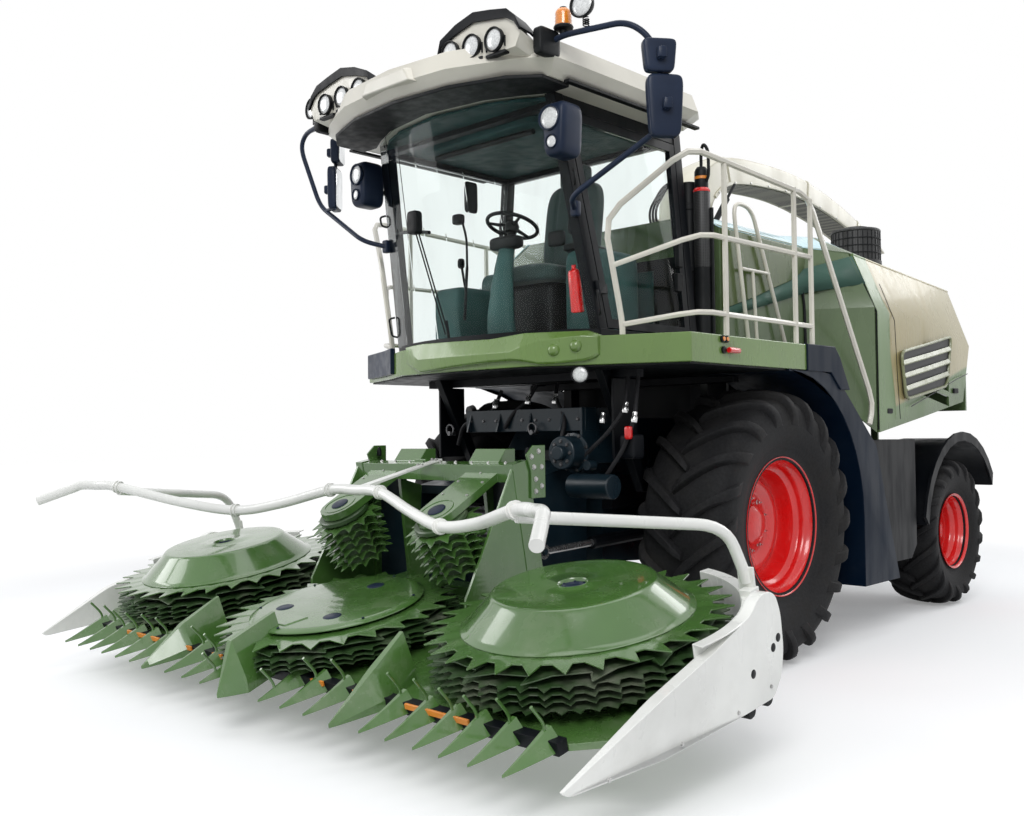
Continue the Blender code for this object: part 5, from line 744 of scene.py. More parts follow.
# Lugs: each is a rounded bar carried along the section curve from just past the middle
# to the shoulder; its angle trails back by sweep(s) = a s^0.9 so the bars form a V.
def tyreLugs(w):
    carcass = w["radius"] - w["lugHeight"]
    half = smoothPath(sectionShares, 12)
    length = np.concatenate([[0], np.cumsum(np.linalg.norm(np.diff(half * (w["width"] / 2,
        carcass - w["bead"]), axis=0), axis=1))])
    s = np.linspace(0, 1, 15)
    reach = length[-1] * 0.66
    at = s * reach
    share = np.interp(at, length, half[:, 0])
    side = np.interp(at, length, half[:, 1])
    bead = w["bead"] + 0.012
    r = bead + (carcass - bead) * side
    x = share * w["width"] / 2 - 0.035 * (1 - s) ** 2
    pitch = 2 * np.pi / w["lugs"]
    sweep = pitch * (1.35 * s ** 0.9)
    rise = w["lugHeight"] * np.interp(s, [0, 0.06, 0.62, 0.84, 1], [0.55, 1.0, 1.0, 0.55, 0.04])
    wide = w["radius"] * pitch * np.interp(s, [0, 0.1, 0.5, 1], [0.15, 0.21, 0.22, 0.3])
    # section of the bar: (sideways share, upward share), from one foot over the top to the other
    section = arr([(-1.25, -0.4), (-1.18, 0.0), (-1.0, 0.62), (-0.88, 0.93), (-0.74, 1.0), (0.74, 1.0),
        (0.88, 0.93), (1.0, 0.62), (1.18, 0.0), (1.25, -0.4)])
    k = np.arange(w["lugs"])
    dx = np.gradient(x)
    dr = np.gradient(r)
    norm = np.hypot(dx, dr)
    nx, nr = -dr / norm, dx / norm
    pieces = []
    for side in (1, -1):
        angle0 = pitch * (k + (0.5 if side < 0 else 0.0))
        lift = section[:, 1][None, :] * rise[:, None]
        px = x[:, None] + nx[:, None] * lift
        pr = r[:, None] + nr[:, None] * lift
        turnBy = -sweep[:, None] + section[:, 0][None, :] * (wide / 2 / r)[:, None]
        angle = angle0[:, None, None] + turnBy[None]
        points = np.stack([np.broadcast_to(side * px, angle.shape), -pr * np.sin(angle), pr * np.cos(angle)],
            -1)
        n = len(section)
        one = gridFaces(len(s), n) + [list(range(n)), list(range((len(s) - 1) * n, len(s) * n))]
        faces = [[v + j * len(s) * n for v in face] for j in range(w["lugs"]) for face in one]
        pieces.append((points.reshape(-1, 3), faces))
    return joined(pieces)


# Rim: profile from the outer flange down over the bead seat steps into the well, in to
# the dished disc and out to the hub, then back along its inner face.
def rimShape(w, hand):
    b, half = w["bead"], w["rimWidth"] / 2
    d = half - w["dish"] * w["rimWidth"]
    lip = b + 0.01
    outside = [(0, d + 0.075), (w["hub"] * 0.55, d + 0.075), (w["hub"] * 0.72, d + 0.066),
        (w["hub"], d + 0.045), (w["hub"] + 0.004, d + 0.006), (w["hub"] + 0.014, d),
        (w["nutRing"] + 0.035, d), (w["nutRing"] + 0.055, d + 0.008), (b * 0.6, d + 0.03),
        (b * 0.68, d + 0.03), (b * 0.73, d + 0.012), (b * 0.8, d + 0.006), (b * 0.815, d + 0.02),
        (b * 0.815, half - 0.15), (b * 0.83, half - 0.128), (b * 0.89, half - 0.112),
        (b * 0.905, half - 0.098), (b * 0.905, half - 0.078), (b * 0.93, half - 0.06),
        (b * 0.965, half - 0.045), (b * 0.975, half - 0.022), (b * 0.985, half - 0.01),
        (lip - 0.006, half - 0.006), (lip - 0.002, half), (lip + 0.002, half + 0.001),
        (lip + 0.003, half - 0.004), (lip, half - 0.01)]
    inside = [(b, half - 0.018), (b - 0.012, half - 0.1), (b * 0.86, half - 0.14), (b * 0.86, 0.02 - half),
        (b, -half + 0.03), (lip, -half + 0.008), (lip + 0.002, -half), (lip - 0.006, -half),
        (b * 0.97, -half + 0.01), (b * 0.95, -half + 0.05), (b * 0.84, -half + 0.07), (b * 0.84, d - 0.02),
        (b * 0.7, d - 0.014), (0, d - 0.014)]
    points, faces = turned(outside + inside, axis=(1, 0, 0), sides=72)
    return points * (hand, 1, 1), faces


# Each wheel: tyre, rim, a ring of nuts and a valve about the wheel's centre.
def buildWheels():
    for end, w in wheels.items():
        for side, hand in bothSides:
            centre = arr((hand * w["track"] / 2, w["y"], w["radius"]))
            put = maker(lambda p: fromAxle(p + centre))
            body = end + "_wheel_" + side
            tyre = joined([tyreCarcass(w), tyreLugs(w)])
            put(end + "_tyre_skin_" + side, tyre, tyreRubber, body, sharp=40,
                replaced=[end + "_tyre_" + side])
            put(end + "_rim_skin_" + side, rimShape(w, hand), redPaint, body, sharp=38,
                replaced=[end + "_rim_" + side])
            d = w["rimWidth"] / 2 - w["dish"] * w["rimWidth"]
            a = 2 * np.pi * (np.arange(w["nuts"]) + 0.5) / w["nuts"]
            ring = np.column_stack([np.full(len(a), hand * d), w["nutRing"] * np.cos(a),
                w["nutRing"] * np.sin(a)])
            nuts = joined([bolts(ring, (hand, 0, 0), 0.013, 0.022), bolts(ring + (hand * 0.02, 0, 0),
                (hand, 0, 0), 0.006, 0.016)])
            put(end + "_wheel_nuts_" + side, nuts, brightSteel, body)
            valve = tube(arr([(hand * d, 0.0, w["bead"] * 0.62),
                (hand * (d + 0.05), 0.0, w["bead"] * 0.66)]), 0.005, 8)
            put(end + "_valve_" + side, valve, blackPlastic, body)


buildWheels()
print("wheels ready")


drum = {"spacing": 1.553, "hoodTop": 0.4, "hoodBase": 0.55, "hoodHeight": 0.145, "disc": 0.735, "core": 0.44,
    "foot": -0.36, "centreAhead": 0.249, "centreDrop": 0.174, "centreDisc": 0.68, "centreCover": 0.49}


# Hood: a cone whose top and foot edges are rounded, with a round recess at the hub; the
# profile is turned about the drum's axis.
def hoodProfile():
    t, b, h = drum["hoodTop"], drum["hoodBase"], drum["hoodHeight"]
    return [(0, -0.02), (0.066, -0.02), (0.07, -0.002), (0.074, 0.003), (0.08, 0.0), (0.2, 0.001),
        (t - 0.03, -0.001), (t - 0.01, -0.003), (t, -0.01), (t + 0.008, -0.02), (b - 0.022, -h + 0.018),
        (b - 0.01, -h + 0.007), (b + 0.006, -h + 0.002), (b + 0.012, -h - 0.002), (b + 0.01, -h - 0.006),
        (b - 0.1, -h - 0.006), (b - 0.1, -h - 0.004), (0, -0.03)]


drumDiscs = [
    # name, depth below the hood, teeth, tip share, root share, lean, flat, thickness, droop
    ("upper", 0.006, 30, 1.0, 0.865, 0.46, 0.34, 0.007, 0.004),
    ("second", 0.048, 15, 0.975, 0.89, 0.4, 0.62, 0.006, 0.012),
    ("third", 0.086, 44, 0.985, 0.925, 0.38, 0.4, 0.005, 0.003),
    ("fourth", 0.118, 44, 1.0, 0.93, 0.38, 0.4, 0.005, 0.0),
    ("fifth", 0.15, 44, 0.985, 0.925, 0.38, 0.4, 0.005, 0.0),
    ("sixth", 0.182, 60, 1.0, 0.945, 0.45, 0.25, 0.005, 0.0),
]


# Each drum: hood, stacked toothed discs, blades every 1/14 turn, ribbed core and cap.
def buildDrums():
    for side, hand in bothSides:
        centre = arr((hand * drum["spacing"], 0, 0))
        put = maker(lambda p: fromHeader(p + centre))
        body = "gathering_drum_" + side
        put("drum_hood_" + side, turned(hoodProfile(), sides=120), greenPaint, body, sharp=30,
            replaced=["gathering_drum_" + side])
        under = -drum["hoodHeight"]
        for k, (name, depth, teeth, tip, root, lean, flat, thick, droop) in enumerate(drumDiscs):
            r = drum["disc"]
            disc = toothedDisc(teeth, r * tip, r * root, 0.4, under - depth - thick, under - depth, lean,
                flat, droop)
            points = disc[0] * ((hand if k != 1 else -hand), 1, 1)
            # Discs below the top one take the darker green as painted shade.
            material = greenPaint if k == 0 else shadedDustyGreen
            put("drum_disc_" + name + "_" + side, (points, disc[1]), material, body, sharp=25,
                bevel=0.0015 if k < 2 else 0)
        # knives under the discs: short leaf blades bolted round the foot
        bladeLine = arr([(0.46, -0.05), (0.61, -0.045), (0.69, 0.0), (0.61, 0.035), (0.46, 0.045)])
        blades = []
        for turn in 2 * np.pi * np.arange(14) / 14:
            c, s = math.cos(turn), math.sin(turn)
            blades.append(prism(bladeLine @ arr([(c, s), (-s, c)]), drum["foot"] + 0.006,
                drum["foot"] + 0.011))
        # The knives take the darker green as painted shade.
        put("drum_knives_" + side, blades, shadedDustyGreen, body, bevel=0.001)
        core = [(0, under - 0.004), (drum["core"], under - 0.004), (drum["core"], -0.3), (0.41, -0.315),
            (0.41, drum["foot"]), (0, drum["foot"])]
        ribPoints, ribFaces = block((0.425, -0.012, -0.33), (0.475, 0.012, under - 0.01))
        ribs = []
        for turn in 2 * np.pi * np.arange(12) / 12:
            c, s = math.cos(turn), math.sin(turn)
            ribs.append((ribPoints @ arr([(c, s, 0), (-s, c, 0), (0, 0, 1)]), ribFaces))
        # The core takes the darker green as painted shade.
        put("drum_core_" + side, [turned(core, sides=64)] + ribs, shadedDustyGreen, body)
        ringA = 2 * np.pi * np.arange(6) / 6
        cap = joined([turned([(0, -0.018), (0.045, -0.018), (0.052, -0.01), (0.06, -0.012), (0.066, -0.02),
            (0, -0.022)], sides=40), bolts(np.column_stack([0.056 * np.cos(ringA), 0.056 * np.sin(ringA),
            np.full(6, -0.012)]), (0, 0, 1), 0.006, 0.005)])
        put("drum_cap_" + side, cap, bluePlastic, body)
    centre = arr((0, -drum["centreAhead"], 0))
    put = maker(lambda p: fromHeader(p + centre))
    top = -drum["centreDrop"] - 0.03
    body = "gathering_drum_centre"
    for k, (name, depth, teeth, tip, root, lean, flat, thick, droop) in enumerate(drumDiscs[:5]):
        r = drum["centreDisc"]
        depth = (0.004, 0.04, 0.07, 0.096, 0.122)[k]
        tip -= 0.055 if k == 1 else 0
        disc = toothedDisc((26, 13, 40, 40, 40)[k], r * tip, r * root, 0.36, top - depth - thick,
            top - depth, lean, flat, droop)
        # Centre discs below the top one take the darker green as painted shade.
        put("centre_disc_" + name, disc, greenPaint if k == 0 else shadedDustyGreen, body, sharp=25,
            bevel=0.0015 if k < 2 else 0, replaced=["gathering_drum_centre"] if k == 0 else ())
    core = [(0, top), (0.42, top), (0.42, drum["foot"]), (0, drum["foot"])]
    # The centre core takes the darker green as painted shade.
    put("centre_core", turned(core, sides=64), shadedDustyGreen, body)
    print("drums ready")


buildDrums()


snouts = {"x": (0.28, 0.47, 0.66, 1.08, 1.26, 1.44, 1.6, 1.77, 1.96), "reach": 1.0, "length": 0.29,
    "width": 0.075, "low": -0.425, "high": -0.352, "bigX": 0.89}


# A pointed leaf: rings of six points from the nose back; width and ridge height grow
# with the square root and the plain share of the length, the underside stays level.
def leaf(x, nose, length, width, low, ridge):
    t = np.linspace(0, 1, 9)
    wide = width * (0.035 + 0.965 * t ** 0.85)
    top = low + 0.012 + (ridge - low - 0.012) * t ** 1.15
    y = nose + length * t
    section = arr([(-1.0, 0.1), (-0.82, 0.0), (0.82, 0.0), (1.0, 0.1), (0.16, 1.0), (-0.16, 1.0)])
    rings = np.stack([x + wide[:, None] * section[None, :, 0], np.broadcast_to(y[:, None], (9, 6)),
        low + (top - low)[:, None] * section[None, :, 1]], -1)
    return loft(rings)


# Crop divider: a tall spear with a sharp ridge; rings go nose, shoulder, tail.
def spear(x, tailX, nose, shoulder, tail, wide, ridge):
    low = -0.43
    t = np.linspace(0, 1, 8)
    front = nose + (shoulder - nose) * t
    w = wide * (0.04 + 0.96 * t ** 0.9)
    top = low + 0.02 + (ridge - low - 0.02) * t ** 1.02
    section = arr([(-1.0, 0.0), (1.0, 0.0), (1.02, 0.28), (0.2, 1.0), (-0.2, 1.0), (-1.02, 0.28)])
    rings = np.stack([x + w[:, None] * section[None, :, 0], np.broadcast_to(front[:, None], (8, 6)),
        low + (top - low)[:, None] * section[None, :, 1]], -1)
    last = np.column_stack([tailX + wide * 0.62 * section[:, 0], np.full(6, tail),
        low + 0.035 + (ridge * 0.62 - low - 0.035) * section[:, 1]])
    return loft(np.concatenate([rings, last[None]]))


# Small snouts with a bent rod each, three crop dividers, the beam and the centre cover.
def buildSnouts():
    green, rods, strips = [], [], []
    for x in snouts["x"]:
        for hand in (1, -1):
            green.append(leaf(hand * x, -snouts["reach"], snouts["length"], snouts["width"], snouts["low"],
                snouts["high"] + 0.02))
            back = -snouts["reach"] + snouts["length"]
            centreEdge = -drum["centreAhead"] - math.sqrt(max(drum["centreDisc"] ** 2 - x * x, 0))
            sideEdge = -math.sqrt(max(drum["disc"] ** 2 - (x - drum["spacing"]) ** 2, 0))
            foot = min(centreEdge, sideEdge, back) - 0.03
            share = (foot + snouts["reach"]) / snouts["length"]
            top = snouts["low"] + 0.004 + 0.081 * share ** 1.15
            path = softPath([(hand * x, foot, top - 0.01), (hand * x, foot + 0.002, top + 0.035),
                (hand * x, foot - 0.055, top + 0.125)], 0.04)
            rods.append(tube(path, 0.0075, 8))
    onHeader("small_snouts", green, greenPaint, "header", bevel=0.003, replaced=["snout_row"])
    onHeader("snout_rods", rods, greenPaint, "header")
    big = []
    for hand in (1, -1):
        big.append(spear(hand * snouts["bigX"], hand * 0.85, -1.02, -0.74, -0.5, 0.1, -0.255))
    big.append(spear(0.0, 0.0, -1.06, -0.94, -0.66, 0.105, -0.165))
    onHeader("crop_dividers", big, greenPaint, "header", bevel=0.004)
    beam = [block((-2.04, -0.76, -0.43), (2.04, -0.7, -0.372)),
        prism([(-2.0, -0.71), (2.0, -0.71), (2.0, -0.66), (-2.0, -0.66)], -0.424, -0.405)]
    onHeader("snout_beam", beam, blackPaint, "header", bevel=0.003)
    for x0, x1 in ((1.14, 1.55), (-1.55, -1.14), (0.76, 0.83), (-0.83, -0.76), (0.42, 0.52), (-0.52, -0.42)):
        strips.append(block((x0, -0.775, -0.392), (x1, -0.762, -0.366)))
    onHeader("orange_strips", strips, orangePaint, "header", bevel=0.002)

    r, drop = drum["centreCover"], -drum["centreDrop"]
    cover = [(0, drop), (r - 0.045, drop), (r - 0.035, drop - 0.001), (r - 0.014, drop - 0.007),
        (r - 0.002, drop - 0.013), (r, drop - 0.018), (r - 0.004, drop - 0.021), (0, drop - 0.021)]
    put = maker(lambda p: fromHeader(p + arr((0, -drum["centreAhead"], 0))))
    put("centre_cover", turned(cover, sides=120), greenPaint, "header")
    a = np.radians([95, 160, 215, 280, 340, 30])
    ring = np.column_stack([(r - 0.035) * np.cos(a), (r - 0.035) * np.sin(a), np.full(6, drop + 0.0005)])
    caps = [turned([(0, 0.004), (0.044, 0.004), (0.05, 0.001), (0.052, -0.002)], (x, y, drop), sides=36)
        for x, y in ((-0.22, -0.2), (0.22, -0.2), (0.0, 0.28))]
    put("cover_caps", caps + [bolts(ring, (0, 0, 1), 0.007, 0.005)], bluePlastic, "header")
    # throat plate from the cover down to the centre divider's ridge
    ridge = loft([[(-0.1, -0.66, -0.2), (0.1, -0.66, -0.2), (0.085, -0.66, -0.168), (-0.085, -0.66, -0.168)],
        [(-0.13, -0.52, -0.2), (0.13, -0.52, -0.2), (0.1, -0.52, -0.168), (-0.1, -0.52, -0.168)]])
    onHeader("divider_neck", ridge, greenPaint, "header", bevel=0.004)


# Divider plate outline (back, up) from the nose over the top to the rear and back underneath.
dividerLine = [(-1.02, -0.398), (-0.52, -0.246), (-0.1, -0.19), (0.1, -0.15), (0.205, -0.13),
    (0.285, -0.075), (0.36, -0.07), (0.425, -0.105), (0.452, -0.2), (0.445, -0.36), (0.405, -0.475),
    (0.32, -0.55), (0.1, -0.535), (-0.52, -0.473), (-1.0, -0.424)]


# The plate is swept across its width: inner and outer outlines share (back, up) and draw
# together towards the nose as width = full * min(1, distance from nose / half reach).
def buildDividers():
    outline = softPath(dividerLine + dividerLine[:1], 0.035, 5)[:-1]
    back, up = outline[:, 0], outline[:, 1]
    share = np.clip((back + 1.02) / 0.5, 0, 1) ** 0.8
    for side, hand in bothSides:
        outer = np.column_stack([2.283 + (2.37 - 2.283) * share, back, up])
        inner = np.column_stack([2.265 + (2.31 - 2.265) * share, back, up])
        shapes = [(np.concatenate([outer, inner]), slabFaces(len(outline)))]
        # guard behind the drum: an upright band about the drum's axis with a flange on top
        a = np.radians(np.linspace(-12, 74, 40))
        band = arr([(0.765, -0.398), (0.765, -0.142), (0.825, -0.142), (0.825, -0.15), (0.775, -0.15),
            (0.775, -0.398)])
        rings = np.stack([1.553 + band[None, :, 0] * np.cos(a)[:, None],
            band[None, :, 0] * np.sin(a)[:, None], np.broadcast_to(band[None, :, 1], (40, 6))], -1)
        shapes.append(loft(rings))
        shapes.append(block((2.172, 0.44, -0.39), (2.232, 0.52, -0.11)))
        shapes = [s if hand > 0 else mirrorX(s) for s in shapes]
        onHeader("divider_skin_" + side, shapes, whitePaint, "header", bevel=0.007,
            replaced=["divider_" + side], sharp=30)
        trim = [bolts([(hand * 2.371, -0.86, -0.4), (hand * 2.371, 0.02, -0.5), (hand * 2.371, 0.3, -0.49),
            (hand * 2.371, -0.4, -0.46)], (hand, 0, 0), 0.008, 0.006)]
        # Holes drawn as black discs: painted shade inside the holes.
        holes = [turned([(0.0, 0.002), (0.017, 0.002), (0.02, 0.0005), (0.02, -0.002)], (hand * 2.37, b, u),
            (hand, 0, 0), 24) for b, u in ((0.17, -0.385), (0.355, -0.33), (0.405, -0.3))]
        onHeader("divider_bolts_" + side, trim, plainSteel, "header")
        onHeader("divider_holes_" + side, holes, blackPlastic, "header")
        roller = joined([turned([(0, -0.03), (0.03, -0.03), (0.036, -0.024), (0.036, 0.024), (0.03, 0.03),
            (0, 0.03)], (hand * 2.325, b, -0.548), (1, 0, 0), 24) for b in (0.15, 0.3)])
        onHeader("divider_rollers_" + side, roller, blackPlastic, "header")


bar = {"radius": 0.03, "halfWidth": 2.24, "shares": ((0.0, -0.003, 0.18), (0.103, -0.006, 0.178),
    (0.27, -0.055, 0.147), (0.42, -0.104, 0.134), (0.6, -0.165, 0.165), (0.798, -0.247, 0.223),
    (0.875, -0.275, 0.232), (0.915, -0.3, 0.237), (0.935, -0.325, 0.231), (0.99, -0.405, 0.212))}


# The bar through shares of its half width, two bent posts, collars, clamps and a strut.
def buildPushBar():
    half = arr(bar["shares"]) * bar["halfWidth"]
    path = np.concatenate([half[:0:-1] * (-1, 1, 1), half])
    shapes = [tube(smoothPath(path, 10), bar["radius"], 20)]
    r = 0.745 + 0.02 + bar["radius"] * 1.3
    post = arr((1.553 + r * math.cos(math.radians(38.3)), r * math.sin(math.radians(38.3)), -0.11))
    knee = post + (-0.03, -0.078, 0.31)
    clamp = half[5] - (0, 0, 0.027)
    collars, pins = [], []
    for hand in (1, -1):
        line = softPath([post + (0, 0, 0.02), post + (-0.004, -0.01, 0.08), knee, clamp], 0.16)
        shapes.append(tube(line * (hand, 1, 1), bar["radius"] * 0.92, 18))
        for a, b in ((half[5], half[6] - half[4]), (half[1], half[1] - half[0]),
                (half[3], half[4] - half[2])):
            d = b / np.linalg.norm(b)
            for step in (-0.006, 0.006):
                collars.append(turned([(0, -0.005), (0.039, -0.005), (0.041, 0.0), (0.039, 0.005),
                    (0, 0.005)], (a + d * step * 2) * (hand, 1, 1), d * (hand, 1, 1), 28))
        foot = (post + (0, 0, 0.01)) * (hand, 1, 1)
        shapes.append(block(foot - (0.042, 0.008, 0.03), foot + (0.042, 0.008, 0.085)))
        pins.append(bolts([foot + (0.0, -0.012, 0.02), foot + (0.0, -0.012, 0.06)], (0, -1, 0), 0.01, 0.01))
    strut = prism([(half[0][1] - 0.01, half[0][2] - 0.008), (0.564, 0.4303), (0.66, 0.4303), (0.66, 0.446),
        (half[0][1] - 0.01, half[0][2] + 0.012)], -0.03, 0.03, "yzx")
    shapes.append(strut)
    onHeader("push_bar_skin", shapes, whitePaint, "header", bevel=0.003, replaced=["push_bar"], sharp=35)
    onHeader("bar_collars", collars, whitePaint, "header")
    places = [(s * 0.018, y, z) for y, z in ((0.5, 0.438), (0.62, 0.449)) for s in (-1, 1)]
    onHeader("bar_bolts", pins + [bolts(places, (0, 0, 1), 0.009, 0.008)], plainSteel, "header")


buildSnouts()
buildDividers()
buildPushBar()
print("snouts, dividers and bar ready")


# Two small drums of six discs, each disc 6 mm smaller and 52 mm lower than the last.
def buildIntakes():
    for side, hand in bothSides:
        body = "intake_drum_" + side
        put = maker(lambda p: fromIntake(p, hand))
        shapes = []
        for k in range(6):
            size = 0.232 - 0.006 * k
            z = -0.045 - 0.052 * k
            points, faces = toothedDisc(14, size, size * 0.8, 0.1, z - 0.006, z, 0.42, 0.34, 0.014)
            shapes.append((points * (hand, 1, 1), faces))
        core = [(0, -0.004), (0.15, -0.004), (0.158, -0.01), (0.158, -0.03), (0.15, -0.036), (0.128, -0.04),
            (0.128, -0.33), (0, -0.33)]
        put("intake_discs_" + side, shapes, greenPaint, body, sharp=25, bevel=0.0012,
            replaced=["intake_drum_" + side])
        # The intake core takes the darker green as painted shade.
        put("intake_core_" + side, turned(core, sides=48), shadedDustyGreen, body)
        cap = [turned([(0, 0.052), (0.045, 0.052), (0.052, 0.05), (0.055, 0.0445), (0, 0.044)], sides=32)]
        put("intake_cap_" + side, cap, bluePlastic, "header")
        ring = turned([(0.098, 0.0445), (0.098, 0.0475), (0.1005, 0.0485), (0.103, 0.0475), (0.103, 0.0445)],
            sides=48)
        put("intake_ring_" + side, ring, greenPaint, "header")
        spots = [(-0.1, 0.3, 0.045), (0.1, 0.3, 0.045), (0.0, 0.4, 0.045), (-0.1, 0.16, 0.045),
            (0.1, 0.16, 0.045)]
        put("intake_bolts_" + side, bolts(spots, (0, 0, 1), 0.008, 0.006), plainSteel, "header")


buildIntakes()


# Rounded box: x = a s(cos v) s(cos u), y = b s(cos v) s(sin u), z = c s(sin v), where
# s(q) = sign(q) |q| ** power; a small power gives flat sides and round edges.
def pad(centre, half, power=0.35, sides=32, rows=16):
    u = fullTurn(sides)[None, :]
    v = np.linspace(-np.pi / 2, np.pi / 2, rows)[:, None]
    s = lambda q: np.sign(q) * np.abs(q) ** power
    around = s(np.cos(v))
    points = np.stack([around * s(np.cos(u)), around * s(np.sin(u)), s(np.sin(v)) + 0 * u], -1)
    return (points * arr(half) + arr(centre)).reshape(-1, 3), gridFaces(rows, sides)


# The shape's points turned about an upright line through the centre.
def turnedUpright(shape, centre, degrees):
    c, s = math.cos(math.radians(degrees)), math.sin(math.radians(degrees))
    p = shape[0] - arr(centre)
    return np.stack([c * p[:, 0] - s * p[:, 1], s * p[:, 0] + c * p[:, 1], p[:, 2]],
        -1) + arr(centre), shape[1]


# Round lamp: a cup profile and a domed lens, both turned about the aim direction.
def lampShapes(place, aim, r, depth):
    cup = [(0, -depth), (r * 0.45, -depth), (r * 0.8, -depth * 0.72), (r * 1.02, -depth * 0.25),
        (r * 1.06, -0.004), (r * 1.08, 0.006), (r * 1.0, 0.01), (r * 0.93, 0.004), (r * 0.92, -0.012),
        (0, -0.012)]
    dome = [(0, 0.007), (r * 0.5, 0.006), (r * 0.82, 0.001), (r * 0.925, -0.005), (r * 0.925, -0.014),
        (0, -0.014)]
    return turned(cup, place, aim, 32), turned(dome, place, aim, 32)


cab = {"foot": -1.304, "lean": 0.1803, "floor": 2.1, "half": 0.92, "taper": 0.0845,
    "lamps": ((0.426, 3.718), (0.603, 3.709), (0.78, 3.7)), "lampY": -2.042, "lampRadius": 0.064}
deckFront = arr([(-1.45, -1.156), (-1.0, -1.35), (-0.58, -1.578), (0, -1.614), (0.58, -1.578), (1.0, -1.35),
    (1.45, -1.156)])


# The front pillar's y: foot - lean (z - floor).
def pillarY(z):
    return cab["foot"] - cab["lean"] * (z - cab["floor"])


# Half the cab's width: half - taper (z - floor).
def cabHalf(z):
    return cab["half"] - cab["taper"] * (z - cab["floor"])


# Lamp pods under arched sheets, the visor, side trims, centre panel and hatch.
def buildRoof():
    cups, lenses, forks = [], [], []
    for side, hand in bothSides:
        for x, z in cab["lamps"]:
            cup, dome = lampShapes((hand * x, cab["lampY"], z), (0, -1, -0.05), cab["lampRadius"], 0.085)
            cups.append(cup)
            lenses.append(dome)
            forks += [block((hand * x - 0.074, -2.03, z - 0.05), (hand * x - 0.068, -2.0, z + 0.01)),
                block((hand * x + 0.068, -2.03, z - 0.05), (hand * x + 0.074, -2.0, z + 0.01)),
                block((hand * x - 0.074, -2.03, z - 0.085), (hand * x + 0.074, -1.99, z - 0.068))]
        arch = arr([(0.29, 3.65), (0.32, 3.74), (0.343, 3.812), (0.47, 3.866), (0.614, 3.897), (0.75, 3.872),
            (0.874, 3.843), (0.935, 3.79), (0.975, 3.716)])
        lip = arr([0.004, 0.02, 0.035, 0.05, 0.052, 0.05, 0.045, 0.03, 0.012])
        base = 3.52
        rows = [np.column_stack([hand * arch[:, 0] * 0.995, np.full(9, -2.03), arch[:, 1] - lip])]
        for y, share, rise in ((-2.034, 1.0, 0.0), (-1.95, 0.9, 0.006), (-1.86, 0.74, 0.004)):
            up = base + (arch[:, 1] - base) * share + rise
            rows.append(np.column_stack([hand * arch[:, 0], np.full(9, y), up]))
        onMachine("roof_arch_" + side, sheet(rows), blackPaint, wall=0.012, bevel=0.002)
        corner = pad((hand * 1.012, -1.86, 3.665), (0.032, 0.085, 0.075), 0.3, 24, 12)
        onMachine("roof_bracket_" + side, corner, blackPlastic)
    onMachine("roof_lamp_cups", cups, blackPlastic)
    onMachine("roof_lamp_lenses", lenses, clearLens)
    onMachine("roof_lamp_forks", forks, blackPlastic, bevel=0.002)
    half = [(0.0, -2.12), (0.43, -2.075), (0.78, -1.955), (0.945, -1.82), (0.945, -1.59), (0.8, -1.59),
        (0.65, -1.675), (0.43, -1.775), (0.0, -1.845)]
    visor = half + [(-x, y) for x, y in half[-2:0:-1]]
    onMachine("roof_visor", prism(visor, 3.499, 3.524), blackPlastic, bevel=0.008)
    sides = [block((hand * 0.99 - 0.03, -1.66, 3.505), (hand * 0.99 + 0.01, -0.34, 3.523))
        for hand in (1, -1)]
    onMachine("roof_side_trim", sides, blackPlastic, bevel=0.004)
    # the centre band between the lamp pods: a raised panel with sloped ends
    panelRows = {-2.178: [(-0.22, 3.585), (0.22, 3.585), (0.17, 3.665), (-0.17, 3.665)],
        -2.1: [(-0.26, 3.575), (0.26, 3.575), (0.2, 3.68), (-0.2, 3.68)]}
    panel = loft([[(x, y, z) for x, z in line] for y, line in panelRows.items()])
    onMachine("roof_centre_panel", panel, creamPaint, bevel=0.01)
    hatch = pad((0.0, -1.0, 3.826), (0.3, 0.28, 0.022), 0.25, 48, 10)
    onMachine("roof_hatch", hatch, creamPaint)


buildRoof()

mirrorSets = {
    "left": {"hand": 1, "turn": 52, "branch": [], "arm": [
        (1.03, -1.82, 3.685), (1.1, -1.81, 3.7), (1.5, -1.77, 3.672), (1.6, -1.69, 3.57), (1.61, -1.57, 3.16),
        (0.93, -1.575, 2.875), (0.866, -1.47, 2.835)],
        "heads": [((1.615, -1.66, 3.485), 0.085, 0.088), ((1.625, -1.63, 3.225), 0.092, 0.165)]},
    "right": {"hand": -1, "turn": -52, "branch": [
        (-1.49, -1.69, 3.73), (-1.33, -1.66, 3.755), (-1.25, -1.62, 3.7), (-1.255, -1.6, 3.5),
        (-1.29, -1.6, 3.16), (-1.4, -1.588, 3.165)], "arm": [
        (-1.03, -1.78, 3.7), (-1.1, -1.77, 3.73), (-1.5, -1.69, 3.728), (-1.545, -1.7, 3.63),
        (-1.47, -1.585, 3.21), (-0.98, -1.578, 2.885), (-0.866, -1.47, 2.845)],
        "heads": [((-1.235, -1.6, 3.555), 0.085, 0.085), ((-1.27, -1.6, 3.295), 0.092, 0.155)]},
}


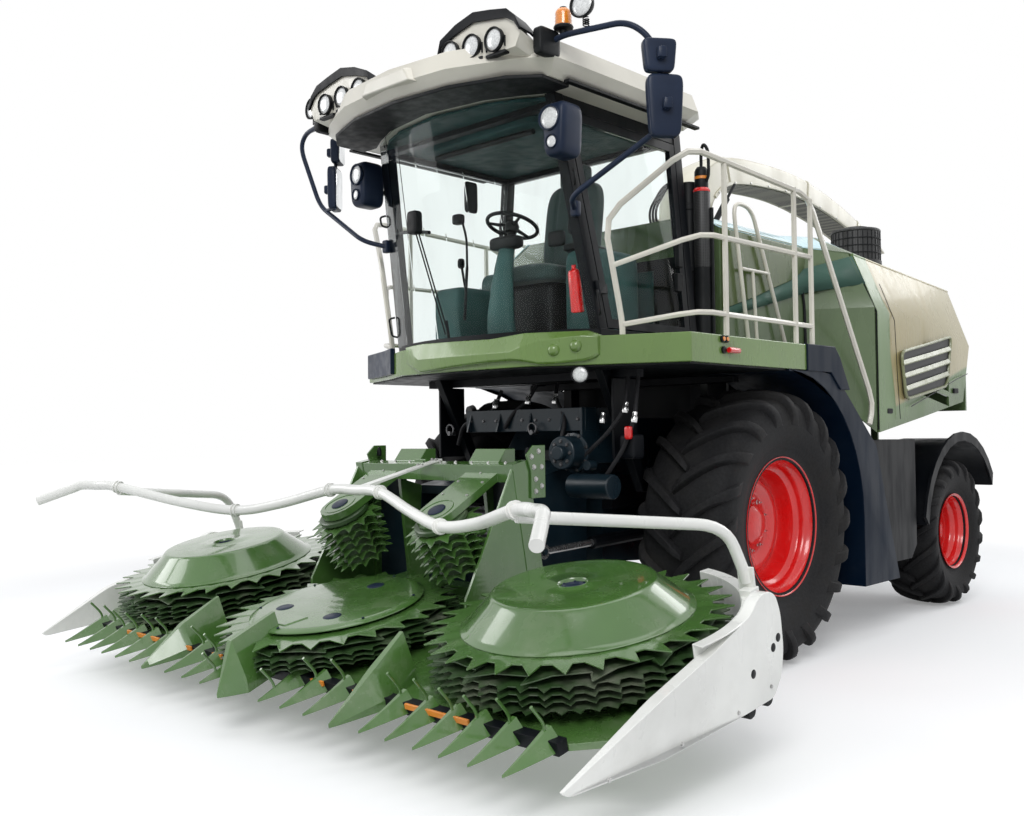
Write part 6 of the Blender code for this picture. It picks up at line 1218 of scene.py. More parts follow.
# Arms as bent tubes with padded heads that narrow by a tenth towards their foot.
def buildMirrors():
    for side, one in mirrorSets.items():
        hand = one["hand"]
        shapes = [tube(softPath(one["arm"], 0.09, 9), 0.0165, 16)]
        if one["branch"]:
            shapes.append(tube(softPath(one["branch"], 0.05, 7), 0.0125, 12))
        foot = arr(one["arm"][-1])
        shapes.append(pad(foot + (0, 0.012, 0), (0.026, 0.022, 0.045), 0.3, 20, 10))
        shapes.append(cylinder(0.026, -0.012, 0.012, one["arm"][0], (1, 0, 0), 24))
        faces = []
        for centre, wide, high in one["heads"]:
            head = pad(centre, (wide, 0.034, high), 0.3, 40, 20)
            pull = 1 - 0.1 * np.clip((centre[2] - head[0][:, 2]) / high, -1, 1)
            head = (np.column_stack([centre[0] + (head[0][:, 0] - centre[0]) * pull, head[0][:, 1],
                head[0][:, 2]]), head[1])
            shapes.append(turnedUpright(head, centre, one["turn"]))
            clamp = pad((centre[0], centre[1] - 0.045, centre[2]), (0.024, 0.03, 0.03), 0.3, 16, 8)
            shapes.append(turnedUpright(clamp, centre, one["turn"]))
            glassPlate = pad((centre[0], centre[1] + 0.033, centre[2]), (wide * 0.86, 0.003, high * 0.9),
                0.25, 40, 8)
            faces.append(turnedUpright(glassPlate, centre, one["turn"]))
        onMachine("mirror_skin_" + side, shapes, bluePlastic, slot="black", replaced=["mirror_" + side])
        onMachine("mirror_faces_" + side, faces, mirrorFace)
        # beacon and round work lamp on the arm's root
        x = hand * 1.075
        stem = [turned([(0, -0.02), (0.022, -0.02), (0.022, 0.012), (0.052, 0.016), (0.056, 0.026),
            (0.052, 0.034), (0, 0.034)], (x, -1.79, 3.725), sides=32)]
        amber = turned([(0, 0.0), (0.047, 0.0), (0.049, 0.012), (0.046, 0.02), (0.048, 0.03), (0.045, 0.038),
            (0.047, 0.048), (0.044, 0.056), (0.046, 0.066), (0.043, 0.082), (0.034, 0.094), (0.016, 0.1),
            (0, 0.101)], (x, -1.79, 3.757), sides=40)
        top = turned([(0, 0.099), (0.018, 0.1), (0.02, 0.106), (0, 0.109)], (x, -1.79, 3.757), sides=24)
        far = hand * 1.235
        turns = np.linspace(0, 2 * np.pi * 4, 96)
        coil = tube(np.column_stack([far + 0.016 * np.cos(turns), -1.79 + 0.016 * np.sin(turns),
            3.715 + turns / turns[-1] * 0.045]), 0.0035, 8)
        cup, dome = lampShapes((far, -1.825, 3.825), (0.12 * hand, -1, 0.02), 0.07, 0.055)
        onMachine("beacon_foot_" + side, stem + [top, cup, coil], blackPlastic)
        onMachine("beacon_amber_" + side, amber, amberLens)
        onMachine("work_lamp_" + side, dome, clearLens)


buildMirrors()


# Housings that narrow downward, with two lamps each.
def buildPillarLamps():
    for side, hand in bothSides:
        x = hand * 0.885
        housing = pad((x + hand * 0.012, -1.6, 3.255), (0.088, 0.1, 0.155), 0.38, 40, 20)
        housing = (np.column_stack([x + (housing[0][:, 0] - x) * (0.82
            + 0.18 * (housing[0][:, 2] - 3.1) / 0.31), housing[0][:, 1], housing[0][:, 2]]), housing[1])
        bigCup, bigLens = lampShapes((x, -1.705, 3.315), (hand * 0.1, -1, 0), 0.068, 0.05)
        smallCup, smallLens = lampShapes((x + hand * 0.012, -1.7, 3.178), (hand * 0.1, -1, 0), 0.038, 0.05)
        arm = [block((hand * 0.845 - 0.02, -1.545, 3.2), (hand * 0.845 + 0.02, -1.46, 3.225)),
            block((hand * 0.845 - 0.02, -1.56, 3.33), (hand * 0.845 + 0.02, -1.48, 3.355))]
        onMachine("pillar_lamp_housing_" + side, [housing, bigCup, smallCup], bluePlastic, slot="black")
        onMachine("pillar_lamp_lenses_" + side, [bigLens, smallLens], clearLens)
        onMachine("pillar_lamp_arms_" + side, arm, blackPlastic, bevel=0.003)


buildPillarLamps()


# Wiper, bars and handle outside; liner, column, wheel, seat, consoles and levers inside.
def buildCabDetail():
    z = arr([2.16, 2.3, 2.5, 2.7, 2.83])
    screenY = pillarY(z) - 0.285
    for k, shift in enumerate((-0.012, 0.014)):
        rod = tube(np.column_stack([np.interp(z, [2.16, 2.83], [-0.1, -0.245]) + shift, screenY, z]), 0.005,
            8)
        onMachine("wiper_rod_%d" % k, rod, blackPlastic)
    motor = joined([pad((-0.26, pillarY(2.9) - 0.275, 2.885), (0.045, 0.035, 0.075), 0.35, 24, 12),
        turned([(0, -0.03), (0.02, -0.03), (0.022, 0.03), (0, 0.03)], (-0.245, pillarY(2.83) - 0.285, 2.83),
        (0, 1, 0.15), 20)])
    onMachine("wiper_motor", motor, blackPlastic)
    blade = loft([[(-0.1 + a, pillarY(h) - 0.27 + b, h) for a, b in ((-0.012, 0.0), (-0.004, -0.012),
        (0.004, -0.012), (0.012, 0.0))] for h in (2.13, 2.19, 2.25)])
    onMachine("wiper_foot", blade, blackPlastic)
    grab = softPath([(-0.8, -1.44, 2.93), (-0.55, -1.5, 2.9), (-0.3, -1.56, 2.85)], 0.05)
    bars = [tube(grab, 0.012, 10)]
    for hand in (1, -1):
        for low, high in ((2.22, 2.36), (2.98, 3.06)):
            x = hand * (cabHalf(low) + 0.012)
            bars.append(tube(softPath([(x, pillarY(low) + 0.01, low), (x + hand * 0.03, pillarY(low) - 0.02,
                low + 0.01), (x + hand * 0.03, pillarY(high) - 0.02, high - 0.01), (x, pillarY(high) + 0.01,
                high)], 0.02), 0.007, 8))
    onMachine("cab_bars", bars, blackPlastic)
    handle = joined([block((0.862, -0.45, 2.6), (0.895, -0.4, 2.78)),
        block((0.862, -0.46, 2.44), (0.89, -0.39, 2.56))])
    onMachine("door_handle", handle, blackPlastic, "cab_door", bevel=0.006)
    # interior
    bow = [(0.0, -1.79), (0.4, -1.73), (0.6, -1.645), (0.76, -1.53), (0.765, -0.36)]
    bow += [(-x, y) for x, y in bow[::-1][:-1]]
    liner = joined([prism(bow, 3.484, 3.505), pad((0.0, -1.3, 3.455), (0.52, 0.14, 0.035), 0.3, 40, 10)])
    onMachine("headliner", liner, darkTrim, bevel=0.004)
    floorMat = block((-0.84, -1.3, 2.122), (0.84, -0.32, 2.13))
    onMachine("cab_mat", floorMat, blackPlastic)
    onMachine("cab_screen", tube([(-0.45, -1.36, 3.4), (0.45, -1.36, 3.4)], 0.018, 10), blackPlastic)
    column = [((0.0, -1.2, 2.13), 0.115, 0.075), ((0.0, -1.205, 2.3), 0.105, 0.07),
        ((0.0, -1.19, 2.5), 0.085, 0.06), ((0.0, -1.155, 2.7), 0.062, 0.05),
        ((0.0, -1.125, 2.8), 0.05, 0.045)]
    a = fullTurn(24)
    rings = [arr(c) + np.column_stack([w * np.cos(a), d * np.sin(a), 0 * a]) for c, w, d in column]
    onMachine("column_shroud", loft(rings), tealPlastic, replaced=["steering_column"])
    axis = arr((0, 0.34, 0.94))
    hub = arr((0.0, -1.085, 2.915))
    ring = [(0.172 + 0.013 * math.cos(t), 0.013 * math.sin(t)) for t in np.linspace(0, 2 * np.pi, 13)]
    wheel = [turned(ring, hub, axis, 56), turned([(0, -0.055), (0.04, -0.05), (0.048, 0.0), (0.035, 0.022),
        (0, 0.026)], hub, axis, 28), tube([(0.0, -1.12, 2.78), hub - axis * 0.04], 0.022, 14)]
    side, up = arr((1, 0, 0)), np.cross(axis, (1, 0, 0))
    for t in (np.pi / 2, np.pi / 2 + 2.09, np.pi / 2 - 2.09):
        tip = hub + 0.17 * (math.cos(t) * side + math.sin(t) * up)
        wheel.append(tube([hub - axis * 0.01, tip], [0.015, 0.009], 10))
    wheel.append(pad((0.0, -1.145, 2.79), (0.13, 0.05, 0.045), 0.45, 24, 12))
    onMachine("steering_wheel", wheel, blackPlastic)
    # seat: bellows, cushion and back with sewn channels
    ribs = arr([1.0, 0.93] * 5 + [1.0])
    levels = np.linspace(2.15, 2.52, len(ribs))
    cornerAngles = fullTurn(32)
    s = lambda q: np.sign(q) * np.abs(q) ** 0.35
    box = np.column_stack([0.23 * s(np.cos(cornerAngles)), 0.2 * s(np.sin(cornerAngles))])
    rings = [np.column_stack([0.04 + box[:, 0] * k, -0.8 + box[:, 1] * k, np.full(32, h)])
        for k, h in zip(ribs, levels)]
    onMachine("seat_bellows", loft(rings), blackPlastic, sharp=60, replaced=["operator_seat"])
    channel = lambda q: 0.01 * (np.exp(-((q - 0.115) / 0.01) ** 2) + np.exp(-((q + 0.115) / 0.01) ** 2))
    cushion = pad((0.04, -0.82, 2.585), (0.245, 0.245, 0.062), 0.42, 96, 48)
    p = cushion[0]
    lift = np.clip((p[:, 2] - 2.585) / 0.062, 0, 1)
    crown = 0.014 * (1 - ((p[:, 0] - 0.04) / 0.25) ** 2)
    p = p + np.column_stack([0 * lift, 0 * lift, lift * (crown - channel(p[:, 0] - 0.04))])
    seat = onMachine("seat_cushion", (p, cushion[1]), seatCloth, sharp=80)
    back = pad((0.04, -0.545, 2.955), (0.235, 0.06, 0.335), 0.42, 96, 56)
    p = back[0]
    front = np.clip((-0.545 - p[:, 1]) / 0.06, 0, 1)
    p = p + np.column_stack([0 * front, front * (channel(p[:, 0] - 0.04) - 0.012) + (p[:, 2] - 2.62) * 0.14,
        0 * front])
    rest = onMachine("seat_back", (p, back[1]), seatCloth, sharp=80)
    head = pad((0.04, -0.465, 3.335), (0.125, 0.045, 0.085), 0.45, 64, 32)
    onMachine("seat_head_rest", head, seatCloth, sharp=80)
    consoles = [pad((-0.52, -0.98, 2.33), (0.13, 0.24, 0.215), 0.22, 32, 14),
        pad((-0.42, -0.62, 2.4), (0.16, 0.22, 0.28), 0.25, 32, 14),
        pad((0.47, -0.72, 2.42), (0.12, 0.26, 0.3), 0.25, 32, 14)]
    onMachine("cab_consoles", consoles, tealPlastic)
    knobs = [tube([(-0.52, -1.02, 2.52), (-0.53, -1.05, 2.7)], 0.009, 10),
        pad((-0.532, -1.055, 2.73), (0.022, 0.022, 0.036), 0.6, 16, 10),
        tube([(0.42, -0.9, 2.68), (0.41, -0.93, 2.82)], 0.01, 10),
        pad((0.405, -0.94, 2.87), (0.026, 0.032, 0.052), 0.6, 16, 10),
        pad((0.4, -0.8, 2.735), (0.065, 0.18, 0.028), 0.35, 24, 10),
        pad((0.3, -0.98, 2.8), (0.065, 0.02, 0.05), 0.3, 20, 10),
        tube(softPath([(-0.3, -1.22, 2.62), (-0.28, -1.24, 2.85), (-0.33, -1.25, 3.02)], 0.06), 0.008, 8),
        pad((-0.235, -1.24, 3.12), (0.012, 0.055, 0.105), 0.3, 16, 10),
        pad((-0.36, -1.24, 2.99), (0.04, 0.03, 0.035), 0.4, 16, 10),
        tube([(-0.33, -1.22, 2.3), (-0.3, -1.22, 2.66)], 0.01, 8)]
    onMachine("cab_levers", knobs, blackPlastic)
    bottle = turned([(0, 0), (0.036, 0.0), (0.04, 0.006), (0.04, 0.23), (0.034, 0.25), (0.014, 0.262),
        (0.014, 0.285), (0, 0.287)], (0.74, -1.3, 2.25), (0.05, -0.18, 1), 28)
    onMachine("cab_bottle", bottle, redPaint)
    hooks = joined([tube([(0.8, -1.27, 2.3), (0.72, -1.3, 2.32)], 0.007, 8),
        tube([(0.8, -1.31, 2.46), (0.73, -1.34, 2.46)], 0.007, 8),
        block((-0.66, -0.34, 2.16), (0.6, -0.325, 2.62))])
    onMachine("cab_back_trim", hooks, darkTrim, bevel=0.003)


buildCabDetail()


# The deck's outline with its front fascia: six rows read at each x and joined.
def buildDeck():
    under = np.concatenate([deckFront * (0.985, 0.985), [(1.428, 0.32), (-1.428, 0.32)]])
    onMachine("deck_under", prism(under, 1.91, 1.921), blackPlastic)
    half = [(0.0, -1.614), (0.58, -1.578), (1.0, -1.35), (1.45, -1.156), (1.45, 0.34), (0.986, 0.34),
        (0.986, -0.012)]
    outline = half + [(-x, y) for x, y in half[::-1] if x > 0]
    onMachine("deck_skin", prism(outline, 1.92, 2.09), fasciaPaint, bevel=0.006, replaced=["platform"])
    x = arr([-0.52, -0.44, -0.335, 0.0, 0.29, 0.48, 0.56, 0.66, 0.75, 0.83, 0.9, 0.945, 0.965])
    front = np.interp(x, deckFront[:, 0], deckFront[:, 1])
    top = np.interp(x, [-0.52, -0.38, 0.18, 0.37, 0.52, 0.91, 0.965], [2.105, 2.118, 2.104, 2.1, 2.12, 2.12,
        2.094])
    crease = np.interp(x, [-0.52, -0.33, 0.48, 0.66, 0.83, 0.92, 0.965], [2.09, 2.009, 2.009, 2.065, 2.084,
        2.088, 2.08])
    low = np.interp(x, [-0.52, -0.34, 0.29, 0.51, 0.68, 0.93, 0.965], [2.0, 1.926, 1.957, 1.96, 1.924, 1.944,
        1.979])
    out = np.interp(x, [-0.52, -0.4, -0.33, 0.93, 0.965], [0.006, 0.03, 0.048, 0.048, 0.03])
    rings = np.stack([np.stack([x, front + 0.02, top], -1), np.stack([x, front - 0.01, top], -1),
        np.stack([x, front - out, crease], -1), np.stack([x, front - out * 0.86, low + 0.012], -1),
        np.stack([x, front - out * 0.6, low], -1), np.stack([x, front + 0.02, low], -1)], 1)
    onMachine("fascia_relief", loft(rings), fasciaPaint, bevel=0.005, sharp=18)
    aim = arr((0.477, -0.879, 0.0))
    domes = [turned([(0, 0.03), (0.012, 0.029), (0.024, 0.023), (0.033, 0.013), (0.037, 0.0), (0.046, 0.0),
        (0.048, -0.004), (0, -0.004)], place, aim, 40) for place in ((0.745, -1.532, 2.01), (0.862, -1.47,
        2.03))]
    onMachine("fascia_domes", domes, fasciaPaint)
    x = arr([-1.4, -1.0, -0.78])
    y = np.interp(x, deckFront[:, 0], deckFront[:, 1])
    box = loft(np.stack([np.stack([x, y + 0.01, 0 * x + 1.945], -1), np.stack([x, y - 0.035, 0 * x + 1.945],
        -1), np.stack([x, y - 0.035, 0 * x + 2.125], -1), np.stack([x, y + 0.01, 0 * x + 2.125], -1)], 1))
    onMachine("fascia_box", box, bluePlastic, slot="black", bevel=0.008)
    cup, dome = lampShapes((0.845, -1.415, 1.866), aim, 0.05, 0.06)
    onMachine("deck_lamp_cup", [cup, block((0.82, -1.4, 1.88), (0.84, -1.36, 1.925))], blackPlastic)
    onMachine("deck_lamp_lens", dome, clearLens)
    socket = [(0, 0.0), (0.02, 0.0), (0.022, 0.004), (0.022, 0.014), (0.016, 0.016), (0, 0.016)]
    plugs = [turned(socket, (1.449, y, z), (1, 0, 0), 24) for y, z in ((-0.835, 2.065), (-0.795, 2.065),
        (-0.825, 2.0))]
    onMachine("deck_plugs", plugs, blackPlastic)
    caps = [turned([(0, 0.0), (0.012, 0.0), (0.012, 0.02), (0, 0.021)], (1.449, y, z), (1, 0, 0), 20)
        for y, z in ((-0.835, 2.065), (-0.795, 2.065))]
    onMachine("plug_caps", caps, amberLens)
    valve = joined([turned([(0, 0), (0.014, 0.0), (0.017, 0.004), (0.017, 0.11), (0.014, 0.116), (0, 0.116)],
        (1.474, -0.8, 2.0), (0, 1, 0), 24), block((1.449, -0.72, 1.99), (1.474, -0.7, 2.01))])
    onMachine("deck_valve", valve, redPaint)
    braces = [prism([(-1.12, 1.925), (-1.02, 1.925), (-0.62, 1.14), (-0.7, 1.14)], hand * 0.735 - 0.03,
        hand * 0.735 + 0.03, "yzx") for hand in (1, -1)]
    braces += [block((hand * 0.6 - 0.04, 0.16, 1.19), (hand * 0.6 + 0.04, 0.26, 1.925)) for hand in (1, -1)]
    braces += [block((-0.95, -1.0, 1.86), (0.95, -0.93, 1.925)),
        block((-0.95, 0.1, 1.86), (0.95, 0.17, 1.925))]
    onMachine("deck_braces", braces, blackPaint, bevel=0.004)


buildDeck()
print("cab, mirrors and deck ready")

doorGrid = {"low": arr([(1.41, 1.364, 1.5), (1.396, 2.217, 1.62), (1.368, 3.156, 1.755)]),
    "mid": arr([(1.41, 1.364, 2.4), (1.41, 2.217, 2.4), (1.354, 3.365, 2.25)]),
    "top": arr([(1.234, 1.364, 2.82), (1.227, 2.217, 2.775), (1.206, 3.296, 2.708)])}


# Distance of the door's outer face from the middle plane: each grid row is read at y,
# then the three readings are joined by straight lines in z.
def doorX(y, z):
    rows = [(np.interp(y, g[:, 1], g[:, 0]), np.interp(y, g[:, 1], g[:, 2])) for g in doorGrid.values()]
    (x0, z0), (x1, z1), (x2, z2) = rows
    lower = x0 + (x1 - x0) * np.clip((z - z0) / (z1 - z0), 0, 1)
    return lower + (x2 - x1) * np.clip((z - z1) / (z2 - z1), 0, 1)


# Points (y, z) laid on the door at a distance out.
def onDoor(line, out):
    p = arr(line)
    return np.column_stack([doorX(p[:, 0], p[:, 1]) + 0.02 + out, p[:, 0], p[:, 1]])


# A closed loop with its corners rounded by bend.
def roundLoop(corners, bend):
    c = arr(corners)
    start = (c[:1] + c[1:2]) / 2
    return softPath(np.concatenate([start, c[1:], c[:1], start]), bend, 6)


# Side panels, vents with slats, hatches, air screen and exhaust.
def buildBodyDetail():
    for side, hand in bothSides:
        put = maker(lambda p: fromAxle(p * arr((hand, 1, 1))))
        edge = [(0.979, -0.088, 2.9), (0.979, 0.5, 2.9), (0.979, 1.055, 2.9), (1.1, 1.2, 2.88),
            (1.18, 1.34, 2.865), (1.12, 1.8, 2.872)]
        crown = [(0.775, -0.088, 3.018), (0.775, 0.5, 3.018), (0.775, 1.06, 3.018), (0.88, 1.22, 3.018),
            (0.955, 1.36, 3.014), (1.075, 1.82, 2.905)]
        put("hood_stripe_" + side, sheet([edge, crown]), stripePaint, wall=0.008, bevel=0.002)
        front = softPath([(-0.084, 2.888), (1.06, 2.888), (1.06, 2.738), (0.865, 2.632), (0.67, 2.575),
            (0.3, 2.452), (-0.084, 2.345)], 0.1, 6)
        plate = prism(front, 0.984, 1.002, "yzx")
        put("side_plate_" + side, plate, oliveGreen, bevel=0.005)
        upper = [(0.994, -0.084, 2.345), (0.994, 0.3, 2.452), (0.994, 0.67, 2.575), (0.997, 1.055, 2.738),
            (1.24, 1.335, 2.835)]
        lower = [(0.998, -0.084, 2.285), (0.998, 0.3, 2.375), (0.998, 0.67, 2.46), (1.001, 1.055, 2.555),
            (1.345, 1.335, 2.615)]
        put("side_recess_" + side, sheet([upper, lower]), recessPaint, wall=0.008, sharp=4)
        seam = [(0.995, 1.02, 2.56), (0.996, 1.045, 2.44), (0.998, 1.05, 2.12)]
        seams = [tube(softPath(seam, 0.05), 0.011, 8),
            tube([(1.418, 1.347, 1.52), (1.418, 1.347, 2.4), (1.232, 1.347, 2.835)], 0.006, 6)]
        put("side_seams_" + side, seams, blackPlastic)
        # vent: dark panel in a rounded pale frame with three slanted slats, all on the door
        corners = [(1.72, 2.115), (2.8, 2.3), (2.68, 1.88), (1.8, 1.752)]
        loop = roundLoop(corners, 0.07)
        rim = tube(onDoor(loop, 0.016), 0.0125, 8)
        dark = onDoor(loop[:-1], 0.01)
        back = (np.concatenate([dark, dark - (0.012, 0, 0)]), slabFaces(len(dark)))
        body = "engine_door_" + side
        put("vent_rim_" + side, rim, slatPaint, body)
        put("vent_back_" + side, back, ventMesh, body)
        slats = []
        for k in range(3):
            low = 1.795 + 0.098 * k
            y0, y1 = 1.785 - 0.028 * k, 2.7 + 0.028 * k
            line = np.column_stack([np.linspace(y0, y1, 12), low + 0.03 + np.linspace(0, 0.15 + 0.008 * k,
                12)])
            out = onDoor(line, 0.012)
            slats.append(loft([[p + (0.0, 0, 0.0), p + (0.022, 0, -0.012), p + (0.024, 0, -0.004),
                p + (0.006, 0, 0.03)] for p in out]))
        put("vent_slats_" + side, slats, slatPaint, body, bevel=0.003)
        cut = [tube(onDoor([(1.92, 1.7), (2.4, 1.815), (2.95, 1.945), (3.22, 2.0)], 0.0098), 0.004, 6),
            tube(onDoor([(1.6, 2.64), (1.62, 2.35), (1.66, 1.9), (1.7, 1.6)], 0.0085), 0.003, 6)]
        put("door_lines_" + side, cut, blackPlastic, body)
        catch = [pad((1.385, 2.95, 1.845), (0.016, 0.05, 0.022), 0.35, 20, 10),
            pad((1.412, 1.55, 1.66), (0.012, 0.05, 0.02), 0.35, 20, 10)]
        put("door_catches_" + side, catch, blackPlastic, body)
        panel = [(0.19, 2.094), (0.585, 2.094), (0.66, 2.02), (0.8, 1.8), (0.66, 1.8), (0.52, 1.915),
            (0.19, 1.915)]
        put("fender_top_" + side, prism(panel, 1.2, 1.462, "yzx"), navyPaint, bevel=0.006)
    # hood top: hatch lines, grab handle and the round air screen
    lines = [tube([(-0.7, y, 3.02), (0.7, y, 3.02)], 0.005, 6) for y in (1.42, 2.35)]
    onMachine("hood_lines", lines, blackPlastic)
    hatch = [pad((0, 1.88, 3.018), (0.46, 0.34, 0.022), 0.22, 48, 8),
        pad((-0.52, 0.22, 3.018), (0.16, 0.12, 0.02), 0.25, 32, 8),
        pad((0.52, 0.22, 3.018), (0.16, 0.12, 0.02), 0.25, 32, 8)]
    onMachine("hood_hatches", hatch, bodyGreen)
    screen = [(0, 0.34), (0.11, 0.34), (0.125, 0.335), (0.13, 0.32), (0.205, 0.315), (0.214, 0.305),
        (0.214, 0.292), (0.207, 0.285), (0.207, 0.035), (0.218, 0.03), (0.218, 0.0), (0, 0.0)]
    onMachine("air_screen", turned(screen, (0.62, 2.74, 2.99), sides=64), ventMesh)
    ribs = []
    for t in 2 * np.pi * np.arange(30) / 30:
        c, s = math.cos(t), math.sin(t)
        ribs.append(tube([(0.62 + 0.209 * c, 2.74 + 0.209 * s, 3.02), (0.62 + 0.209 * c, 2.74 + 0.209 * s,
            3.285)], 0.004, 6))
    ribs += [turned([(0.205, z), (0.2145, z), (0.2145, z + 0.008), (0.205, z + 0.008), (0.205, z)],
        (0.62, 2.74, 2.99), sides=64) for z in (0.09, 0.155, 0.22)]
    onMachine("air_screen_ribs", ribs, blackPlastic)
    pipe = turned([(0, 0), (0.07, 0), (0.07, 0.02), (0.062, 0.03), (0.062, 0.21), (0.067, 0.22),
        (0.067, 0.235), (0.052, 0.235), (0.05, 0.2), (0, 0.2)], (-0.6, 2.62, 2.985), sides=40)
    onMachine("exhaust_pipe", pipe, darkSteel)


buildBodyDetail()


# Turned pipes beside the cab and the mesh cylinder with its rings.
def buildStacks():
    y = -0.185
    left = [turned([(0, 2.092), (0.066, 2.092), (0.066, 2.11), (0.052, 2.12), (0.052, 2.6), (0.057, 2.605),
        (0.057, 2.64), (0.052, 2.645), (0.052, 3.02), (0.057, 3.025), (0.057, 3.06), (0.052, 3.065),
        (0.052, 3.21), (0, 3.21)], (0.8, y, 0), sides=36)]
    left.append(turned([(0, 2.092), (0.06, 2.092), (0.056, 2.11), (0.056, 2.62), (0, 2.62)], (0.905, y, 0),
        sides=36))
    left.append(turned([(0, 3.15), (0.044, 3.15), (0.046, 3.16), (0.046, 3.27), (0.04, 3.285), (0.03, 3.3),
        (0, 3.302)], (0.905, y, 0), sides=36))
    left.append(tube(softPath([(0.905, y, 3.29), (0.905, y, 3.4), (0.93, y - 0.01, 3.46),
        (0.975, y - 0.02, 3.4), (0.97, y - 0.01, 3.22), (0.915, y, 3.17)], 0.045), 0.011, 10))
    left.append(tube(softPath([(0.83, y + 0.05, 3.16), (0.9, y + 0.075, 3.05), (0.93, y + 0.085, 2.7),
        (0.93, y + 0.085, 2.1)], 0.05), 0.01, 10))
    left.append(tube([(0.97, y + 0.02, 2.1), (0.97, y + 0.02, 3.02)], 0.012, 10))
    onMachine("stack_black", left, blackPlastic, replaced=["intake_stack"])
    mesh = turned([(0, 2.62), (0.0545, 2.62), (0.0575, 2.63), (0.0575, 3.125), (0.053, 3.135), (0, 3.135)],
        (0.905, y, 0), sides=44)
    onMachine("stack_mesh", mesh, ventMesh)
    ring = [turned([(0.045, 3.13), (0.058, 3.13), (0.059, 3.142), (0.05, 3.156), (0.045, 3.156),
        (0.045, 3.13)], (0.905, y, 0), sides=44)]
    onMachine("stack_red_ring", ring, redPaint)
    band = turned([(0.045, 3.215), (0.0475, 3.217), (0.0475, 3.235), (0.045, 3.237), (0.045, 3.215)],
        (0.905, y, 0), sides=44)
    onMachine("stack_orange_ring", band, orangePaint)


buildStacks()


# Bent tubes over the walkway, mirrored, with round feet.
def buildHoops():
    shapes = []
    for hand in (1, -1):
        x = 1.035
        frameLine = softPath([(x, 0.175, 2.09), (x, 0.0, 3.035), (x, 0.07, 3.08), (x, 0.24, 3.055),
            (x, 0.7, 2.09)], 0.1, 9)
        parts = [tube(frameLine, 0.0145, 14), tube([(x, 0.095, 2.632), (x, 0.455, 2.632)], 0.0125, 12),
            tube([(x, 0.235, 2.632), (x, 0.285, 2.09)], 0.0125, 12)]
        shapes += [p if hand > 0 else mirrorX(p) for p in parts]
    onMachine("walkway_hoops", shapes, creamPaint)
    feet = [cylinder(0.03, 0, 0.008, (hand * 1.035, y, 2.0895), sides=24) for hand in (1, -1)
        for y in (0.175, 0.285, 0.7)]
    onMachine("hoop_feet", feet, creamPaint)


buildHoops()

chute = {"line": [(0.95, 3.151), (0.95, 3.368), (1.105, 3.573), (1.415, 3.709), (2.004, 3.771),
    (2.655, 3.771), (3.368, 3.672), (4.05, 3.498)], "deep": (0.143, 0.1365, 0.13, 0.12, 0.112, 0.107, 0.099,
    0.091), "wide": (0.18, 0.18, 0.18, 0.171, 0.162, 0.151, 0.14, 0.13)}


# Chute rings: the centre line is a Catmull-Rom curve; at each place the section has a
# crowned top, upright cheeks and small flanges along its lower edge.
def buildSpout():
    line = smoothPath(chute["line"], 6)
    t = np.linspace(0, 1, len(line)) * (len(chute["deep"]) - 1)
    deep, wide = np.interp(t, range(8), chute["deep"]), np.interp(t, range(8), chute["wide"])
    along = np.gradient(line, axis=0)
    along /= np.linalg.norm(along, axis=1, keepdims=True)
    up = np.column_stack([-along[:, 1], along[:, 0]])
    up[0] = (-1.0, 0.0)

    def rings(section, pick):
        s = arr(section)
        centre, d, w, u = line[pick], deep[pick], wide[pick], up[pick]
        x = w[:, None] * s[None, :, 0]
        yz = centre[:, None] + u[:, None] * (d[:, None] * s[None, :, 1])[..., None]
        return np.concatenate([x[..., None], yz], -1)

    whole = slice(0, len(line))
    shell = [(-1.0, -1.0), (1.0, -1.0), (1.0, 0.5), (0.94, 0.76), (0.78, 0.9), (0.4, 1.0), (-0.4, 1.0),
        (-0.78, 0.9), (-0.94, 0.76), (-1.0, 0.5)]
    onMachine("spout_skin", loft(rings(shell, whole)), spoutPaint, "spout", bevel=0.004, replaced=["spout"])
    # Underside sheet in the dark cream mesh: painted shade under the spout.
    under = [(-0.86, -1.045), (0.86, -1.045), (0.86, -0.96), (-0.86, -0.96)]
    onMachine("spout_under", loft(rings(under, slice(12, len(line) - 2))), shadedCreamMesh, "spout")
    flange = [(-1.07, -1.03), (-0.98, -1.03), (-0.98, -0.8), (-1.07, -0.8)]
    sides = [loft(rings([(s * a, b) for a, b in flange], slice(10, len(line) - 1))) for s in (1, -1)]
    bandLine = [(-1.06, -1.05), (1.06, -1.05), (1.06, 0.52), (0.99, 0.81), (0.82, 0.955), (0.42, 1.06),
        (-0.42, 1.06), (-0.82, 0.955), (-0.99, 0.81), (-1.06, 0.52)]
    for start in (17, 31, len(line) - 3):
        two = rings(bandLine, slice(start, start + 2))
        two[1] = two[0] + (two[1] - two[0]) * 0.3
        sides.append(loft(two))
    onMachine("spout_flanges", sides, spoutPaint, "spout", bevel=0.003)
    studs = rings([(-1.08, -0.92), (1.08, -0.92)], slice(12, len(line) - 2, 3))
    side = np.sign(studs[..., 0]).reshape(-1)
    aim = np.column_stack([side, 0 * side, 0 * side])
    onMachine("spout_studs", bolts(studs.reshape(-1, 3), aim, 0.009, 0.006), plainSteel, "spout")
    hoses = [tube(softPath([(-0.15 + 0.03 * k, 0.74, 3.09), (-0.18 + 0.03 * k, 0.7, 3.3),
        (-0.1 + 0.03 * k, 0.8, 3.52), (-0.06 + 0.03 * k, 1.02, 3.6)], 0.08), 0.01, 8) for k in range(3)]
    onMachine("spout_hoses", hoses, hoseRubber, "spout")
    ram = [tube([(0.235, 0.97, 3.13), (0.235, 1.22, 3.42)], 0.024, 16),
        tube([(0.235, 1.22, 3.42), (0.235, 1.34, 3.56)], 0.012, 12)]
    onMachine("spout_ram", ram, blackPaint, "spout")


buildSpout()


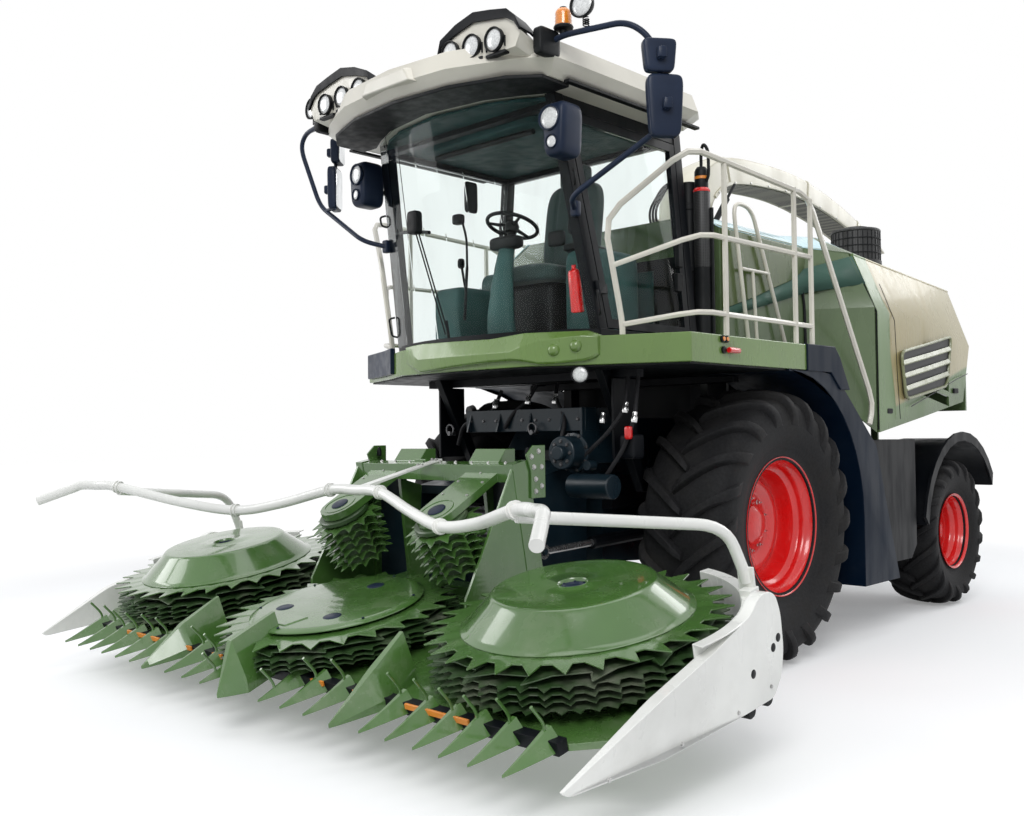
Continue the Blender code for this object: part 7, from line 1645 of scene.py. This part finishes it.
# Rear lamps, grille and hitch.
def buildRear():
    y = 3.378
    lamps, frames, reds = [], [], []
    for hand in (1, -1):
        for k, x in enumerate((1.02, 1.14, 1.24)):
            cup, dome = lampShapes((hand * x, 3.925, 1.12), (0, 1, 0), 0.045, 0.04)
            frames.append(cup)
            (reds if k < 2 else lamps).append(dome)
        frames.append(block((hand * 1.13 - 0.19, 3.875, 1.05), (hand * 1.13 + 0.19, 3.893, 1.19)))
        cup, dome = lampShapes((hand * 0.92, 3.4, 2.62), (0, 1, 0.1), 0.06, 0.03)
        frames.append(cup)
        lamps.append(dome)
    onMachine("rear_lamp_frames", frames, blackPlastic, bevel=0.002)
    onMachine("rear_lamps_red", reds, redLens)
    onMachine("rear_lamps_clear", lamps, clearLens)
    back = block((-0.93, y - 0.055, 1.76), (0.93, y - 0.03, 2.62))
    onMachine("rear_grille_back", back, ventMesh)
    hitch = [block((-0.06, 3.84, 0.98), (0.06, 3.96, 1.02)), block((-0.06, 3.84, 1.1), (0.06, 3.96, 1.14)),
        turned([(0, -0.03), (0.018, -0.03), (0.018, 0.17), (0.026, 0.175), (0.026, 0.185), (0, 0.185)],
        (0, 3.925, 0.985), sides=20)]
    onMachine("rear_hitch", hitch, blackPaint, bevel=0.003)


buildRear()
print("body, rails, spout and rear ready")

# Channel brackets, chopper top, hoses and fittings ahead of the front axle.
def buildFront():
    # header channel: wedge brackets, bolt row, slot and bolted side plates
    greens, steels, darks = [], [], []
    for x0, x1 in ((-0.395, -0.15), (0.295, 0.546)):
        wedge = [(-1.8, 1.33), (-1.8, 1.36), (-1.74, 1.435), (-1.66, 1.435), (-1.66, 1.33)]
        greens.append(prism(wedge, x0, x1, "yzx"))
    greens.append(prism([(-0.19, -1.806), (-0.086, -1.806), (-0.086, -1.77), (-0.19, -1.77)], 1.295, 1.372))
    row = [(x, -1.798, 1.352) for x in np.linspace(-0.66, 0.6, 10)]
    steels.append(bolts(row, (0, -1, 0), 0.01, 0.008))
    for hand in (1, -1):
        plate = [(-1.72, 1.15), (-1.72, 1.3), (-1.76, 1.4), (-1.7, 1.455), (-1.6, 1.455), (-1.6, 1.15)]
        greens.append(prism(plate, *sorted((hand * 0.716, hand * 0.73)), "yzx"))
        spots = [(hand * 0.73, y, z) for y, z in ((-1.685, 1.19), (-1.685, 1.26), (-1.7, 1.33),
            (-1.72, 1.39), (-1.66, 1.42), (-1.635, 1.22), (-1.635, 1.33))]
        steels.append(bolts(spots, (hand, 0, 0), 0.013, 0.01))
        eye = [(0.0, 0.0), (0.036, 0.0), (0.036, 0.03), (0.026, 0.058), (0.01, 0.058), (0.0, 0.03)]
        darks.append(prism([(hand * (0.66 + a), 1.385 + b) for a, b in eye], -1.7, -1.685, "xzy"))
    onMachine("channel_brackets", greens, greenPaint, "header", bevel=0.004)
    onMachine("channel_bolts", steels, plainSteel, "header")
    onMachine("channel_eyes", darks, blackPaint, "header", bevel=0.004)
    # funnel back walls either side of the feeder throat
    walls = [prism([(hand * 0.4, 0.5), (hand * 0.69, 0.5), (hand * 0.69, 1.27), (hand * 0.4, 1.27)], -1.7,
        -1.688, "xzy") for hand in (1, -1)]
    onMachine("funnel_walls", walls, housingPaint, "header", bevel=0.003)
    # chopper top: plate, lifting rings, bolted drum, shaft ends, hoses
    y = -1.1
    body = [block((-0.45, y, 1.535), (0.62, y + 0.3, 1.552)),
        block((-0.45, y, 1.552), (0.62, y + 0.018, 1.683)),
        block((0.6, y - 0.03, 1.33), (0.618, y + 0.36, 1.683))]
    for x in (-0.4, -0.12, 0.16, 0.44):
        body.append(prism([(y, 1.535), (y - 0.045, 1.535), (y, 1.66)], x - 0.008, x + 0.008, "yzx"))
    onMachine("chopper_top", body, housingPaint, bevel=0.004)
    round_ = [turned([(0, -0.13), (0.098, -0.13), (0.104, -0.124), (0.104, -0.02), (0.124, -0.015),
        (0.124, 0.0), (0, 0.0)], (0.545, y - 0.02, 1.4), (0, 1, 0), 56), turned([(0, -0.17), (0.04, -0.17),
        (0.046, -0.165), (0.046, -0.12), (0, -0.12)], (0.545, y - 0.02, 1.4), (0, 1,
        0), 36), cylinder(0.03, -0.07, 0.0, (0.7, y - 0.02, 1.322), (0, 1, 0), 32), turned([(0, -0.1),
        (0.07, -0.1), (0.076, -0.094), (0.076, 0.22), (0.07, 0.226), (0, 0.226)], (0.66, y - 0.06,
        1.195), (1, 0, 0), 44)]
    onMachine("chopper_rounds", round_, housingPaint, bevel=0.002)
    a = 2 * np.pi * np.arange(8) / 8
    ring = np.column_stack([0.545 + 0.072 * np.cos(a), np.full(8, y - 0.15), 1.4 + 0.072 * np.sin(a)])
    flange = np.column_stack([0.545 + 0.114 * np.cos(a + 0.3), np.full(8, y - 0.036),
        1.4 + 0.114 * np.sin(a + 0.3)])
    row = [(x, y, 1.61) for x in np.linspace(-0.4, 0.56, 9)]
    heads = bolts(np.concatenate([ring, flange, arr(row)]), (0, -1, 0), 0.011, 0.009)
    onMachine("chopper_bolts", heads, darkSteel)
    rings = []
    for x in (-0.568, 0.212):
        t = np.linspace(0.1, 2 * np.pi - 0.1, 22)
        rings.append(tube(np.column_stack([x + 0.034 * np.sin(t), np.full(22, y - 0.045),
            1.556 - 0.034 * np.cos(t)]), 0.007, 10))
        rings.append(cylinder(0.016, -0.06, 0.0, (x, y, 1.53), (0, 1, 0), 20))
    onMachine("lifting_rings", rings, darkSteel)
    hose = [tube(softPath(line, 0.07), 0.0135, 10)
        for line in ([(0.9, -1.02, 1.86), (0.9, -1.06, 1.66), (0.8, -1.1, 1.52), (0.66, -1.13, 1.4),
        (0.6, -1.14, 1.34)], [(0.96, -1.0, 1.86), (0.965, -1.05, 1.6), (0.9, -1.08, 1.42),
        (0.78, -1.12, 1.24)], [(-0.2, -1.0, 1.82), (-0.22, -1.04, 1.72), (-0.3, -1.05, 1.62),
        (-0.52, -1.06, 1.6), (-0.62, -1.02, 1.45)], [(0.3, -1.0, 1.84), (0.34, -1.06, 1.74),
        (0.46, -1.1, 1.62), (0.46, -1.14, 1.5)], [(0.12, -1.0, 1.84), (0.1, -1.06, 1.74), (0.0, -1.1, 1.66),
        (-0.06, -1.12, 1.56)])]
    onMachine("front_hoses", hose, hoseRubber)
    fittings = [turned([(0, -0.02), (0.019, -0.02), (0.021, -0.012), (0.021, 0.012), (0.016, 0.02),
        (0.016, 0.045), (0, 0.045)], place, (0, 0.2, 1), 16) for place in ((0.9, -1.055, 1.66), (0.965,
        -1.052, 1.6), (0.34, -1.062, 1.73), (0.1, -1.062, 1.735), (0.72, -1.052, 1.6), (-0.22, -1.042,
        1.715), (0.61, -1.14, 1.355))]
    onMachine("hose_fittings", fittings, brightSteel)
    red = pad((0.955, -1.1, 1.52), (0.022, 0.018, 0.04), 0.4, 20, 10)
    onMachine("red_knob", red, redPaint)
    side = [pad((0.905, -1.0, 1.436), (0.055, 0.06, 0.075), 0.25, 28, 14),
        block((0.78, -1.04, 1.36), (0.8, -0.8, 1.86)), block((-0.8, -1.04, 1.36), (-0.78, -0.8, 1.86))]
    onMachine("side_boxes", side, blackPaint, bevel=0.004)


buildFront()
print("front machinery ready")

plainDress = {
    "chassis_frame": (blackPaint, 0.006), "front_axle": (blackPaint, 0.006),
        "rear_axle_beam": (blackPaint, 0.005),
    "chopper_housing": (housingPaint, 0.008), "engine_block": (blackPaint, 0.01),
    "front_fender_left": (navyPaint, 0.003), "front_fender_right": (navyPaint, 0.003),
    "rear_fender_left": (blackPaint, 0.003), "rear_fender_right": (blackPaint, 0.003),
    "body_shell": (bodyGreen, 0.004), "rear_panel": (doorPaint, 0.004), "cab_frame": (blackPaint, 0.004),
    "cab_roof": (creamPaint, 0.012), "guard_rail_left": (creamPaint, 0.0),
        "guard_rail_right": (creamPaint, 0.0),
    "rear_ladder": (whitePaint, 0.0),
    "knuckle_left": (blackPaint, 0.004), "knuckle_right": (blackPaint, 0.004), "tie_rod": (plainSteel, 0.0),
    "cab_door": (blackPaint, 0.003), "engine_door_left": (doorPaint, 0.003),
        "engine_door_right": (doorPaint, 0.003),
    "spout_turret": (creamPaint, 0.004), "spout_flap": (creamPaint, 0.002),
    "feeder_housing": (housingPaint, 0.006), "header_frame": (greenPaint, 0.004),
        "feed_roller": (darkSteel, 0.002),
    "lift_barrel_left": (blackPaint, 0.002), "lift_barrel_right": (blackPaint, 0.002),
    "lift_rod_left": (brightSteel, 0.0), "lift_rod_right": (brightSteel, 0.0),
}
for node, (material, softness) in plainDress.items():
    dressed(node, material, softness)
for node in ("windscreen", "side_window", "rear_window", "cab_door_window"):
    item = frame["nodes"][node]
    item.data.materials.clear()
    item.data.materials.append(cabGlass)
print("other nodes dressed")
